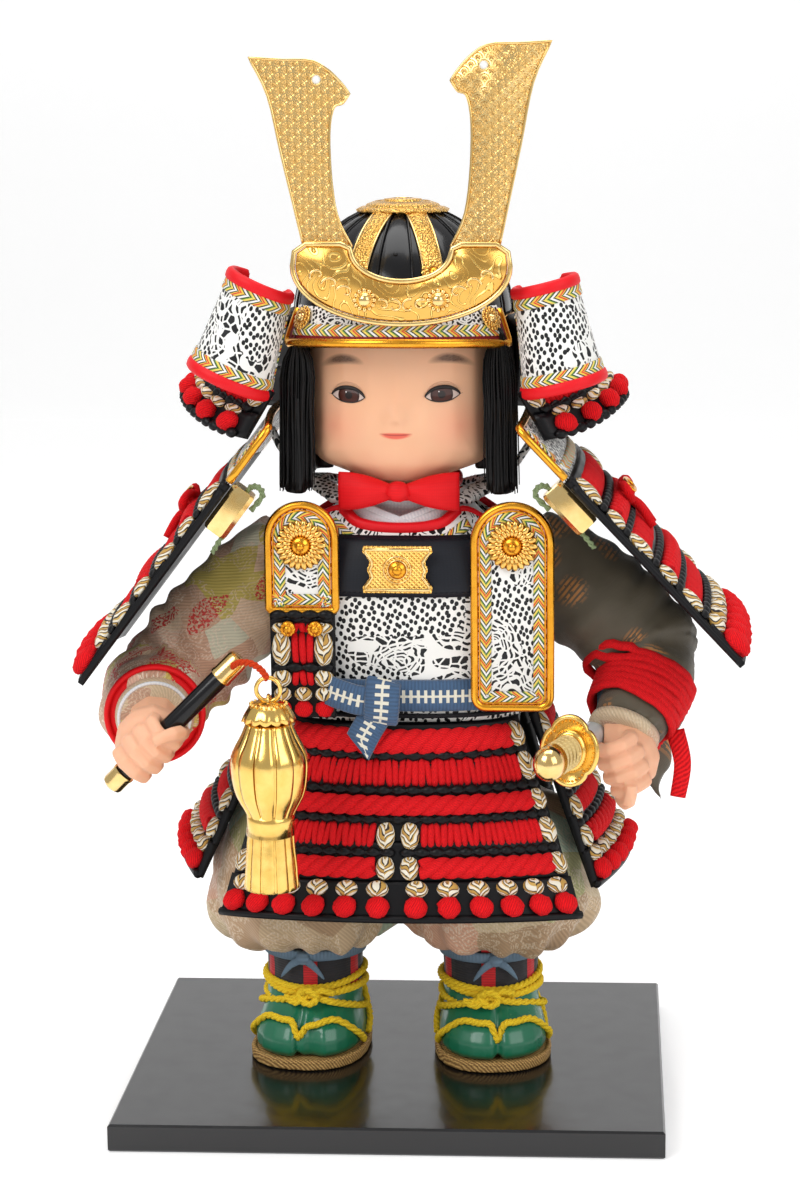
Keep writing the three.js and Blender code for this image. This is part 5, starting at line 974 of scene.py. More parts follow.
class Lacing:
    """The black plates, red cords, mottled knots and tufts of one laced panel."""

    def __init__(self, surface, split_from=2.0, side_knots=True):
        self.surface = surface
        self.split_from = split_from
        self.side_knots = side_knots
        self.plates, self.cords, self.knots, self.tufts = Build(), Build(), Build(), Build()

    def spans(self, v):
        edge = (2.1 * SIDE_KNOT if self.side_knots else 0.8) / self.surface.width(v)
        if v < self.split_from:
            return [(edge, 1 - edge)]
        return [(edge, 0.5 - edge), (0.5 + edge, 1 - edge)]

    def knot_row(self, v0, v1, wide=SIDE_KNOT):
        """The mottled knots that stand at the ends of a row."""
        middle = (v0 + v1) / 2
        tall = (v1 - v0) * self.surface.length() / 2 * 1.12
        for a, b in self.spans(middle):
            share = wide / self.surface.width(middle)
            for u in (a - share, b + share):
                self.knots.blob(self.surface.frame(u, middle, 1.0), (wide * 0.95, tall, 2.1), (12, 8), 0.05)

    def plate(self, v0, v1, step, thickness, ends=(0.0, 1.0)):
        vs = sorted(set([v0, v1] + [lerp(v0, v1, t) for t in spread(12)]))
        us = [lerp(*ends, t) for t in spread(24)]
        rise = lambda u, v: step * (1 - (v - v0) / (v1 - v0))
        self.plates.sheet(self.surface, us, vs, thickness, rise)

    def beads(self, v, lift=0.8, radius=1.25):
        for a, b in ([(0.012, 0.988)] if v < self.split_from else [(0.012, 0.494), (0.506, 0.988)]):
            count = max(int((b - a) * self.surface.width(v) / BEAD_PITCH), 4)
            frames = on_surface(self.surface, across_places(a, b, v, count * 6), lift)
            halves = []
            for i in range(count * 6 + 1):
                swell = 0.42 + 0.78 * abs(math.sin(math.pi * i / 6)) ** 0.8
                halves.append((radius * swell * 1.2, radius * swell))
            self.plates.sweep(frames, halves, 8)

    def cord_row(self, v0, v1, lift=1.0):
        tall = (v1 - v0) * self.surface.length()
        for a, b in self.spans((v0 + v1) / 2):
            count = max(int((b - a) * self.surface.width((v0 + v1) / 2) / CORD_PITCH), 3)
            for k in range(count):
                u = lerp(a, b, (k + 0.5) / count)
                sway = dice.uniform(-0.5, 0.5) / self.surface.width(v0)
                swell = dice.uniform(0.92, 1.12)
                frames, halves = [], []
                for t in spread(7):
                    arch = math.sin(math.pi * t) ** 0.4
                    point, across, _, normal = self.surface.frame(u + sway * (t - 0.5) * 2, lerp(v0, v1, t),
                                                                  lift * arch * swell - 0.35)
                    frames.append((point, across, normal))
                    thin = 0.78 + 0.26 * arch
                    halves.append((CORD_PITCH * 0.58 * thin * swell, 1.15 * thin * swell))
                self.cords.sweep(frames, halves, 7, uv_scale=2.4)
        if tall > 0:
            self.ends(v0, v1)

    def ends(self, v0, v1):
        if self.side_knots:
            self.knot_row(v0, v1)

    def twist_row(self, v0, v1):
        middle = (v0 + v1) / 2
        half = (v1 - v0) * self.surface.length() / 2
        for a, b in self.spans(middle):
            width = (b - a) * self.surface.width(middle)
            steps = max(int(width / 0.7), 12)
            frames = on_surface(self.surface, across_places(a, b, middle, steps), 1.0)
            phase = dice.uniform(0, 1)
            for strand in range(3):
                path, halves = [], []
                for i, (point, across, normal) in enumerate(frames):
                    turn = TURN * (width * i / steps / TWIST_PITCH + strand / 3 + phase)
                    path.append(point + across * (half * 0.5 * math.cos(turn) * MM)
                                + normal * ((0.9 * math.sin(turn) + 0.2) * MM))
                    halves.append((half * 0.56, 1.35))
                tubes = line_frames(path, [f[2] for f in frames])
                self.cords.sweep(tubes, halves, 8, uv_scale=3.2)
        self.ends(v0, v1)

    def knots_row(self, v0, v1, spacing=9.2, wide=3.7):
        middle = (v0 + v1) / 2
        tall = (v1 - v0) * self.surface.length() / 2
        bounds = [(0.02, 0.98)] if middle < self.split_from else [(0.02, 0.49), (0.51, 0.98)]
        for a, b in bounds:
            count = max(round((b - a) * self.surface.width(middle) / spacing), 2)
            for k in range(count):
                u = lerp(a, b, (k + 0.5) / count)
                self.knots.blob(self.surface.frame(u, middle, 0.9), (wide, tall * 1.2, 2.4), (12, 8), 0.05)

    def tuft_row(self, v0, v1, count, radius=None, thick=3.3):
        middle = (v0 + v1) / 2
        tall = radius or (v1 - v0) * self.surface.length() / 2
        bounds = [(0.01, 0.99)] if middle < self.split_from else [(0.01, 0.495), (0.505, 0.99)]
        for a, b in bounds:
            for k in range(count):
                u = lerp(a, b, (k + 0.5) / count)
                wide = min((b - a) * self.surface.width(middle) / count / 2 * 1.04, tall * 1.3)
                self.tufts.blob(self.surface.frame(u, middle, thick / 2), (wide, tall * 1.22, thick),
                                (16, 10), 0.14,
                                dice.uniform(0, 50))

    def make(self, name, body, node):
        self.plates.make(name + "_plates", body, looks["lame"],
                         "helmet_lacquer" if "neck" in name else "black_cloth", [node])
        self.cords.make(name + "_cords", body, looks["red"], "red_lacing")
        if self.knots.faces:
            self.knots.make(name + "_knots", body, looks["mottled"], "braid")
        if self.tufts.faces:
            self.tufts.make(name + "_tufts", body, looks["wool"], "red_lacing")


SKIRT_ROWS = [
    ("twist", 0.02, 0.15), ("lame", 0.158, 0.158), ("cords", 0.17, 0.315), ("lame", 0.335, 0.335),
    ("twist", 0.36, 0.465), ("lame", 0.482, 0.482), ("cords", 0.50, 0.63), ("lame", 0.652, 0.652),
    ("twist", 0.675, 0.785), ("knots", 0.80, 0.875), ("tufts", 0.882, 0.975),
]


def lace_rows(lacing, rows, tufts):
    for kind, v0, v1 in rows:
        if kind == "twist":
            lacing.twist_row(v0, v1)
        elif kind == "cords":
            lacing.cord_row(v0, v1)
        elif kind == "lame":
            lacing.beads(v0)
        elif kind == "knots":
            lacing.knots_row(v0, v1)
        else:
            lacing.tuft_row(v0, v1, tufts)


def skirt_surface(sign, top_wide, hem_wide, top_deep, hem_deep):
    def place(u, v):
        angle = sign * math.radians((2 * u - 1) * lerp(54, 52, v))
        away = lerp(top_deep, hem_deep, v) * math.cos(angle) ** lerp(1, 0.75, v)
        x = lerp(top_wide, hem_wide, v) * math.sin(angle) * sign
        return on_doll(x, TRUNK_SET_BACK - sign * away, SKIRT_TOP - v * (61 + 3 * (2 * u - 1) ** 2))

    return Surface(place, on_doll(0, TRUNK_SET_BACK, 100))


def side_skirt_surface(sign, slope):
    tilt = math.radians(slope)

    def place(u, v):
        x = sign * (43.6 + v * (62 * math.sin(tilt) + 12 * u + 3 * math.sin(math.pi * u)))
        return on_doll(x, lerp(lerp(-9, 20, u), lerp(-17, 42, u), v), SKIRT_TOP - 62 * v * math.cos(tilt))

    return Surface(place, on_doll(0, 10, 100))


def make_skirts():
    panels = (
        ("front_skirt", skirt_surface(1, 46.5, 76, 33.6, 52), 0.49, 6),
        ("back_skirt", skirt_surface(-1, 46.5, 70, 33.6, 57), 0.49, 6),
        ("right_skirt", side_skirt_surface(-1, 25), 2.0, 6),
        ("left_skirt", side_skirt_surface(1, 20), 2.0, 6),
    )
    for name, surface, split, tufts in panels:
        lacing = Lacing(surface, split)
        for row in range(5):
            lacing.plate(row / 5, (row + 1) / 5, 1.0, 2.2)
        lace_rows(lacing, SKIRT_ROWS, tufts)
        hem = on_surface(surface, across_places(0.0, 1.0, 0.99, 40), 0.0)
        lacing.plates.sweep(hem, [(1.4, 1.5)] * len(hem), 8)
        lacing.make(name, name, name + "_panel")


GUARD_ROWS = [
    ("cords", 0.235, 0.335), ("lame", 0.352, 0.352), ("twist", 0.37, 0.44), ("lame", 0.455, 0.455),
    ("cords", 0.47, 0.565),
    ("lame", 0.585, 0.585), ("twist", 0.605, 0.675), ("lame", 0.69, 0.69), ("cords", 0.705, 0.79),
    ("lame", 0.806, 0.806),
    ("knots", 0.825, 0.885), ("tufts", 0.90, 0.985),
]
GUARD_LENGTH = 104
GUARD_PLATE = 22


def guard_surface(sign, slope):
    tilt = math.radians(slope)
    down = Vector((sign * math.cos(tilt), 0, -math.sin(tilt)))
    out = Vector((sign * math.sin(tilt), 0, math.cos(tilt)))

    def place(u, v):
        start = on_doll(sign * 40, -43 + 76 * u, 232.5)
        return start + down * (GUARD_LENGTH * v * MM) + out * (3 * (1 - (2 * u - 1) ** 2) * MM)

    return Surface(place, on_doll(0, 0, 150)), down, out


def make_shoulder_guards():
    for side, sign, slope in (("right", -1, 53), ("left", 1, 46.5)):
        body = side + "_shoulder_guard"
        surface, down, out = guard_surface(sign, slope)
        lacing = Lacing(surface)
        first = (GUARD_PLATE + 0.3) / GUARD_LENGTH
        for row in range(5):
            lacing.plate(lerp(first, 1, row / 5), lerp(first, 1, (row + 1) / 5), 1.1, 2.0)
        lace_rows(lacing, GUARD_ROWS, 8)
        for u in (0.0, 1.0):
            edge = on_surface(surface, [(u, v) for v in [lerp(0.24, 0.99, t) for t in spread(30)]], -0.6)
            lacing.plates.sweep(edge, [(0.9, 1.2)] * len(edge), 8)
        lacing.make(body, body, side + "_guard_lames")
        top_end = GUARD_PLATE / GUARD_LENGTH
        plate = Build()
        plate.sheet(surface, spread(24), [top_end * t for t in spread(5)], 2.0,
                    uv=lambda u, v: (u * 76, v * GUARD_LENGTH))
        plate.make(side + "_guard_leather", body, looks["leather"], "printed_leather",
                   [side + "_guard_top_plate"])
        braid = Build()
        inset = 0.045
        border = across_places(inset, 1 - inset, top_end * 0.86, 24)
        ribbon(braid, on_surface(surface, border, 0.1), 1.9, 0.7)
        for u in (inset, 1 - inset):
            ribbon(braid, on_surface(surface, [(u, top_end * t) for t in (0.1, 0.3, 0.5, 0.7)], 0.1), 1.9,
                   0.7)
        braid.make(side + "_guard_braid", body, looks["braid"], "braid")
        rim = Build()
        ring = [(0.0, top_end * 0.97)] + [(0.0, top_end * t) for t in (0.8, 0.6, 0.4, 0.2)]
        ring += [(0.006, 0.008)] + across_places(0.02, 0.98, 0.0, 22) + [(0.994, 0.008)]
        ring += [(1.0, top_end * t) for t in (0.2, 0.4, 0.6, 0.8, 0.97)]
        frames = on_surface(surface, ring, -0.7)
        rim.sweep(frames, [(1.35, 1.35)] * len(frames), 10)
        rim.make(side + "_guard_rim", body, looks["gilt_deep"], "gilt")
        make_guard_trim(side, body, surface, down, out)


def make_guard_trim(side, body, surface, down, out):
    """The gold box clip with its green cord, and the bow on the outer face."""
    corner = surface.point(0.0, (GUARD_PLATE + 0.3) / GUARD_LENGTH) - out * (2.2 * MM)
    back = Vector((0, 1, 0))
    clip = Build()
    rows = []
    for along, swell in ((-1.5, 0.88), (-0.5, 1.0), (14.5, 1.0), (15.5, 0.88)):
        ring = []
        for k in range(16):
            x, z = rounded_point(TURN * (k + 0.5) / 16, 3.9 * swell, 4.1 * swell, 7)
            ring.append(corner + down * (along * MM) + back * ((3.9 + x) * MM) - out * ((4.1 + z) * MM))
        rows.append(ring)
    first = clip.grid(rows, wrap=True)
    clip.cap(range(first, first + 16), flip=True)
    clip.cap(range(first + 48, first + 64))
    crease(clip.make(side + "_clip_box", body, looks["gilt_pale"], "gilt", [side + "_guard_clip"]))
    loop = Build()
    middle = corner + back * (4 * MM) - out * (5 * MM)
    path = [middle + down * (1 * MM), middle - down * (3 * MM),
            middle - down * (4.6 * MM) - out * (2 * MM) - back * (1 * MM),
            middle - down * (3 * MM) - out * (4.6 * MM), middle + down * (3 * MM) - out * (4.4 * MM)]
    loop.twisted(smooth_line(path, 20), 1.1, 2, 4.0, back)
    tail = [middle + down * (14 * MM) - out * (2 * MM), middle + down * (18 * MM) - out * (2.2 * MM),
            middle + down * (22 * MM) - out * (2.6 * MM) + back * (1 * MM)]
    loop.twisted(smooth_line(tail, 12), 1.0, 2, 4.0, back)
    loop.make(side + "_guard_cord", body, looks["olive_cord"], "olive_brocade")
    bow = Build()
    point, across, fall, normal = surface.frame(0.5, 0.395, 1.6)
    for turn in (-1, 1):
        lobe = [point, point + across * (turn * 5 * MM) + normal * (3.2 * MM) - fall * (2 * MM),
                point + across * (turn * 11 * MM) + normal * (3.6 * MM),
                point + across * (turn * 7 * MM) + normal * (2 * MM) + fall * (3 * MM), point]
        bow.tube(smooth_line(lobe, 18), 1.5, 8, normal)
        tail = [point, point + across * (turn * 3 * MM) + fall * (7 * MM) + normal * (2 * MM),
                point + across * (turn * 4.5 * MM) + fall * (15 * MM) + normal * (1 * MM)]
        bow.tube(smooth_line(tail, 10), 1.4, 8, normal)
    bow.blob((point + normal * (2.2 * MM), across, fall, normal), (3.0, 3.0, 2.4), (10, 8), 0.08)
    bow.make(side + "_guard_bow", body, looks["wool"], "red_lacing")
    pin = Build()
    ring = [point + normal * (4.4 * MM) + across * (5.4 * math.cos(TURN * t) * MM)
            + fall * (2.4 * math.sin(TURN * t) * MM)
            for t in spread(24)[:-1]]
    frames = line_frames(ring, normal, closed=True)
    pin.sweep(frames, [(0.75, 0.75)] * 24, 8, closed=True)
    pin.make(side + "_guard_ring", body, looks["gilt_deep"], "gilt")


make_skirts()
make_shoulder_guards()


# Soft copies of the model's solids

def node_mesh(node):
    """The model's solid as points in metres and its faces."""
    source = frame["nodes"][node].data
    return [v.co.copy() for v in source.vertices], [tuple(p.vertices) for p in source.polygons]


def soft_copy(name, node, body, look, voxel=1.0, smooth=6, place_uv=None, move=None, keep=()):
    """A finely remeshed, smoothed copy of the model's solid that replaces it."""
    points, faces = node_mesh(node)
    data = bpy.data.meshes.new(name)
    data.from_pydata([tuple(p) for p in points], [], faces)
    obj = bpy.data.objects.new(name, data)
    bpy.context.scene.collection.objects.link(obj)
    work = bmesh.new()
    work.from_mesh(data)
    bmesh.ops.remove_doubles(work, verts=work.verts, dist=1e-6)
    bmesh.ops.recalc_face_normals(work, faces=work.faces)
    work.to_mesh(data)
    work.free()
    remesh = obj.modifiers.new("remesh", "REMESH")
    remesh.mode = "VOXEL"
    remesh.voxel_size = voxel * MM
    even = obj.modifiers.new("even", "SMOOTH")
    even.factor = 0.5
    even.iterations = smooth
    settle(obj)
    finish_soft(obj, place_uv, move)
    obj.data.materials.clear()
    obj.data.materials.append(look)
    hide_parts(node, *keep)
    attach(obj, body)
    return obj


def settle(obj):
    """Turns an object with its modifiers into a plain mesh."""
    graph = bpy.context.evaluated_depsgraph_get()
    made = bpy.data.meshes.new_from_object(obj.evaluated_get(graph))
    obj.modifiers.clear()
    obj.data = made


def finish_soft(obj, place_uv, move):
    data = obj.data
    if move:
        normals = [v.normal.copy() for v in data.vertices]
        for vertex, normal in zip(data.vertices, normals):
            vertex.co += move(vertex.co / MM, normal) * MM
        data.update()
    while data.uv_layers:
        data.uv_layers.remove(data.uv_layers[0])
    layer = data.uv_layers.new(name="UVMap")
    if place_uv:
        places = [place_uv(v.co / MM) for v in data.vertices]
        for loop in data.loops:
            layer.data[loop.index].uv = places[loop.vertex_index]
    data.polygons.foreach_set("use_smooth", [True] * len(data.polygons))


def bell(x, size):
    return math.exp(-(x / size) ** 2)


# Head

EYES = ((-13.3, 240.2, -1), (16.9, 240.6, 1))
EYE_HALF = 5.4
BROWS = ((-15.4, 251.7, -1), (19.7, 252.2, 1))
NOSE = (1.6, 233.4)
MOUTH = (2.0, 227.9)
MOUTH_HALF = 5.6
JAW_SWELL = 6.2


def shape_face(point, normal):
    """Cheeks, nose, lips, eye hollows and chin of a round child's face."""
    x, z = point.x, point.z
    jaw = JAW_SWELL * bell(z - 218.5, 8) * min(abs(x - TRUNK_OFFSET) / 18,
                                               1) ** 2 * min(max((16 - point.y) / 12, 0), 1)
    widened = Vector((math.copysign(jaw, x - TRUNK_OFFSET), 0, 0))
    if point.y > -4:
        return widened
    swell = 0.0
    for side in (-1, 1):
        swell += 1.3 * bell(x - 1.5 - side * 16.5, 9) * bell(z - 231, 9)
        swell -= 0.75 * bell(x - 1.5 - side * 15, 6.5) * bell(z - 243, 5)
        swell += 0.16 * bell(x - NOSE[0] - side * 2.6, 1.6) * bell(z - NOSE[1] + 0.4, 1.5)
    swell += 0.85 * bell(x - NOSE[0], 3.4) * bell(z - NOSE[1], 3.2)
    swell += 0.2 * bell(x - NOSE[0], 3.6) * bell(z - NOSE[1] - 6, 5)
    swell += 0.8 * bell(x - MOUTH[0], 6) * bell(z - MOUTH[1], 3.4)
    swell -= 0.4 * bell(x - MOUTH[0], 4.2) * bell(z - mouth_line(x), 0.5)
    swell -= 0.5 * bell(x - MOUTH[0], 1.2) * bell(z - MOUTH[1] - 3.2, 1.2)
    swell += 0.7 * bell(x - 1.4, 7) * bell(z - 219, 4.5)
    return widened + normal * swell


def mouth_line(x):
    return MOUTH[1] + 0.05 * abs(x - MOUTH[0]) ** 1.5 * 0.55


def face_look():
    """Skin with rosy cheeks, painted lips and soft brows, all placed in the model's frame."""
    tone = (0.80, 0.43, 0.25)
    n = Nodes("face_skin", 0.46, 0.0, tone, Subsurface_Weight=0.12, Subsurface_Scale=0.003,
              Specular_IOR_Level=0.3)
    n.set("Subsurface Radius", (1.0, 0.35, 0.2))
    x, _, z = n.split(n.place())

    def spot(cx, cz, wide, tall, slope=0.0):
        dx = n.sub(x, cx)
        dz = n.sub(n.sub(z, cz), n.mul(dx, slope))
        a = n.div(dx, wide)
        b = n.div(dz, tall)
        return n.far(a, b)

    cloud = n.noise(n.place(), 0.05, 2)
    base = n.mix(cloud, tone, (0.84, 0.49, 0.31))
    for cheek in CHEEKS_X:
        blush = n.ramp(spot(cheek, CHEEK_Z, 12.0, 10.0), [(0.0, 1.0), (0.5, 0.45), (1.0, 0.0)])
        base = n.mix(n.mul(blush, 0.5), base, (0.80, 0.25, 0.16))
    hairs = n.noise(n.scale(n.place(), (0.25, 1.0, 1.6)), 2.2, 2)
    for bx, bz, side in BROWS:
        arch = n.mul(n.math("POWER", n.math("ABSOLUTE", n.sub(x, bx - side * 1.5)), 2.0), 0.035)
        lowered = n.add(z, arch)
        dx = n.div(n.sub(x, bx), 7.6)
        dz = n.div(n.sub(lowered, bz + 0.4), 1.9)
        far = n.far(dx, dz)
        soft = n.ramp(far, [(0.4, 1.0), (1.0, 0.0)])
        base = n.mix(n.mul(soft, n.math("MULTIPLY_ADD", hairs, 0.5, 0.65)), base, (0.12, 0.07, 0.05))
    arch = n.mul(n.math("POWER", n.math("ABSOLUTE", n.sub(x, MOUTH[0])), 2.0), 0.018)
    lip_z = n.sub(z, arch)
    dx = n.div(n.sub(x, MOUTH[0]), MOUTH_HALF)
    dz = n.div(n.sub(lip_z, MOUTH[1] - 0.25), 1.25)
    far = n.far(dx, dz)
    lips = n.ramp(far, [(0.62, 1.0), (1.0, 0.0)])
    base = n.mix(n.mul(lips, 0.85), base, (0.74, 0.085, 0.06))
    seam = n.ramp(n.math("ABSOLUTE", n.sub(lip_z, MOUTH[1])), [(0.0, 1.0), (0.35, 0.0)])
    base = n.mix(n.mul(n.mul(seam, lips), 0.75), base, (0.26, 0.02, 0.02))
    n.set("Base Color", base)
    n.bump(n.noise(n.place(), 1.4, 3), 0.02, 0.1)
    return n.look


def eye_look(index, cx, cz):
    """White, brown iris and pupil under a wet coat, with a small painted glint."""
    n = Nodes("eye_%d" % index, 0.4, 0.0, (0.8, 0.8, 0.8), Coat_Weight=0.22, Coat_Roughness=0.03,
              Specular_IOR_Level=0.25)
    x, _, z = n.split(n.place())
    dx, dz = n.sub(x, cx), n.sub(z, cz)
    far = n.far(dx, dz)
    rays = n.noise(n.combine(n.mul(n.math("ARCTAN2", dz, dx), 5.0), far), 2.0, 2)
    iris = n.mix(rays, (0.026, 0.006, 0.004), (0.085, 0.019, 0.010))
    white = n.mix(n.ramp(far, [(0.35, 0.0), (1.0, 1.0)]), (0.70, 0.66, 0.63), (0.60, 0.47, 0.42))
    inside = n.math("LESS_THAN", far, 3.55)
    ring = n.mul(inside, n.math("GREATER_THAN", far, 2.9))
    across, above = n.add(dx, 0.9), n.sub(dz, 1.0)
    # glint: a painted highlight, a small pale spot up and to one side of the pupil
    glint = n.math("LESS_THAN", n.add(n.mul(across, across), n.mul(above, above)), 0.04)
    pupil = n.math("LESS_THAN", far, 1.2)
    base = n.mix(inside, white, iris)
    base = n.mix(n.mul(ring, 0.7), base, (0.02, 0.006, 0.004))
    base = n.mix(pupil, base, (0.010, 0.004, 0.003))
    base = n.mix(glint, base, (0.75, 0.72, 0.70))
    n.set("Base Color", base)
    n.bump(rays, 0.04, 0.05)
    return n.look


def face_place(tree, x, z, lift):
    """The point of the face in front of (x, z) millimetres, lifted forward."""
    hit, normal, _, _ = tree.ray_cast(at(x, -80, z), Vector((0, 1, 0)))
    return hit + (normal * 0.5 + FORWARD * 0.5).normalized() * (lift * MM)


def lid_height(s):
    """Upper and lower lid over the eye's middle at s from -1 (inner) to 1 (outer)."""
    upper = 2.75 * (1 - abs(s) ** 2.3) ** 0.8 + 0.25 * s
    lower = -1.95 * (1 - abs(s) ** 2.2) ** 0.9 + 0.25 * s
    return upper, lower


def even_nose(head):
    """Takes the model's plain nose away, so that a softer one can rise in its place."""
    work = bmesh.new()
    work.from_mesh(head.data)
    near = []
    for vertex in work.verts:
        x, y, z = vertex.co / MM
        if y < -15 and math.hypot(x - TRUNK_OFFSET, z - NOSE[1]) < 6:
            near.append(vertex)
    for _ in range(80):
        bmesh.ops.smooth_vert(work, verts=near, factor=0.5, use_axis_x=True, use_axis_y=True, use_axis_z=True)
    work.to_mesh(head.data)
    work.free()


def make_head():
    looks["face"] = face_look()
    head = soft_copy("face", "head", "head", looks["face"], 0.8, 10)
    even_nose(head)
    finish_soft(head, None, shape_face)
    tree = BVHTree.FromPolygons([v.co for v in head.data.vertices],
                                [tuple(p.vertices) for p in head.data.polygons])
    lids = Build()
    for index, (cx, cz, side) in enumerate(EYES):
        ball = Build()
        rows = []
        for t in spread(8):
            row = []
            for s in [2 * k / 20 - 1 for k in range(21)]:
                upper, lower = lid_height(s)
                z = lerp(upper, lower, t)
                dome = 0.5 * math.sqrt(max(1 - s * s, 0)) * math.sin(math.pi * lerp(0.1, 0.9, t))
                row.append(face_place(tree, cx + side * s * EYE_HALF, cz + z, 0.12 + dome))
            rows.append(row)
        ball.grid(rows)
        ball.make("eye_%d" % index, "head", eye_look(index, cx - side * 0.15, cz + 0.3), "skin", weld=False)
        for half, radius, lift in ((0, 0.55, 0.42), (1, 0.2, 0.2)):
            line = []
            for k in range(25):
                s = 2 * k / 24 - 1
                line.append(face_place(tree, cx + side * s * (EYE_HALF + 0.1), cz + lid_height(s)[half],
                                       lift))
            lids.tube(line, (lambda t: radius * (0.45 + 0.75 * math.sin(math.pi * t) ** 0.5)), 6, FORWARD)
        for k in range(9):
            s = lerp(-0.2, 0.98, k / 8)
            root = face_place(tree, cx + side * s * EYE_HALF, cz + lid_height(s)[0], 0.6)
            tip = root + Vector((side * (0.5 + 0.7 * s), -0.9, 0.35)) * MM
            lids.tube([root, (root + tip) / 2 - UP * (0.1 * MM), tip], (lambda t: 0.1 * (1.05 - t)), 4, UP)
        fold = []
        for k in range(17):
            s = 2 * k / 16 - 1
            fold.append(face_place(tree, cx + side * s * EYE_HALF * 0.92, cz + lid_height(s)[0] + 1.5, 0.04))
        crease_line = Build()
        crease_line.tube(fold, (lambda t: 0.1 + 0.14 * math.sin(math.pi * t)), 5, FORWARD)
        crease_line.make("eye_fold_%d" % index, "head", looks["fold"], "skin")
    lids.make("eyelashes", "head", looks["lash"], "black_hair")


looks["fold"] = skin("skin_fold")
looks["fold"].node_tree.nodes["Principled BSDF"].inputs["Roughness"].default_value = 0.6
looks["lash"] = lacquer("lash", (0.012, 0.008, 0.007), 0.5, 0.0)


# Hair

HAIR_FRINGE = 259.5
LOCK_SHIFT = 31.6


def strand(build, points, radius=0.34, steps=9):
    line = smooth_line(points, steps)
    build.tube(line, (lambda t: radius * (1 - 0.45 * t)), 4, FORWARD)


def make_hair():
    def narrowed(point, normal):
        """The front locks a little slimmer on their inner side."""
        away = abs(point.x - TRUNK_OFFSET)
        if point.y > -12 or away > LOCK_SHIFT + 2 or point.z > 262:
            return Vector()
        share = min(max((LOCK_SHIFT + 2 - away) / 8, 0), 1) * min((262 - point.z) / 8,
                                                                  1) * min((-12 - point.y) / 4, 1)
        return Vector((math.copysign(3.0 * share, point.x - TRUNK_OFFSET), 0, 0))

    soft_copy("hair_cap", "hair", "head", looks["hair"], 1.1, 5, move=narrowed)
    strands = Build()
    for side in (-1, 1):
        for k in range(150):
            angle = dice.uniform(0, TURN)
            away = math.sqrt(dice.uniform(0.25, 1.0))
            x = side * (LOCK_SHIFT + 1.4) + 5.3 * away * math.cos(angle)
            y = -22 + 5.8 * away * math.sin(angle)
            z_end = 208.8 + dice.uniform(0, 2.6)
            sway = dice.uniform(-0.9, 0.9)
            top = on_doll(side * (32.0 + 1.2 * math.cos(angle)), y * 0.86 - 1, 262)
            strands_points = [top, on_doll(x * 0.985, y * 0.98, 250), on_doll(x + sway * 0.4, y, 236),
                              on_doll(x + sway, y + sway * 0.4, 222),
                              on_doll(x + sway * 0.9 + side * 0.3, y, z_end)]
            strand(strands, strands_points, 0.42)
    for k in range(120):
        share = (k + dice.uniform(-0.4, 0.4)) / 119
        angle = math.radians(lerp(-152, -28, share))
        x = 31.5 * math.cos(angle)
        y = 1.5 + 31 * math.sin(angle)
        edge = HAIR_FRINGE + dice.uniform(-0.8, 1.4) - 1.2 * abs(math.cos(angle))
        points = [on_doll(x * 0.93, 1.5 + (y - 1.5) * 0.93, 268), on_doll(x, 1.5 + (y - 1.5) * 1.02, 263),
                  on_doll(x * 1.005, 1.5 + (y - 1.5) * 1.035, edge)]
        strand(strands, points, 0.5, 6)
    for k in range(230):
        share = (k + dice.uniform(-0.5, 0.5)) / 229
        angle = math.radians(lerp(0, 180, share))
        wide, deep = 36.9, 34.4
        end = dice.uniform(213.5, 218)
        flick = dice.uniform(-0.5, 0.5)
        points = []
        for z, swell in ((262, 1.0), (248, 1.012), (232, 0.985), (221, 0.83), (end, 0.72)):
            points.append(on_doll((wide * swell) * math.cos(angle) + flick,
                                  1.5 + deep * swell * math.sin(angle), z))
        strand(strands, points, 0.5)
    strands.make("hair_strands", "head", looks["hair"], "black_hair")


# Helmet

BOWL_WIDE, BOWL_DEEP, BOWL_RISE, BOWL_RIM = 36, 40, 37, 263
RIBS = 18


def bowl_radius(height):
    return BOWL_WIDE * math.sqrt(max(1 - ((height - BOWL_RIM) / BOWL_RISE) ** 2, 0))


def bowl_point(angle, share, lift=0.0):
    """A place on the bowl, share 0 at its rim and 1 at its top."""
    rise = math.sin(share * math.pi / 2)
    level = math.cos(share * math.pi / 2)
    x = (BOWL_WIDE * level + lift) * math.cos(angle)
    y = TRUNK_SET_BACK + (BOWL_DEEP * level + lift) * math.sin(angle)
    return on_doll(x, y, BOWL_RIM + (BOWL_RISE + lift * rise) * rise)


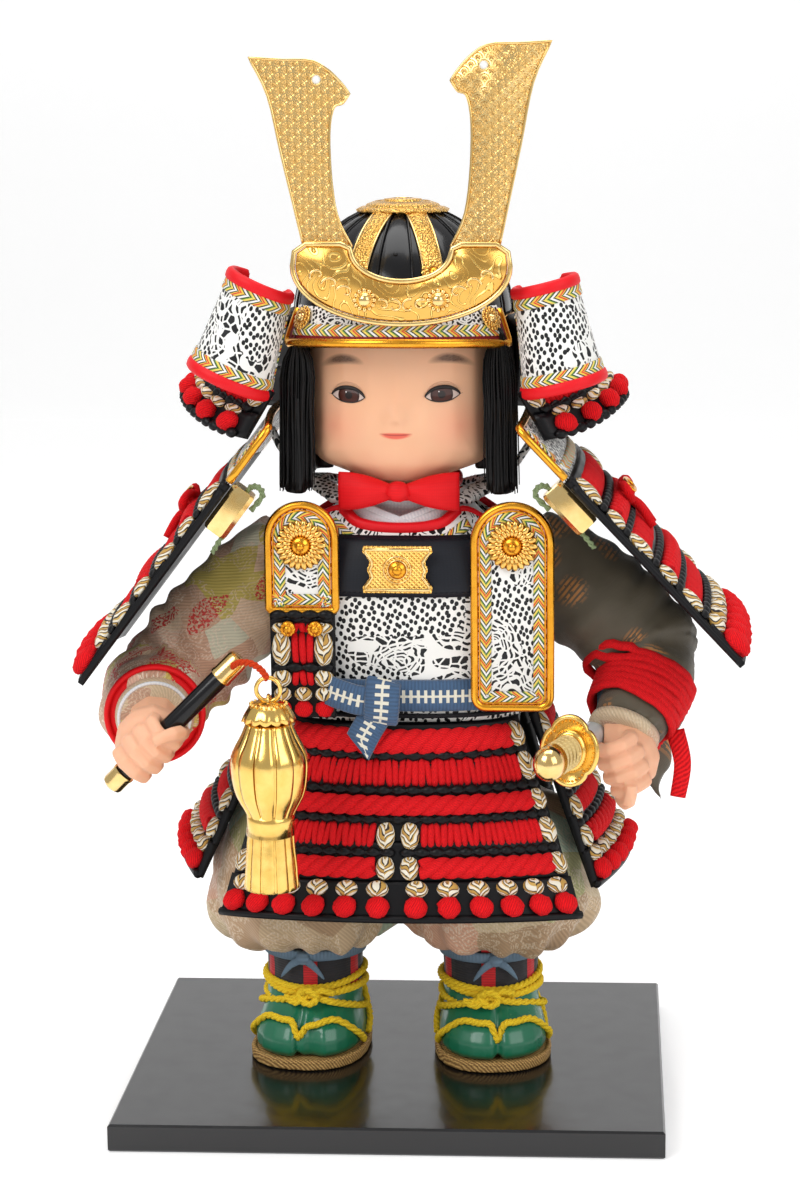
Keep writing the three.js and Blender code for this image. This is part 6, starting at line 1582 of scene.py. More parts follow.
def make_bowl():
    bowl = Build()
    steps, levels = RIBS * 8, 20
    outer, inner = [], []
    for i in range(levels + 1):
        share = 0.985 * i / levels
        outer.append([bowl_point(TURN * k / steps, share,
                                 -0.5 + 0.4 * abs(math.sin(math.pi * k * RIBS / steps)) ** 0.35)
                      for k in range(steps)])
        inner.append([bowl_point(TURN * k / steps, share, -2.2) for k in range(steps)])
    a = bowl.grid(outer, wrap=True)
    b = bowl.grid(inner, wrap=True, flip=True)
    for k in range(steps):
        m = (k + 1) % steps
        bowl.face([a + m, a + k, b + k, b + m], [(0, 0)] * 4)
    top = len(outer) - 1
    bowl.cap(range(a + top * steps, a + (top + 1) * steps))
    bowl.cap(range(b + top * steps, b + (top + 1) * steps), flip=True)
    bowl.make("bowl", "helmet", looks["black"], "helmet_lacquer", ["helmet_bowl"])
    ribs = Build()
    for k in range(RIBS):
        angle = TURN * k / RIBS
        line = [bowl_point(angle, 0.03 + 0.85 * t, 0.12) for t in spread(12)]
        ribs.tube(line, 0.42, 6, FORWARD)
    ribs.make("bowl_ribs", "helmet", looks["black"], "helmet_lacquer")
    rim = Build()
    line = [bowl_point(TURN * t, 0.012, -0.1) for t in spread(72)[:-1]]
    rim.sweep(line_frames(line, UP, True), [(0.9, 1.1)] * 72, 8, closed=True)
    rim.make("bowl_rim", "helmet", looks["gilt_deep"], "gilt")
    strips = Build()
    for degrees in (-112, -68):
        angle = math.radians(degrees)
        line = [bowl_point(angle, lerp(0.30, 0.86, t), 0.25) for t in spread(14)]
        outs = [(p - on_doll(0, TRUNK_SET_BACK, 262)).normalized() for p in line]
        ribbon(strips, line_frames(line, outs), 3.1, 0.7)
    strips.make("bowl_strips", "helmet", looks["gilt_stipple"], "gilt")
    edges = Build()
    for degrees in (-112, -68):
        for turn in (-1, 1):
            line = []
            for t in spread(14):
                share = lerp(0.30, 0.86, t)
                level = math.cos(share * math.pi / 2)
                line.append(bowl_point(math.radians(degrees) + turn * 3.1 / (BOWL_WIDE * level), share, 0.5))
            edges.tube(line, 0.42, 6, FORWARD)
    edges.make("bowl_strip_edges", "helmet", looks["gilt_pale"], "gilt")
    for index, degrees in enumerate((-112, -68)):
        spot = bowl_point(math.radians(degrees), 0.30, 0.9)
        rosette("bowl_rosette_%d" % index, "helmet", spot, spot - on_doll(0, TRUNK_SET_BACK, 262), 4.4,
                petals=14)
    studs = Build()
    for k in range(RIBS):
        angle = TURN * (k + 0.5) / RIBS
        for share in (0.2, 0.42):
            spot = bowl_point(angle, share, -0.1)
            out = (spot - on_doll(0, TRUNK_SET_BACK, 262)).normalized()
            across = out.cross(UP).normalized()
            studs.blob((spot, across, across.cross(out), out), (0.75, 0.75, 0.6), (8, 6))
    studs.make("bowl_studs", "helmet", looks["black"], "helmet_lacquer")


def make_crown():
    crown = Build()
    centre = on_doll(0, TRUNK_SET_BACK, 0)
    steps = 96
    rows = []
    for radius, height, petal in ((14.9, 297.4, 1), (15.2, 298.2, 1), (13.6, 299.0, 1), (12.4, 299.1, 0.4),
                                  (11.8, 299.9, 0),
                                  (9.0, 300.9, 0), (8.4, 300.4, 0), (6.6, 300.6, 0), (6.2, 301.5, 0),
                                  (3.4, 301.8, 0), (3.0, 301.2, 0),
                                  (0.4, 301.2, 0)):
        row = []
        for k in range(steps):
            angle = TURN * k / steps
            swell = 1 + 0.045 * petal * (abs(math.sin(8 * angle)) - 0.7)
            row.append(centre + Vector((radius * swell * math.cos(angle),
                                        radius * swell * 1.1 * math.sin(angle), height)) * MM)
        rows.append(row)
    first = crown.grid(rows, wrap=True, uv=lambda i, j: (j / steps * 90, i * 2.0))
    crown.cap(range(first, first + steps), flip=True)
    crown.cap(range(first + (len(rows) - 1) * steps, first + len(rows) * steps))
    crown.make("crown", "helmet", looks["gilt_stipple"], "gilt", ["crown_plate"])


VISOR_TURN = 58
VISOR_ARCH = 2.2


def visor_surface():
    def place(u, v):
        angle = (2 * u - 1) * math.radians(VISOR_TURN)
        top = bowl_radius(269) + 2.2
        wide = lerp(top, 42.5, v)
        deep = lerp(bowl_radius(269) * BOWL_DEEP / BOWL_WIDE + 2.2, 46.5, v)
        arch = VISOR_ARCH * v * (1 - (2 * u - 1) ** 2)
        return on_doll(wide * math.sin(angle), TRUNK_SET_BACK - deep * math.cos(angle), 269 - 12 * v + arch)

    return Surface(place, on_doll(0, 10, 240))


def make_visor():
    surface = visor_surface()
    plate = Build()
    plate.sheet(surface, spread(48), spread(8), 1.5, uv=lambda u, v: (u * 88 + 20, v * 18))
    plate.make("visor_leather", "helmet", looks["leather"], "printed_leather", ["visor"])
    margin = Build()
    ribbon(margin, on_surface(surface, across_places(0.015, 0.985, 0.85, 60), 0.0), 2.6, 0.3)
    for u in (0.03, 0.97):
        ribbon(margin, on_surface(surface, [(u, v) for v in (0.12, 0.3, 0.5, 0.7, 0.88)], 0.0), 1.6, 0.3)
    margin.make("visor_margin", "helmet", looks["margin"], "red_cloth")
    braid = Build()
    ribbon(braid, on_surface(surface, across_places(0.045, 0.955, 0.66, 60), 0.12), 2.0, 0.7)
    for u in (0.065, 0.935):
        ribbon(braid, on_surface(surface, [(u, v) for v in (0.14, 0.3, 0.45, 0.6)], 0.12), 1.8, 0.7)
    braid.make("visor_braid", "helmet", looks["braid"], "braid")
    rim = Build()
    ring = [(0.0, v) for v in (0.1, 0.3, 0.5, 0.7, 0.88)] + [(0.006, 0.975)]
    ring += across_places(0.02, 0.98, 1.0,
                          60) + [(0.994, 0.975)] + [(1.0, v) for v in (0.88, 0.7, 0.5, 0.3, 0.1)]
    frames = on_surface(surface, ring, -0.6)
    rim.sweep(frames, [(1.55, 1.5)] * len(frames), 12)
    rim.make("visor_rim", "helmet", looks["gilt_deep"], "gilt")
    for index, u in enumerate((0.085, 0.915)):
        point, _, _, normal = surface.frame(u, 0.36, 0.8)
        rosette("visor_rosette_%d" % index, "helmet", point, normal, 4.2, petals=14, heart="gilt_pale")


NECK_ROWS = {
    "upper": ((0.0, 0.62), 66, [("cords", 0.02, 0.17), ("lame", 0.19, 0.19), ("twist", 0.21, 0.33),
                                ("lame", 0.35, 0.35),
                                ("cords", 0.37, 0.52), ("lame", 0.55, 0.55)]),
    "lower": ((0.60, 1.0), 41, [("cords", 0.62, 0.745), ("lame", 0.762, 0.762), ("knots", 0.78, 0.845),
                                ("tufts", 0.85, 0.975),
                                ("lame", 0.985, 0.985)]),
}


def neck_surface(opening):
    def place(u, v):
        angle = FRONT + math.radians(lerp(opening, 360 - opening, u))
        swell = max(v, 0) ** 0.9
        across, along = math.cos(angle), math.sin(angle)
        flare = 10 if along < 0 else 24
        x = (37.4 + 35.5 * swell) * across
        y = TRUNK_SET_BACK + (41.4 + flare * swell) * along
        return on_doll(x, y, 264.5 - v * (37.5 - 10 * across ** 6))

    return Surface(place, on_doll(0, 4, 240))


def make_neck_guard():
    plates, cords, knots, tufts = Build(), Build(), Build(), Build()
    for span, opening, rows in NECK_ROWS.values():
        surface = neck_surface(opening)
        lacing = Lacing(surface, side_knots=True)
        lacing.plates, lacing.cords, lacing.knots, lacing.tufts = plates, cords, knots, tufts
        count = 3 if opening > 50 else 2
        for row in range(count):
            v0, v1 = lerp(*span, row / count), lerp(*span, (row + 1) / count)
            us = spread(72)
            vs = [lerp(v0, v1, t) for t in spread(4)]
            plates.sheet(surface, us, vs, 1.3, lambda u, v: 1.2 * (1 - (v - v0) / (v1 - v0)))
        lace_rows(lacing, rows, 24)
    lacing.make("neck_guard", "helmet", "neck_guard")


ROLL_SHARES = [(-0.86, 0.6), (-1, 0.2), (-0.93, -0.35), (-0.62, -0.82), (0, -1.05), (0.64, -0.84),
               (0.98, -0.25), (0.95, 0.4),
               (0.62, 0.86)]
ROLL_LENGTH = 33.5


def roll_surface(sign, tilt_degrees):
    tilt = math.radians(tilt_degrees)
    line = smooth_line([Vector((x, y, 0)) for x, y in ROLL_SHARES], 96)

    def place(u, v):
        share = min(max(u, 0), 1) * 96
        i = min(int(share), 95)
        flat = line[i].lerp(line[i + 1], share - i)
        if u < 0:
            flat = line[0] + (line[0] - line[1]) * (-u * 96)
        if u > 1:
            flat = line[96] + (line[96] - line[95]) * ((u - 1) * 96)
        radius = 9.9 + 3.2 * v
        x, y = flat.x * radius, flat.y * radius
        fall = ROLL_LENGTH * v
        wide = 53.5 + x * math.cos(tilt) - (ROLL_LENGTH - fall) * math.sin(tilt)
        return on_doll(sign * wide, y - 29, 277 + 1.3 * x * math.sin(tilt) - fall * math.cos(tilt))

    inside = on_doll(sign * (53.5 - 16 * math.sin(tilt)), -29, 260)
    return Surface(place, inside)


def make_turnbacks():
    for side, sign, tilt in (("right", -1, 19), ("left", 1, 11)):
        surface = roll_surface(sign, tilt)
        leather = Build()
        leather.sheet(surface, spread(48), spread(10), 0.8, uv=lambda u,
                      v: (u * 62 + 40 * sign, v * ROLL_LENGTH))
        leather.make(side + "_roll_leather", "helmet", looks["leather"], "printed_leather",
                     [side + "_turnback"])
        lining = Build()
        lining.sheet(surface, spread(48), spread(6), 1.0, lift=-0.85)
        lining.make(side + "_roll_lining", "helmet", looks["red_silk"], "red_cloth")
        binding = Build()
        for v in (0.035, 0.965):
            frames = on_surface(surface, across_places(0.0, 1.0, v, 60), -0.2)
            binding.sweep(frames, [(2.0, 1.35)] * len(frames), 10, 2.6)
        for u in (0.0, 1.0):
            frames = on_surface(surface, [(u, lerp(0.03, 0.97, t)) for t in spread(14)], -0.5)
            binding.sweep(frames, [(1.1, 1.2)] * len(frames), 8)
        binding.make(side + "_roll_binding", "helmet", looks["binding"], "red_cloth")
        braid = Build()
        for v in (0.135, 0.865):
            ribbon(braid, on_surface(surface, across_places(0.04, 0.96, v, 60), 0.0), 1.9, 0.6)
        for u in (0.06, 0.94):
            ribbon(braid, on_surface(surface, [(u, lerp(0.16, 0.84, t)) for t in spread(14)], 0.0), 1.8, 0.6)
        braid.make(side + "_roll_braid", "helmet", looks["braid"], "braid")


looks["margin"] = cloth("dark_red_margin", (0.22, 0.003, 0.008), (0.12, 0.0, 0.004), 2.4, 0.2, 0.1, 0.5)

CREST_X = 3
CREST_HALF = 33
CREST_BOTTOM, CREST_TOP = 266, 289
CREST_INNER_HALF, CREST_INNER_DROP = 16.5, 10.5


def extrude_outline(build, outline, deep, back, bevel=0.35):
    """A bevelled plate from (x, z) millimetres, its back at back; UVs are the same millimetres."""
    count = len(outline)
    rings = []
    for inset, y in ((bevel, back), (0, back - bevel), (0, back - deep + bevel), (bevel, back - deep)):
        ring = []
        for i, (x, z) in enumerate(outline):
            ax, az = outline[i - 1]
            bx, bz = outline[(i + 1) % count]
            dx, dz = bx - ax, bz - az
            size = math.hypot(dx, dz) or 1
            ring.append(on_doll(x - dz / size * inset, y, z + dx / size * inset))
        rings.append(ring)
    uv = lambda i, j: (outline[j % count][0], outline[j % count][1])
    first = build.grid(rings, wrap=True, uv=uv)
    for row, flip in ((0, True), (3, False)):
        corners = list(range(first + row * count, first + (row + 1) * count))
        build.face(corners[::-1] if flip else corners, outline[::-1] if flip else outline)
    return build


def crest_line(steps=28):
    """The crest's outline: round below, a round notch above, and squared arms."""
    outline = []
    for k in range(steps + 1):
        angle = math.pi + math.pi * k / steps
        x = CREST_HALF * math.cos(angle)
        z = CREST_TOP - 6 + (CREST_TOP - 6 - CREST_BOTTOM) * math.sin(angle)
        outline.append((CREST_X + x, z))
    outline += [(CREST_X + CREST_HALF - 0.5, CREST_TOP - 2), (CREST_X + CREST_HALF - 3.5, CREST_TOP),
                (CREST_X + CREST_INNER_HALF + 2.5, CREST_TOP)]
    for k in range(steps + 1):
        angle = -math.pi * k / steps
        outline.append((CREST_X + CREST_INNER_HALF * math.cos(angle),
                        CREST_TOP - 1 + CREST_INNER_DROP * math.sin(angle)))
    outline += [(CREST_X - CREST_INNER_HALF - 2.5, CREST_TOP), (CREST_X - CREST_HALF + 3.5, CREST_TOP),
                (CREST_X - CREST_HALF + 0.5, CREST_TOP - 2)]
    return outline


def scrolls(n):
    """Embossed running scrolls for the crest."""
    x, _, z = n.split(n.place())
    flat = n.combine(x, z)
    bent = n.warp(flat, 0.12, 3.4)
    field = n.noise(bent, 0.13, 0.0)
    lines = n.math("SINE", n.mul(field, 44.0))
    return n.ramp(n.math("MULTIPLY_ADD", lines, 0.5, 0.5), [(0.78, 0.25), (0.95, 1.0)])


looks["gilt_scrolls"] = gilt("gilt_scrolls", (0.92, 0.64, 0.20), 0.2, pattern=scrolls)

HORN_FOOT = 22.9
HORN_OUTER = [(0.32, 0), (0.46, 0.25), (0.6, 0.5), (0.76, 0.8), (1, 1)]
HORN_TIP = [(1, 1), (0.6, 0.99), (0.2, 0.985), (-0.02, 0.94), (-0.2, 0.87), (-0.31, 0.81)]
HORN_INNER = [(-0.31, 0.81), (-0.22, 0.76), (-0.1, 0.735), (-0.04, 0.6), (-0.06, 0.35), (-0.14, 0.15),
              (-0.32, 0)]
HORN_SPREAD = 23.6
HORN_HOLE = (0.12, 0.885)


def horn_outline(sign, height):
    pairs = []
    for shares, steps in ((HORN_OUTER, 16), (HORN_TIP, 14), (HORN_INNER, 22)):
        line = smooth_line([Vector((x, z, 0)) for x, z in shares], steps)
        pairs += [(p.x, p.y) for p in line[:-1]]
    pairs.append(HORN_INNER[-1])
    return [(CREST_X + sign * (HORN_FOOT + x * HORN_SPREAD), CREST_TOP + z * height) for x, z in pairs]


def make_crest():
    base = Build()
    outline = crest_line()
    back = -42.0
    extrude_outline(base, outline, 1.5, back)
    crest = base.make("crest", "helmet", looks["gilt_scrolls"], "gilt", ["crest_base"])
    crease(crest, 50)
    rim = Build()
    ring = [on_doll(x, back - 1.5, z) for x, z in outline]
    inset = []
    count = len(ring)
    for i, point in enumerate(ring):
        along = (ring[(i + 1) % count] - ring[i - 1]).normalized()
        inset.append(point + along.cross(FORWARD) * (0.9 * MM))
    frames = line_frames(inset, FORWARD, True)
    rim.sweep(frames, [(0.85, 0.75)] * count, 8, closed=True)
    for turn in (-1, 1):
        spot = on_doll(CREST_X + turn * 11.5, back - 1.6, CREST_BOTTOM + 6.6)
        rim.turned([[0, 0], [2.9, 0], [2.9, 0.5], [2.2, 0.9], [1.9, 1.6], [1.1, 2.2], [0, 2.4]], 20, spot,
                   FORWARD)
        for petal in range(12):
            angle = TURN * petal / 12
            away = Vector((math.cos(angle), 0, math.sin(angle)))
            across = Vector((-math.sin(angle), 0, math.cos(angle)))
            rim.blob((spot + away * (3.0 * MM) + FORWARD * (0.4 * MM), across, away, FORWARD),
                     (0.8, 0.8, 0.5), (6, 5))
    for turn in (-1, 1):
        for start, lean, size in ((2.5, 1.35, 9), (6, 1.0, 7), (17.5, 0.4, 9), (22, 0.0, 9), (26, -0.5, 8)):
            curl = []
            for t in spread(18):
                angle = lean + t * 4.6
                radius = size * 0.32 * (1 - t) ** 0.8 + 0.4
                cx = CREST_X + turn * (start + radius * math.cos(angle) * 0.9)
                cz = CREST_BOTTOM + 2.9 + (start / 30) ** 2 * 13 + radius * math.sin(angle) * 0.75 + 1.6
                curl.append(on_doll(cx, back - 1.65, cz))
            rim.tube(curl, (lambda t: 0.5 * (1.15 - 0.6 * t)), 6, FORWARD)
    rim.make("crest_relief", "helmet", looks["gilt_pale"], "gilt")
    for side, sign, height in (("right", -1, 57.5), ("left", 1, 62.5)):
        horn = Build()
        outline = horn_outline(sign, height)
        foot = [(CREST_X + sign * (HORN_FOOT - 4.8), CREST_TOP), (CREST_X + sign * (HORN_FOOT - 4.8),
                                                                  CREST_TOP - 7),
                (CREST_X + sign * (HORN_FOOT + 4.8), CREST_TOP - 7), (CREST_X + sign * (HORN_FOOT + 4.8),
                                                                      CREST_TOP)]
        extrude_outline(horn, outline + foot, 1.0, -40.7, 0.2)
        piece = horn.make(side + "_horn_plate", side + "_horn", looks["gilt_fans"], "gilt", [side + "_horn"])
        crease(piece, 50)
        trim = Build()
        edge = [on_doll(x, -41.7, z) for x, z in outline]
        frames = line_frames(edge, FORWARD)
        trim.sweep(frames, [(0.45, 0.4)] * len(frames), 6)
        hx, hz = CREST_X + sign * (HORN_FOOT + HORN_HOLE[0] * HORN_SPREAD), CREST_TOP + HORN_HOLE[1] * height
        ring = [on_doll(hx + 1.6 * math.cos(TURN * t), -41.75,
                        hz + 1.6 * math.sin(TURN * t)) for t in spread(20)[:-1]]
        trim.sweep(line_frames(ring, FORWARD, True), [(0.32, 0.32)] * 20, 6, closed=True)
        trim.make(side + "_horn_edge", side + "_horn", looks["gilt_pale"], "gilt")
        hole = Build()
        hole.turned([[0, 0], [1.4, 0], [1.4, 0.12], [0, 0.12]], 20, on_doll(hx, -41.72, hz), FORWARD)
        hole.make(side + "_horn_hole", side + "_horn", looks["hole"], "gilt")


looks["hole"] = cloth("pale_hole", (0.85, 0.86, 0.85), (0.78, 0.79, 0.78), 0.5, 0.02, 0.0, 0.9)

make_head()
make_hair()
make_bowl()
make_crown()
make_visor()
make_neck_guard()
make_turnbacks()
make_crest()


# Torso

TORSO_SHARES = [(-0.47, 0.84, 0.86), (0, 0.93, 0.95), (0.17, 0.95, 0.96), (0.45, 1, 1), (0.65, 1, 1),
                (0.79, 0.925, 0.92),
                (0.87, 0.8, 0.82), (0.97, 0.67, 0.72), (1.06, 0.58, 0.62)]
TORSO_HALF = (46, 33)
TORSO_POWER = 2.7
CUIRASS_EDGE = [(0, 0.87), (22, 0.9), (38, 0.96), (52, 0.88), (72, 0.64), (100, 0.6), (124, 0.82),
                (146, 0.96), (180, 0.98)]
TORSO_ROUND = 258


def torso_point(degrees, share, lift=0.0):
    """A place on the cuirass, degrees from the front and share of its height."""
    wide = TORSO_HALF[0] * follow(TORSO_SHARES, share, 1) + lift
    deep = TORSO_HALF[1] * follow(TORSO_SHARES, share, 2) + lift
    x, y = rounded_point(FRONT + math.radians(degrees), wide, deep, TORSO_POWER)
    return on_doll(x, TRUNK_SET_BACK + y, WAIST + CUIRASS_HEIGHT * share)


def torso_surface(low, high):
    """The cuirass between two heights, given as functions of the degrees; u runs once round from the back."""
    def place(u, v):
        degrees = lerp(-179.6, 179.6, u)
        return torso_point(degrees, lerp(low(abs(degrees)), high(abs(degrees)), v))

    return Surface(place, on_doll(0, TRUNK_SET_BACK, 160))


def turn_share(degrees):
    return (degrees + 179.6) / 359.2


def make_cuirass():
    edge = lambda degrees: follow(CUIRASS_EDGE, degrees if degrees > 16 else degrees * degrees / 32 + 8)
    surface = torso_surface(lambda d: 0.0, edge)
    body = Build()
    body.sheet(surface, spread(96), spread(24), 2.8,
               uv=lambda u, v: (u * TORSO_ROUND, v * edge(abs(lerp(-179.6, 179.6, u))) * CUIRASS_HEIGHT + 11))
    body.make("cuirass_leather", "stand", looks["leather"], "printed_leather", ["cuirass"])
    trim = Build()
    line = []
    for k in range(161):
        degrees = lerp(-179, 179, k / 160)
        line.append(torso_point(degrees, edge(abs(degrees)) - 0.004, -0.9))
    outs = [(p - on_doll(0, TRUNK_SET_BACK, p.z / MM)).normalized() for p in line]
    trim.sweep(line_frames(line, outs), [(1.3, 1.3)] * len(line), 10)
    trim.make("cuirass_edge", "stand", looks["binding"], "red_cloth")
    binding = Build()
    line = []
    for k in range(41):
        degrees = lerp(-34, 34, k / 40)
        line.append(torso_point(degrees, edge(abs(degrees)) + 0.002, -0.6))
    outs = [(p - on_doll(0, TRUNK_SET_BACK, p.z / MM)).normalized() for p in line]
    binding.sweep(line_frames(line, outs), [(1.9, 1.75)] * len(line), 14, 2.4)
    binding.make("neck_edge", "stand", looks["binding"], "red_cloth", ["neck_binding"])
    braid = Build()
    flat = torso_surface(lambda d: 0.0, lambda d: 1.0)
    places = [(turn_share(d), edge(abs(d)) - 0.062) for d in [lerp(-36, 36, t) for t in spread(40)]]
    ribbon(braid, on_surface(flat, places, 0.0), 2.0, 0.7)
    braid.make("neck_braid", "stand", looks["braid"], "braid")


BAND_TOP = 0.87 - 1.5 / CUIRASS_HEIGHT
BAND_LOW = BAND_TOP - 19 / CUIRASS_HEIGHT


def make_chest():
    flat = torso_surface(lambda d: BAND_LOW, lambda d: BAND_TOP)
    band = Build()
    us = [turn_share(lerp(-48, 48, t)) for t in spread(32)]
    band.sheet(flat, us, spread(8), 0.2, lambda u, v: 1.35 - 0.5 * abs(2 * v - 1) ** 8)
    band.make("band", "stand", looks["satin"], "black_satin", ["chest_band"])
    stitches = Build()
    for v in (0.07, 0.93):
        for k in range(46):
            degrees = lerp(-46, 46, (k + 0.5) / 46)
            point, across, down, normal = flat.frame(turn_share(degrees), v, 1.3)
            stitches.blob((point, across, down, normal), (0.55, 0.16, 0.14), (6, 4))
    stitches.make("band_stitches", "stand", looks["satin"], "black_satin")
    outline = []
    for quarter in ((1, 1), (1, -1), (-1, -1), (-1, 1)):
        points = [(11, 7.3), (11, 5.9), (9.9, 4.6), (8.7, 2.8), (8.9, 1.4), (9.4, 0.5)]
        side, rise = quarter
        ordered = points if side * rise > 0 else points[::-1]
        outline += [(x * side, z * rise) for x, z in ordered]
    middle = WAIST + CUIRASS_HEIGHT * (BAND_TOP + BAND_LOW) / 2
    shape = [(x, z + middle) for x, z in outline]
    plate = Build()
    extrude_outline(plate, shape, 1.0, -31.2, 0.3)
    crease(plate.make("ornament", "stand", looks["gilt_hatch"], "gilt", ["chest_ornament"]), 50)
    rim = Build()
    ring = [on_doll(x * 0.93, -32.25, middle + z * 0.91) for x, z in outline]
    rim.sweep(line_frames(ring, FORWARD, True), [(0.55, 0.45)] * len(ring), 8, closed=True)
    for size in (4.4, 3.1):
        loop = [on_doll(size * math.cos(TURN * t), -32.3,
                        middle + size * math.sin(TURN * t)) for t in spread(28)[:-1]]
        rim.sweep(line_frames(loop, FORWARD, True), [(0.3, 0.4)] * 28, 6, closed=True)
    rim.make("ornament_relief", "stand", looks["gilt_pale"], "gilt")
    stud = Build()
    stud.turned([[0, 0], [2.8, 0], [2.8, 0.8], [2.2, 1.3], [1.7, 1.3], [1.5, 1.9], [0.8, 2.3], [0, 2.4]], 24,
                on_doll(0, -32.1, middle), FORWARD)
    stud.make("ornament_stud", "stand", looks["gilt_deep"], "gilt")


def hatch(n):
    """Fine crossed lines of an embossed plate."""
    x, _, z = n.split(n.place())
    flat = n.combine(x, z)
    one = n.wave(flat, 0.4, 0.0, "DIAGONAL")
    other = n.wave(n.scale(flat, (-1, 1, 1)), 0.4, 0.0, "DIAGONAL")
    return n.math("MAXIMUM", one, other)


looks["gilt_hatch"] = gilt("gilt_hatch", (0.90, 0.60, 0.18), 0.24, pattern=hatch)


def make_collar():
    soft_copy("collar_cloth", "under_collar", "stand", looks["white"], 0.9, 4,
              lambda p: (math.atan2(p.y - 4, p.x - 2.5) * 24, p.z))
    folds = Build()
    for side in (-1, 1):
        for layer, drop in ((0, 0.0), (1, 2.2), (2, 4.2)):
            points = [on_doll(side * 21, -6, 206.5 - drop), on_doll(side * 14.5, -15.5 - layer * 0.4,
                                                                    203.6 - drop),
                      on_doll(side * 6, -19.6 - layer * 0.4, 200.4 - drop),
                      on_doll(-side * 5, -20.6 - layer * 0.3, 196.2 - drop)]
            line = smooth_line(points, 20)
            outs = [(p - on_doll(0, 2, p.z / MM)).normalized() for p in line]
            ribbon(folds, line_frames(line, outs), 2.3, 0.8)
    folds.make("collar_folds", "stand", looks["white"], "white_cloth")


def make_bow():
    """The red bow under the chin, with a cord round the neck."""
    bow = Build()
    middle = on_doll(0, -25.5, 209.6)
    for side in (-1, 1):
        rows = []
        for t in spread(16):
            x = side * lerp(1.5, 19.6, t)
            half = 2.1 + 3.9 * math.sin(min(t * 1.15, 1) * math.pi / 2) + 0.3 * t
            thick = 1.7 + 2.1 * math.sin(math.pi * min(t * 0.92, 1))
            drop = -0.7 * t
            row = []
            for k in range(28):
                angle = TURN * k / 28
                fold = 0.55 * math.sin(3 * angle + 2 * t) * (1 - t) + 0.25 * math.sin(5 * angle) * t
                y = -(thick + fold) * math.cos(angle) * 0.9
                z = (half + fold * 0.5) * math.sin(angle)
                row.append(middle + Vector((x, y + 3.2 * t ** 2, z + drop)) * MM)
            rows.append(row)
        first = bow.grid(rows, wrap=True, uv=lambda i, j: (j * 0.9, i * 1.2))
        bow.cap(range(first, first + 28), flip=True)
        bow.cap(range(first + 16 * 28, first + 17 * 28))
    bow.blob((middle + FORWARD * (1.4 * MM), Vector((1, 0, 0)), -UP, FORWARD), (4.0, 3.4, 2.9), (18, 12),
             0.06)
    around = []
    for t in spread(60)[:-1]:
        angle = TURN * t
        x, y = rounded_point(angle, 18.0, 20.5, 2.2)
        around.append(on_doll(x, y + 0.5, 209.5 + 2.5 * math.sin(angle)))
    bow.sweep(line_frames(around, UP, True), [(1.5, 1.6)] * 60, 8, closed=True)
    bow.make("bow", "stand", looks["red_silk"], "red_cloth", ["chin_bow"])


def make_sash():
    flat = torso_surface(lambda d: 0.0, lambda d: 1.0)
    middle = 9 / CUIRASS_HEIGHT
    sash = Build()
    places = [(turn_share(d), middle) for d in [lerp(-179, 179, t) for t in spread(150)]]
    ribbon(sash, on_surface(flat, places, 0.35), 5.4, 1.5)
    sash.make("sash", "stand", looks["sash"], "blue_cloth", ["waist_sash"])
    knot = Build()
    x = -5.0
    loop = [on_doll(x + 0.4, -33.4, 148.2), on_doll(x + 0.2, -35.6, 147.0), on_doll(x, -37.0, 142.5),
            on_doll(x - 0.4, -36.4, 138.0),
            on_doll(x - 0.8, -34.4, 135.4)]
    line = smooth_line(loop, 26)
    ribbon(knot, line_frames(line, FORWARD), 5.8, 1.3)
    left = [on_doll(x - 2.5, -35.2, 142.0), on_doll(x - 8, -35.6, 142.6), on_doll(x - 13, -34.4, 143.8),
            on_doll(x - 17.5, -32.6, 145.0)]
    line = smooth_line(left, 20)
    ribbon(knot, line_frames(line, FORWARD), 5.0, 1.3)
    knot.make("sash_knot", "stand", looks["sash"], "blue_cloth")
    tail = Build()
    path = smooth_line([on_doll(x - 1.5, -34.0, 138.5), on_doll(x - 5.5, -35.3, 132.0),
                        on_doll(x - 9.0, -37.2, 125.2)], 16)
    frames = line_frames(path, FORWARD)
    rows, lengths = [], [0.0]
    for (a, _, _), (b, _, _) in zip(frames, frames[1:]):
        lengths.append(lengths[-1] + (b - a).length / MM)
    point_left, point_right = -5.2, 5.2
    for i, (point, across, out) in enumerate(frames):
        rest = lengths[-1] - lengths[i]
        right = min(point_right, point_left + 0.6 + rest * 2.2)
        rows.append([point + across * (s * MM) + out * (h * MM) for s, h in
                     ((point_left, 0), (point_left * 0.9, 0.9), (lerp(point_left, right, 0.5), 1.0),
                      (right * 0.95, 0.9), (right, 0),
                      (lerp(point_left, right, 0.5), -0.2))])
    first = tail.grid(rows, wrap=True, uv=lambda i, j: ([0, 0.05, 0.5, 0.95, 1, 0.5, 0][j], lengths[i]))
    tail.cap(range(first, first + 6), flip=True)
    tail.cap(range(first + 16 * 6, first + 17 * 6))
    tail.make("sash_tail", "stand", looks["sash"], "blue_cloth")
    cord = Build()
    line = []
    for t in spread(120)[:-1]:
        degrees = lerp(-180, 180, t)
        line.append(torso_point(degrees, 0.03, 0.5))
    cord.sweep(line_frames(line, UP, True), [(0.8, 0.8)] * 120, 6, closed=True)
    cord.make("sash_cord", "stand", looks["black_cord"], "black_cloth")


# Breast guards

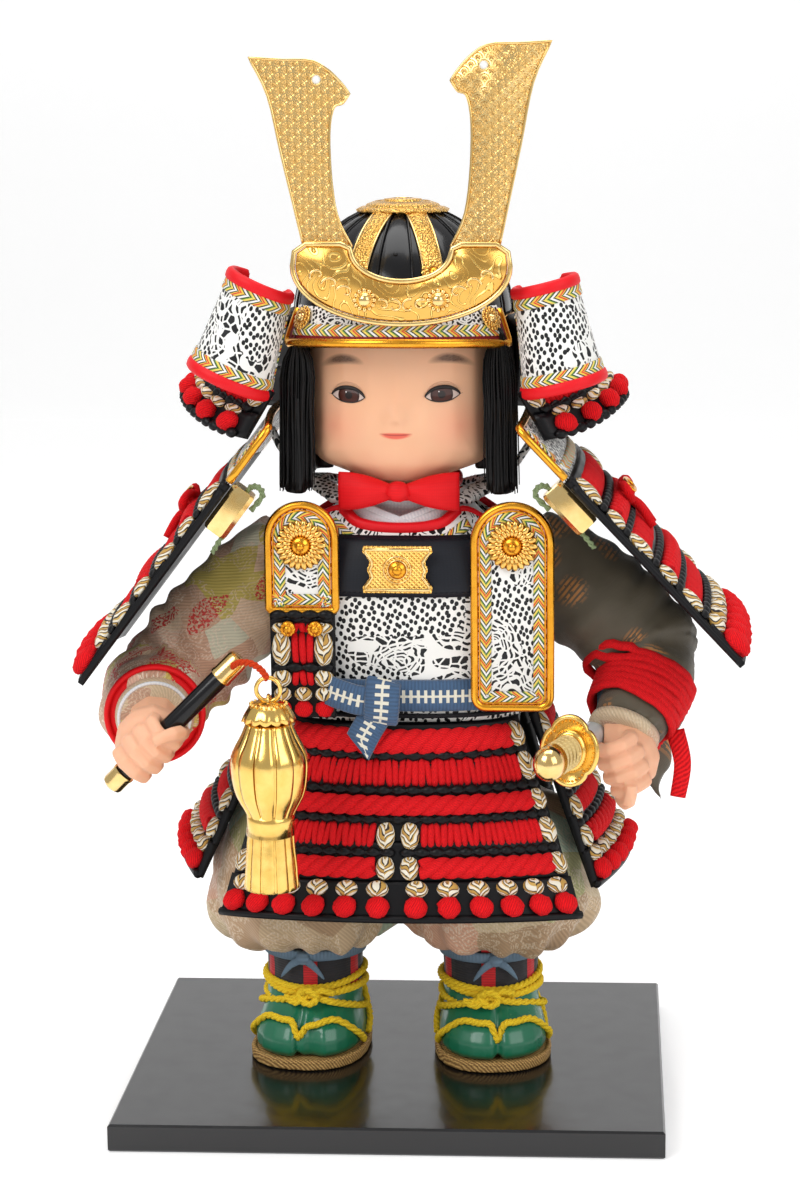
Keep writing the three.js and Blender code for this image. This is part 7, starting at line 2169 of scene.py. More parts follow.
def arch_outline(centre, top, wide, tall, corner=5, flat=1.0):
    """A plate with a round top and rounded bottom corners, in (x, z) millimetres."""
    half = wide / 2
    outline = []
    for k in range(25):
        angle = math.pi * (1 - k / 24)
        outline.append((centre + half * math.cos(angle), top - half * flat + half * flat * math.sin(angle)))
    for turn, (cx, cz) in ((0, (centre + half - corner, top - tall + corner)),
                           (1, (centre - half + corner, top - tall + corner))):
        for k in range(9):
            angle = -math.pi / 2 * (k / 8) - turn * math.pi / 2
            outline.append((cx + corner * math.cos(angle), cz + corner * math.sin(angle)))
    return outline


def inset_line(outline, by):
    """The outline drawn in by so many millimetres."""
    count = len(outline)
    moved = []
    for i, (x, z) in enumerate(outline):
        ax, az = outline[i - 1]
        bx, bz = outline[(i + 1) % count]
        dx, dz = bx - ax, bz - az
        size = math.hypot(dx, dz) or 1
        moved.append((x + dz / size * by, z - dx / size * by))
    return moved


def dense(points, step=1.2):
    """More points along a closed outline."""
    result = []
    for (ax, az), (bx, bz) in zip(points, points[1:] + points[:1]):
        count = max(int(math.hypot(bx - ax, bz - az) / step), 1)
        result += [(lerp(ax, bx, k / count), lerp(az, bz, k / count)) for k in range(count)]
    return result


def make_breast_plate(name, body, node, centre, top, wide, tall, front, corner):
    outline = arch_outline(centre, top, wide, tall, corner)
    plate = Build()
    extrude_outline(plate, inset_line(outline, 0.6)[::-1], 1.6, front + 1.8, 0.1)
    crease(plate.make(name + "_leather", body, looks["leather"], "printed_leather", [node]), 50)
    rim = Build()
    fine = dense(inset_line(outline, 1.2))
    ring = [on_doll(x, front + 0.6, z) for x, z in fine]
    rim.sweep(line_frames(ring, FORWARD, True), [(1.35, 1.35)] * len(ring), 12, closed=True)
    inner = dense(inset_line(outline, 2.9))
    ring = [on_doll(x, front + 0.1, z) for x, z in inner]
    rim.sweep(line_frames(ring, FORWARD, True), [(0.35, 0.45)] * len(ring), 6, closed=True)
    rim.make(name + "_rim", body, looks["gilt_deep"], "gilt")
    braid = Build()
    inner = dense(inset_line(outline, 4.9))
    bottom = min(range(len(inner)), key=lambda i: (inner[i][1], abs(inner[i][0] - centre)))
    ordered = inner[bottom:] + inner[:bottom + 1]
    ring = [on_doll(x, front + 0.2, z) for x, z in ordered]
    ribbon(braid, line_frames(ring, FORWARD), 1.8, 0.6)
    braid.make(name + "_braid", body, looks["braid"], "braid")


def make_breast_guards():
    make_breast_plate("left_breast", "left_breast_guard", "left_breast_plate", 37, 207, 27, 69, -31.0, 5)
    make_breast_plate("right_breast", "right_breast_guard", "right_breast_plate", -31, 207, 24, 37, -31.9,
                      2.5)
    for side, x, front in (("left", 37, -31.6), ("right", -31, -32.5)):
        rosette(side + "_breast_flower", side + "_breast_guard", on_doll(x, front, 193), FORWARD, 8.3,
                petals=22, replaces=[side + "_breast_rosette"])
    body = "right_breast_guard"
    surface = Surface(lambda u, v: on_doll(-31 + (u - 0.5) * 21, -31.7, 171.2 - 35.5 * v),
                      on_doll(-31, 0, 150))
    lacing = Lacing(surface)
    for row in range(3):
        lacing.plate(row / 3, (row + 1) / 3, 0.6, 1.6)
    lacing.beads(0.035, 0.9, 1.3)
    lacing.beads(0.075, 0.7, 1.0)
    lacing.cord_row(0.11, 0.2)
    lacing.cord_row(0.2, 0.5, 1.3)
    lacing.beads(0.525)
    lacing.cord_row(0.55, 0.7)
    lacing.knots_row(0.72, 0.83, 7.0, 2.9)
    lacing.tuft_row(0.845, 0.985, 3, 2.3, 1.4)
    lacing.make("right_breast", body, "right_breast_lames")
    buttons = Build()
    for turn in (-1, 1):
        spot = surface.point(0.5 + turn * 0.21, 0.15, 2.6)
        buttons.turned([[0, 0], [2.5, 0], [2.6, 0.7], [2.2, 1.3], [1.4, 1.4], [1.3, 1.9], [0.7, 2.3],
                        [0, 2.4]], 20, spot, FORWARD)
        for k in range(12):
            angle = TURN * k / 12
            away = Vector((math.cos(angle), 0, math.sin(angle)))
            side = Vector((-math.sin(angle), 0, math.cos(angle)))
            buttons.blob((spot + away * (1.95 * MM) + FORWARD * (1.2 * MM), side, away, FORWARD),
                         (0.45, 0.6, 0.4), (6, 5))
    buttons.make("right_breast_buttons", body, looks["gilt_deep"], "gilt")


# Arms and hands

ARMS = {
    "right": (-1, [(0, 0, 0), (23, 27, 2.1), (44, 48, 7), (42, 50, 35)]),
    "left": (1, [(0, 0, 0), (24, 19, 2.4), (43.5, 36, 4.8), (36, 56, 24)]),
}


def arm_line(side, steps=40):
    sign, places = ARMS[side]
    points = [Vector((sign * (38 + out) + TRUNK_OFFSET, TRUNK_SET_BACK - reach, 186.3 - drop)) for out, drop,
              reach in places]
    return smooth_line(points, steps)


def along_arm(line, point):
    """(millimetres along, degrees round, distance) of a point beside an arm's middle line."""
    best = min(range(len(line)), key=lambda i: (line[i] - point).length_squared)
    run = sum((b - a).length for a, b in zip(line[:best], line[1:best + 1]))
    direction = (line[min(best + 1, len(line) - 1)] - line[max(best - 1, 0)]).normalized()
    away = point - line[best]
    run += away.dot(direction)
    flat = away - direction * away.dot(direction)
    side = direction.cross(FORWARD).normalized()
    up = side.cross(direction)
    return run, math.degrees(math.atan2(flat.dot(up), flat.dot(side))), flat.length


CLOTH_SCALE = 8


def puff(obj, pressure, limit, stiff=18, shrink=-0.06, frames=16):
    """Fills a cloth piece with air in a short simulation, and holds each point within limit millimetres."""
    scene = bpy.context.scene
    start = [v.co.copy() for v in obj.data.vertices]
    for vertex in obj.data.vertices:
        vertex.co *= CLOTH_SCALE
    sim = obj.modifiers.new("cloth", "CLOTH")
    settings = sim.settings
    settings.quality = 5
    settings.use_pressure = True
    settings.uniform_pressure_force = pressure
    settings.shrink_min = shrink
    settings.tension_stiffness = stiff
    settings.compression_stiffness = stiff
    settings.bending_stiffness = 0.4
    settings.effector_weights.gravity = 0
    sim.collision_settings.use_collision = False
    sim.point_cache.frame_start = 1
    sim.point_cache.frame_end = frames
    scene.frame_start, scene.frame_end = 1, frames
    for number in range(1, frames + 1):
        scene.frame_set(number)
    settle(obj)
    for vertex, old in zip(obj.data.vertices, start):
        moved = vertex.co / CLOTH_SCALE - old
        if moved.length > limit * MM:
            moved *= limit * MM / moved.length
        vertex.co = old + moved
    scene.frame_set(1)


def finer(obj, levels=1):
    made = obj.modifiers.new("finer", "SUBSURF")
    made.levels = levels
    made.render_levels = levels
    settle(obj)


def puffed_copy(name, node, body, look, voxel, place_uv, folds, pressure, limit, keep=()):
    """A padded cloth piece: remeshed from the solid, folded, filled in a cloth run, and subdivided."""
    obj = soft_copy(name, node, body, look, voxel, 4, None, lambda p, normal: normal * folds(p), keep)
    puff(obj, pressure, limit)
    finer(obj)
    finish_soft(obj, place_uv, lambda p, normal: normal * (0.5 * folds(p)))
    obj.data.materials.clear()
    obj.data.materials.append(look)
    return obj


def make_sleeves():
    for side, look, slot, fill in (("right", "sleeve", "sleeve_brocade", 0.6),
                                   ("left", "olive", "olive_brocade", 0.55)):
        sign = ARMS[side][0]
        line = arm_line(side)
        total = sum((b - a).length for a, b in zip(line, line[1:]))

        def place_uv(point, line=line):
            run, degrees, _ = along_arm(line, point)
            return (degrees / 360 * TURN * 17, run)

        def folds(point, line=line, total=total, sign=sign):
            run, degrees, _ = along_arm(line, point)
            share = run / total
            crook = bell(share - 0.62, 0.2)
            twist = math.radians(degrees)
            waves = math.sin(run * 0.62 + 1.6 * math.sin(twist + 1.1) + 0.8 * math.cos(2 * twist))
            drift = noise(point * 0.075 + Vector((7 * sign, 0, 0)))
            upper = max(-sign * math.cos(math.radians(degrees)), 0) * bell(share - 0.36, 0.22)
            return (0.5 + 0.9 * crook) * waves * (0.6 + 0.5 * drift) + 1.1 * drift + 2.4 * upper - 0.9

        puffed_copy(side + "_sleeve_cloth", side + "_sleeve", "stand", looks[look], 2.4, place_uv,
                    folds, 4.0, 5)


def ring_frames(centre, axis, wide, deep, steps, side=FORWARD):
    first = side.cross(axis).normalized()
    second = axis.cross(first)
    points = [centre + (first * (wide * math.cos(TURN * k / steps))
                        + second * (deep * math.sin(TURN * k / steps))) * MM
              for k in range(steps)]
    return line_frames(points, [(p - centre).normalized() for p in points], True)


def make_cuffs():
    """The lining, brocade cuffs and white hem at the wrists."""
    line = arm_line("right")
    end = line[-1] * MM
    axis = (line[-1] - line[-3]).normalized()
    lining = Build()
    lining.sweep(ring_frames(end + axis * (0.4 * MM), axis, 15.8, 15.6, 48), [(1.7, 1.0)] * 48, 8,
                 closed=True)
    lining.turned([[0, -1.0], [15.3, -0.6], [15.3, 0.6], [12.5, 1.1], [0, 1.1]], 40, end, axis)
    lining.make("right_cuff_lining", "stand", looks["red_silk"], "red_cloth")
    cuff = Build()
    cuff.turned([[0, 0.4], [12.6, 0.4], [12.9, 2.6], [12.3, 4.6], [10.8, 5.6], [0, 5.4]], 40, end, axis)
    cuff.make("right_cuff", "stand", looks["cuff"], "sleeve_brocade")
    hem = Build()
    hem.sweep(ring_frames(end + axis * (5.3 * MM), axis, 11.6, 11.5, 48), [(0.6, 0.6)] * 48, 8, closed=True)
    hem.make("right_cuff_hem", "stand", looks["white"], "white_cloth")
    line = arm_line("left")
    end = line[-1] * MM
    axis = (line[-1] - line[-3]).normalized()
    cuff = Build()
    cuff.turned([[0, 0.2], [11.9, 0.2], [12.2, 2.0], [11.2, 4.0], [0, 4.0]], 40, end, axis)
    cuff.make("left_cuff", "stand", looks["cuff"], "sleeve_brocade")


def make_wrap():
    """The ribbed red wrap round the left forearm, and its tail."""
    points, faces = node_mesh("left_sleeve")
    tree = BVHTree.FromPolygons(points, faces)
    line = arm_line("left")
    wrap = Build()
    turns = 7
    for k in range(turns):
        share = lerp(0.775, 0.915, k / (turns - 1))
        place = share * (len(line) - 1)
        i = int(place)
        centre = line[i].lerp(line[i + 1], place - i) * MM
        axis = (line[min(i + 2, len(line) - 1)] - line[max(i - 1, 0)]).normalized()
        first = FORWARD.cross(axis).normalized()
        second = axis.cross(first)
        ring = []
        for step in range(64):
            angle = TURN * step / 64
            away = first * math.cos(angle) + second * math.sin(angle)
            hit, _, _, _ = tree.ray_cast(centre + away * (36 * MM), -away)
            reach = (hit - centre).length if hit else 16 * MM
            reach = min(reach, 20 * MM)
            sway = 0.8 * math.sin(2 * angle + k) + 0.5 * math.sin(5 * angle + 2.0 * k)
            ring.append(centre + away * (reach + 0.9 * MM) + axis * (sway * MM * 0.6))
        outs = [(p - centre).normalized() for p in ring]
        wrap.sweep(line_frames(ring, outs, True), [(1.75, 1.25)] * 64, 8, closed=True, uv_scale=3)
    start = line[int(0.86 * (len(line) - 1))] * MM
    low = [start + Vector((12, -4, -10)) * MM, start + Vector((14.5, -8, -20)) * MM,
           start + Vector((13, -10, -31)) * MM]
    tail = smooth_line(low, 12)
    frames = line_frames(tail, FORWARD)
    wrap.sweep(frames, [(lerp(3.2, 2.6, t), 1.0) for t in spread(12)], 10, 3.0)
    wrap.make("wrap", "stand", looks["red"], "red_cloth", ["arm_wrap"])
    patch = Build()
    inner = [line[26] * MM + Vector((-13, -3, 3)) * MM, line[29] * MM + Vector((-15, -5, -1)) * MM,
             line[32] * MM + Vector((-13.5, -4, -6)) * MM]
    ribbon(patch, line_frames(smooth_line(inner, 10), Vector((-0.8, -0.6, 0))), 3.0, 0.9)
    patch.make("left_sleeve_lining", "stand", looks["grey_blue"], "blue_cloth")


def make_hands():
    for side in ("right", "left"):
        soft_copy(side + "_fist", side + "_hand", "stand", looks["skin"], 0.62, 6)


BATON_AXIS = Vector((1, 0, 1)).normalized()
BATON_MIDDLE = (-78, -55, 131)


def make_baton():
    middle = on_doll(*BATON_MIDDLE)
    stick = Build()
    stick.turned([[0, -11.3], [3.1, -11.3], [3.2, -10.8], [3.2, 32.4], [3.1, 32.8], [0, 32.8]], 32, middle,
                 BATON_AXIS)
    crease(stick.make("baton_wood", "baton", looks["black"], "black_baton", ["baton_stick"]))
    caps = Build()
    for outline in ([[0, -18.1], [2.2, -18.1], [3.3, -17.4], [3.6, -16.6], [3.6, -12.6], [3.8, -12.2],
                     [3.8, -11.5], [0, -11.5]],
                    [[0, 33.0], [3.8, 33.0], [3.8, 34.0], [3.6, 34.4], [3.6, 40.9], [3.3, 41.7], [2.4, 42.1],
                     [0, 42.1]]):
        caps.turned(outline, 32, middle, BATON_AXIS)
    crease(caps.make("baton_caps", "baton", looks["gilt_pale"], "gilt", ["baton_top_cap", "baton_end_cap"]))


TASSEL_MIDDLE = (-38, -66)
TASSEL_TOP, TASSEL_LOW = 146, 89
TASSEL_RADIUS = 11.8
TASSEL_SHARES = [(0, 0.25), (0.02, 0.5), (0.07, 0.6), (0.13, 0.72), (0.24, 0.98), (0.34, 1), (0.46, 0.9),
                 (0.56, 0.66), (0.62, 0.56),
                 (0.7, 0.6), (0.84, 0.66), (1, 0.72)]
TASSEL_STRIPS = 12


def make_tassel():
    x, y = TASSEL_MIDDLE
    path = [on_doll(-50.2, -59, 158.8), on_doll(-47.6, -61.3, 160.6), on_doll(-43.4, -64.2, 161.0),
            on_doll(-40.0, -65.8, 159.2),
            on_doll(-38.2, -66, 156.6)]
    cord = Build()
    cord.twisted(path, 1.15, 2, 3.2, FORWARD, step=0.5)
    cord.make("tassel_string", "tassel_cord", looks["orange"], "orange_cord", ["tassel_cord"])
    strips = Build()
    middle = on_doll(x, y, 0)
    for layer, count, scale in ((0, TASSEL_STRIPS, 1.0), (1, TASSEL_STRIPS, 0.94)):
        for k in range(count):
            angle = TURN * (k + 0.5 * layer) / count + dice.uniform(-0.03, 0.03)
            away = Vector((math.cos(angle), math.sin(angle), 0))
            along = []
            halves = []
            for t in spread(34):
                share = lerp(0.05, 1, t)
                radius = TASSEL_RADIUS * follow(TASSEL_SHARES, share) * scale
                z = lerp(TASSEL_TOP, TASSEL_LOW, share)
                if share > 0.68:
                    radius += dice.uniform(-0.06, 0.06)
                along.append(middle + away * (radius * MM) + UP * (z * MM))
                halves.append(radius * math.pi / count * (0.93 if share < 0.6 else 0.86))
            frames = line_frames(along, away)
            rows = []
            for (point, across, out), half in zip(frames, halves):
                curve = 0.35
                rows.append([point + across * (s * half * MM) + out * (h * MM) for s, h in
                             ((-1, -0.25), (-0.98, 0.0), (-0.5, curve * 0.7), (0, curve), (0.5, curve * 0.7),
                              (0.98, 0.0), (1, -0.25),
                              (0, curve - 0.4))])
            first = strips.grid(rows, wrap=True, uv=lambda i, j: (j, i * 1.7))
            strips.cap(range(first, first + 8), flip=True)
            strips.cap(range(first + 34 * 8, first + 35 * 8))
    strips.make("tassel_strips", "tassel", looks["gilt_tassel"], "gilt", ["tassel"])
    fittings = Build()
    core = [[0, 90], [5.0, 90], [5.4, 104], [5.0, 110], [6.6, 118], [9.8, 127], [9.6, 132], [6.4, 140],
            [5.0, 144], [0, 145]]
    fittings.turned(core, 24, middle, UP)
    waist = TASSEL_RADIUS * 0.56 + 0.75
    height = lerp(TASSEL_TOP, TASSEL_LOW, 0.615)
    fittings.turned([[waist - 1.4, height - 4.6], [waist + 0.25, height - 4.6], [waist + 0.1, height],
                     [waist + 0.25, height + 3.2],
                     [waist - 1.2, height + 3.2]], 36, middle, UP, closed_ends=False)
    rows = []
    steps = 84
    for radius, z, wave_size in ((1.0, 149.4, 0), (4.4, 149.2, 0), (6.2, 147.8, 0.15), (7.4, 145.6, 0.5),
                                 (7.9, 144.0, 0.8),
                                 (7.2, 143.8, 0.8), (5.8, 146.2, 0.2), (1.0, 147.4, 0)):
        row = []
        for k in range(steps):
            angle = TURN * k / steps
            swell = wave_size * abs(math.sin(7 * angle))
            row.append(middle + Vector(((radius + swell) * math.cos(angle),
                                        (radius + swell) * math.sin(angle),
                                        z - 0.9 * swell)) * MM)
        rows.append(row)
    fittings.grid(rows, wrap=True)
    beads = 20
    for k in range(beads):
        angle = TURN * k / beads
        away = Vector((math.cos(angle), math.sin(angle), 0))
        fittings.blob((middle + away * (5.6 * MM) + UP * (148.7 * MM), away, UP, away.cross(UP)),
                      (0.6, 0.5, 0.6), (6, 5))
    ring = [on_doll(x + 3.8 * math.cos(TURN * t), y,
                    153.2 + 3.8 * math.sin(TURN * t)) for t in spread(36)[:-1]]
    fittings.sweep(line_frames(ring, FORWARD, True), [(0.7, 0.7)] * 36, 10, closed=True)
    loop = [on_doll(x, y + 1.8 * math.cos(TURN * t),
                    149.6 + 1.8 * math.sin(TURN * t)) for t in spread(20)[:-1]]
    fittings.sweep(line_frames(loop, Vector((1, 0, 0)), True), [(0.5, 0.5)] * 20, 8, closed=True)
    fittings.make("tassel_fittings", "tassel", looks["gilt_tassel"], "gilt")


looks["gilt_tassel"] = gilt("gilt_tassel", (0.92, 0.63, 0.19), 0.2, 0.03)
looks["steel"] = gilt("steel", (0.55, 0.57, 0.60), 0.22, 0.03)


# Sword

SWORD_PLACE = (56, -50, 130)
SWORD_AXIS = Vector((0.258, 0.963, -0.078)).normalized()


def oval_rings(build, centre, axis, rings, steps=32, lobes=None):
    """Rings of (place along the axis, half width, half height), joined and closed."""
    side = axis.cross(UP).normalized()
    up = side.cross(axis)
    rows = []
    for along, wide, tall in rings:
        row = []
        for k in range(steps):
            angle = TURN * k / steps
            swell = lobes(angle) if lobes else 1.0
            row.append(centre + axis * (along * MM) + (side * (wide * swell * math.cos(angle))
                                                       + up * (tall * swell * math.sin(angle))) * MM)
        rows.append(row)
    first = build.grid(rows, wrap=True, uv=lambda i, j: (j / steps * 30, rings[i][0]))
    build.cap(range(first, first + steps), flip=True)
    build.cap(range(first + (len(rows) - 1) * steps, first + len(rows) * steps))


def four_lobes(angle):
    return 0.9 + 0.13 * abs(math.cos(2 * angle)) ** 0.6


def make_sword():
    centre = on_doll(*SWORD_PLACE)
    side = SWORD_AXIS.cross(UP).normalized()
    up = side.cross(SWORD_AXIS)
    guard = Build()
    oval_rings(guard, centre, SWORD_AXIS, [(-0.5, 0.1, 0.1), (-0.5, 7.7, 9.6), (-0.95, 8.2, 10.1),
                                           (-1.0, 9.0, 11.0), (-0.5, 9.5, 11.5),
                                           (0.4, 9.5, 11.5), (0.9, 9.0, 11.0), (0.9, 0.1, 0.1)], 72,
                                           four_lobes)
    oval_rings(guard, centre, SWORD_AXIS, [(-1.9, 4.6, 5.6), (-1.2, 5.6, 6.8), (-0.4, 5.8, 7.0)], 36)
    guard.make("sword_guard_plate", "sword", looks["gilt_tassel"], "gilt", ["sword_guard"])
    dots = Build()
    for k in range(40):
        angle = TURN * k / 40
        swell = four_lobes(angle) * 0.83
        spot = centre - SWORD_AXIS * (0.95 * MM) + (side * (9.4 * swell * math.cos(angle))
                                                    + up * (11.4 * swell * math.sin(angle))) * MM
        dots.blob((spot, side, up, -SWORD_AXIS), (0.42, 0.42, 0.4), (6, 5))
    dots.make("sword_guard_dots", "sword", looks["gilt_deep"], "gilt")
    grip = Build()
    rings = []
    for t in spread(60):
        along = lerp(-1.4, -20.6, t)
        wrap = 0.16 * math.sin(t * TURN * 9)
        waist = 1 - 0.06 * math.sin(math.pi * t)
        rings.append((along, (4.2 + wrap) * waist, (5.0 + wrap) * waist))
    oval_rings(grip, centre, SWORD_AXIS, rings, 36)
    grip.make("sword_grip_core", "sword", looks["grip"], "gold_grip", ["sword_grip"])
    wraps = Build()
    for turn in (-1, 1):
        for k in range(2):
            line, outs = [], []
            for t in spread(80):
                along = lerp(-2.4, -19.6, t)
                angle = turn * t * TURN * 2.2 + math.pi * k
                away = (side * (4.35 * math.cos(angle)) + up * (5.15 * math.sin(angle)))
                line.append(centre + SWORD_AXIS * (along * MM) + away * MM)
                outs.append(away.normalized())
            ribbon(wraps, line_frames(line, outs), 0.95, 0.45)
    wraps.make("sword_grip_wrap", "sword", looks["grip"], "gold_grip")
    ends = Build()
    oval_rings(ends, centre, SWORD_AXIS, [(-1.0, 4.7, 5.6), (-1.2, 4.9, 5.8), (-3.2, 4.8, 5.7),
                                          (-3.5, 4.4, 5.3)], 36)
    oval_rings(ends, centre, SWORD_AXIS, [(-19.6, 4.5, 5.4), (-19.8, 5.0, 5.7), (-24.6, 4.9, 5.5),
                                          (-26.2, 4.5, 5.0), (-27.6, 3.5, 3.9),
                                          (-28.6, 2.0, 2.3), (-28.9, 0.1, 0.1)], 36)
    ends.make("sword_pommel", "sword", looks["gilt_pale"], "gilt")
    sheath = Build()
    rings = [(1.0, 4.2, 4.8)]
    for t in spread(24):
        rings.append((lerp(1.6, 110.4, t), 4.4 - 0.3 * t, 5.0 - 0.3 * t))
    rings += [(112.0, 3.4, 3.9), (112.8, 1.6, 2.0)]
    oval_rings(sheath, centre, SWORD_AXIS, rings, 32)
    sheath.make("scabbard_wood", "stand", looks["pale"], "pale_scabbard", ["scabbard"])
    bands = Build()
    for start, length in ((1.2, 5.0), (34, 4.0), (60, 4.0), (107.4, 5.2)):
        oval_rings(bands, centre, SWORD_AXIS, [(start, 4.5, 5.1), (start + 0.3, 4.75, 5.35),
                                               (start + length - 0.3, 4.7, 5.3),
                                              (start + length, 4.3, 4.9)], 32)
    bands.make("scabbard_bands", "stand", looks["gilt"], "gilt")


looks["grip"] = cloth("gold_grip", (0.80, 0.62, 0.28), (0.55, 0.36, 0.12), 1.8, 0.4, 0.2, 0.4)


def stripe_look(name, ground, stripe, period, share, roughness=0.7):
    """Cloth with stripes along its length."""
    n = Nodes(name, roughness, 0.0, ground, Sheen_Weight=0.15)
    x, _, _ = n.split(n.uv())
    where = n.math("FRACT", n.div(n.add(x, 500.0), period))
    weave = n.wave(n.uv(), 0.35, 0.2, "Y")
    base = n.mix(n.math("LESS_THAN", where, share), ground, stripe)
    n.set("Base Color", n.mix(n.mul(weave, 0.35), base, tuple(c * 0.5 for c in ground)))
    n.bump(n.math("MULTIPLY_ADD", n.noise(n.place(), 1.2, 2), 0.4, weave), 0.3, 0.2)
    return n.look


looks["gaiter"] = stripe_look("gaiter_cloth", (0.012, 0.011, 0.015), (0.62, 0.006, 0.012), 17.5, 0.27)


# Legs and feet

def make_trousers():
    def place_uv(point):
        side = 1 if point.x > 0 else -1
        angle = math.atan2(point.y - LEG_SET_BACK, point.x - side * STANCE / 2)
        return (angle * 30 + side * 100, point.z)

    def folds(point):
        side = 1 if point.x > 0 else -1
        angle = math.atan2(point.y - LEG_SET_BACK, point.x - side * STANCE / 2)
        low = bell(point.z - 50, 16)
        drift = noise(point * 0.05)
        gathered = math.sin(13 * angle + 2.2 * drift + point.z * 0.03)
        sag = math.sin(point.z * 0.34 + 2.5 * math.sin(angle * 2) + 3 * drift)
        return 0.95 * low * gathered + 0.5 * sag + 1.2 * drift - 1.0

    puffed_copy("trouser_cloth", "trousers", "stand", looks["trousers"], 2.6, place_uv,
                folds, 3.0, 4)


def make_feet():
    for side, sign in (("right", -1), ("left", 1)):
        centre = Vector((sign * STANCE / 2, LEG_SET_BACK, 0))
        turn = math.radians(sign * TOES_OUT)
        ahead = Vector((math.sin(turn), -math.cos(turn), 0))
        across = Vector((math.cos(turn), math.sin(turn), 0))

        def split(point, normal, centre=centre, ahead=ahead, across=across):
            away = point - centre
            share = min(max((away.dot(ahead) - 17) / 7, 0), 1)
            return normal * (-1.9 * share * bell(away.dot(across), 1.3))

        shoe = soft_copy(side + "_shoe_leather", side + "_shoe", "stand", looks["shoe"], 0.75,
                         5, move=split)
        tree = BVHTree.FromPolygons([v.co for v in shoe.data.vertices],
                                    [tuple(p.vertices) for p in shoe.data.polygons])
        soft_copy(side + "_straw_sole", side + "_sandal_sole", "stand", looks["straw"], 0.7, 2)

        def on_shoe(along, wide, z, lift=1.1):
            """A point of the shoe's skin above (along, wide), or beside it when z is given."""
            base = centre + ahead * along + across * wide
            if z is None:
                hit, normal, _, _ = tree.ray_cast(Vector((base.x, base.y, 60)) * MM, Vector((0, 0, -1)))
                if hit is None:
                    return Vector((base.x, base.y, 14)) * MM
                return hit + normal * (lift * MM)
            target = (centre + ahead * (along * 0.6)) * MM
            target.z = z * MM
            start = Vector((base.x, base.y, z)) * MM
            away = (start - target).normalized()
            hit, normal, _, _ = tree.ray_cast(target + away * (60 * MM), -away)
            return (hit + away * (lift * MM)) if hit else start

        rope = Build()
        edge = []
        for k in range(48):
            angle = TURN * k / 48
            x, y = rounded_point(angle, 18.9, 25.6, 2.35)
            wide = x * (1 + 0.1 * y / 25.6)
            spot = centre + across * wide + ahead * (y + 3)
            edge.append(Vector((spot.x, spot.y, 12.2)) * MM)
        half = [(9, 18.6, 14.6), (14, 17, 19), (19.5, 11.5, None), (22.5, 6, None), (23.5, 2.5, None)]
        thong = [on_shoe(along, -wide, z) for along, wide, z in half] + [on_shoe(25, 0, None, 0.3)]
        thong += [on_shoe(along, wide, z) for along, wide, z in reversed(half)]
        rope.twisted(thong, 1.25, 3, 6.5, UP, step=0.8)
        rope.twisted([on_shoe(2, -18.8, 14.6), on_shoe(-2, -18.6, 19), on_shoe(-5, -18, 24),
                      on_shoe(-12, -14, 31)], 1.2, 3, 6.5, UP, step=0.8)
        rope.twisted([on_shoe(2, 18.8, 14.6), on_shoe(-2, 18.6, 19), on_shoe(-5, 18, 24),
                      on_shoe(-12, 14, 31)], 1.2, 3, 6.5, UP, step=0.8)
        for turns, z, radius, lean in ((0, 31.0, 17.1, 1.5), (1, 33.2, 17.3, -1.5), (2, 35.4, 17.0, 0.7)):
            ring = []
            for k in range(56):
                angle = TURN * k / 56
                x, y = radius * math.cos(angle), radius * math.sin(angle)
                spot = centre + across * x + ahead * (y - 0.3)
                ring.append(Vector((spot.x, spot.y,
                                    z + lean * math.cos(angle) + 0.9 * math.sin(2 * angle + turns))) * MM)
            ring.append(ring[0])
            rope.twisted(ring, 1.25, 3, 6.5, UP, step=0.8)
        front = centre + ahead * 19.4 - across * (sign * 2.5)
        knot = Vector((front.x, front.y, 33.0)) * MM
        for turn_side in (-1, 1):
            low = [knot, knot + (across * turn_side * 8 - ahead * 1.2 - UP * 2.2) * MM,
                   on_shoe(8, turn_side * 17.5, 26.5),
                   on_shoe(-2, turn_side * 18, 23.5)]
            rope.twisted(low, 1.25, 3, 6.5, ahead, step=0.8)
            end = [knot, knot + (across * turn_side * 4.5 + ahead * 1.2 + UP * (2.4 * turn_side)) * MM,
                   knot + (across * turn_side * 8.5 - ahead + UP * turn_side) * MM]
            rope.twisted(end, 1.2, 3, 6.5, ahead, step=0.8)
        turns = []
        for k in range(15):
            angle = TURN * k / 10
            turns.append(knot + (across * (3.1 * math.cos(angle)) + UP * (2.4 * math.sin(angle))
                                 + ahead * (1.2 + 0.9 * math.sin(angle * 1.5))) * MM)
        rope.twisted(turns, 1.25, 3, 6.0, ahead, step=0.7)
        rope.make(side + "_rope", "stand", looks["rope"], "yellow_rope", [side + "_sandal_rope"])
        plait = Build()
        plait.twisted(edge + [edge[0]], 1.05, 3, 5.0, UP, step=0.9)
        plait.make(side + "_sole_edge", "stand", looks["straw"], "straw")

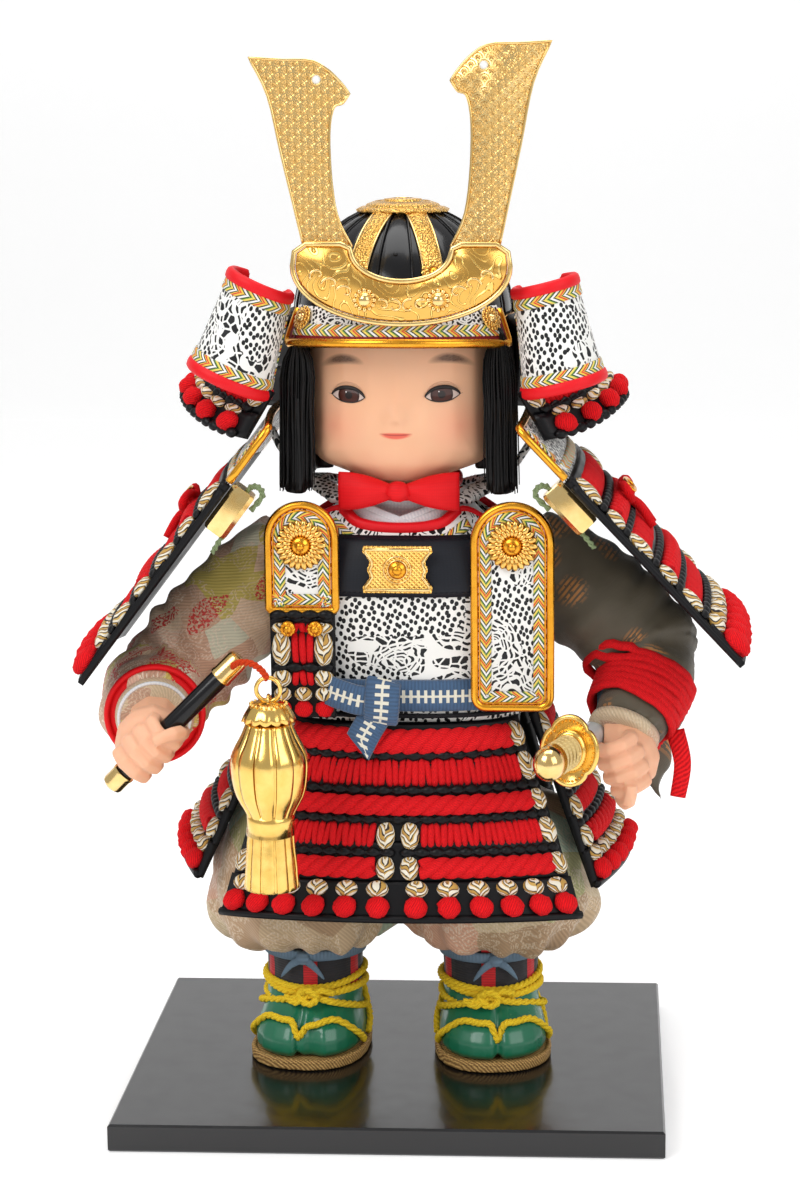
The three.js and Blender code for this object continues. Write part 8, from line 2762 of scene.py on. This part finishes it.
        def gaiter_uv(point, centre=centre):
            return (math.atan2(point.y - centre.y, point.x - centre.x) * 16, point.z)

        soft_copy(side + "_gaiter_cloth", side + "_gaiter", "stand", looks["gaiter"], 0.9, 2,
                  gaiter_uv,
                  lambda p, normal: normal * (0.35 * noise(p * 0.12)))
        tie = Build()
        ring = []
        for k in range(49):
            angle = TURN * k / 48
            spot = centre + across * (17.0 * math.cos(angle)) + ahead * (17.0 * math.sin(angle))
            ring.append(Vector((spot.x, spot.y, 45.6 + 0.6 * math.sin(angle))) * MM)
        outs = [Vector((p.x - centre.x * MM, p.y - centre.y * MM, 0)).normalized() for p in ring]
        ribbon(tie, line_frames(ring, outs), 1.9, 0.9)
        head_spot = centre + ahead * 17.8
        knot = Vector((head_spot.x, head_spot.y, 45.6)) * MM
        tie.blob((knot, across, -UP, ahead), (2.6, 2.4, 1.6), (10, 8), 0.1)
        for turn_side in (-1, 1):
            end = [knot, knot + (across * turn_side * 4 + ahead * 0.8 - UP * 2.5) * MM,
                   knot + (across * turn_side * 7.5 - UP * 7) * MM]
            line = smooth_line(end, 10)
            frames = line_frames(line, ahead)
            tie.sweep(frames, [(max(1.7 * (1 - t) ** 0.6, 0.15), 0.5) for t in spread(10)], 8, 3.0)
        tie.make(side + "_gaiter_tie", "stand", looks["grey_blue"], "blue_cloth")


def strap_uv(point):
    return (point.x, point.y + point.z)


def dress_nodes():
    """Gives the model's own pieces that stay in view their materials."""
    kept = {"base_board": "board", "body_core": "satin", "sword_blade": "steel"}
    for node, look in kept.items():
        obj = frame["nodes"][node]
        obj.data.materials.clear()
        obj.data.materials.append(looks[look])
    for side in ("right", "left"):
        soft_copy(side + "_strap_leather", side + "_shoulder_strap", "stand", looks["leather"],
                  0.7, 2, strap_uv)


make_cuirass()
make_chest()
make_collar()
make_bow()
make_sash()
make_breast_guards()
make_sleeves()
make_cuffs()
make_wrap()
make_hands()
make_baton()
make_tassel()
make_sword()
make_trousers()
make_feet()
dress_nodes()
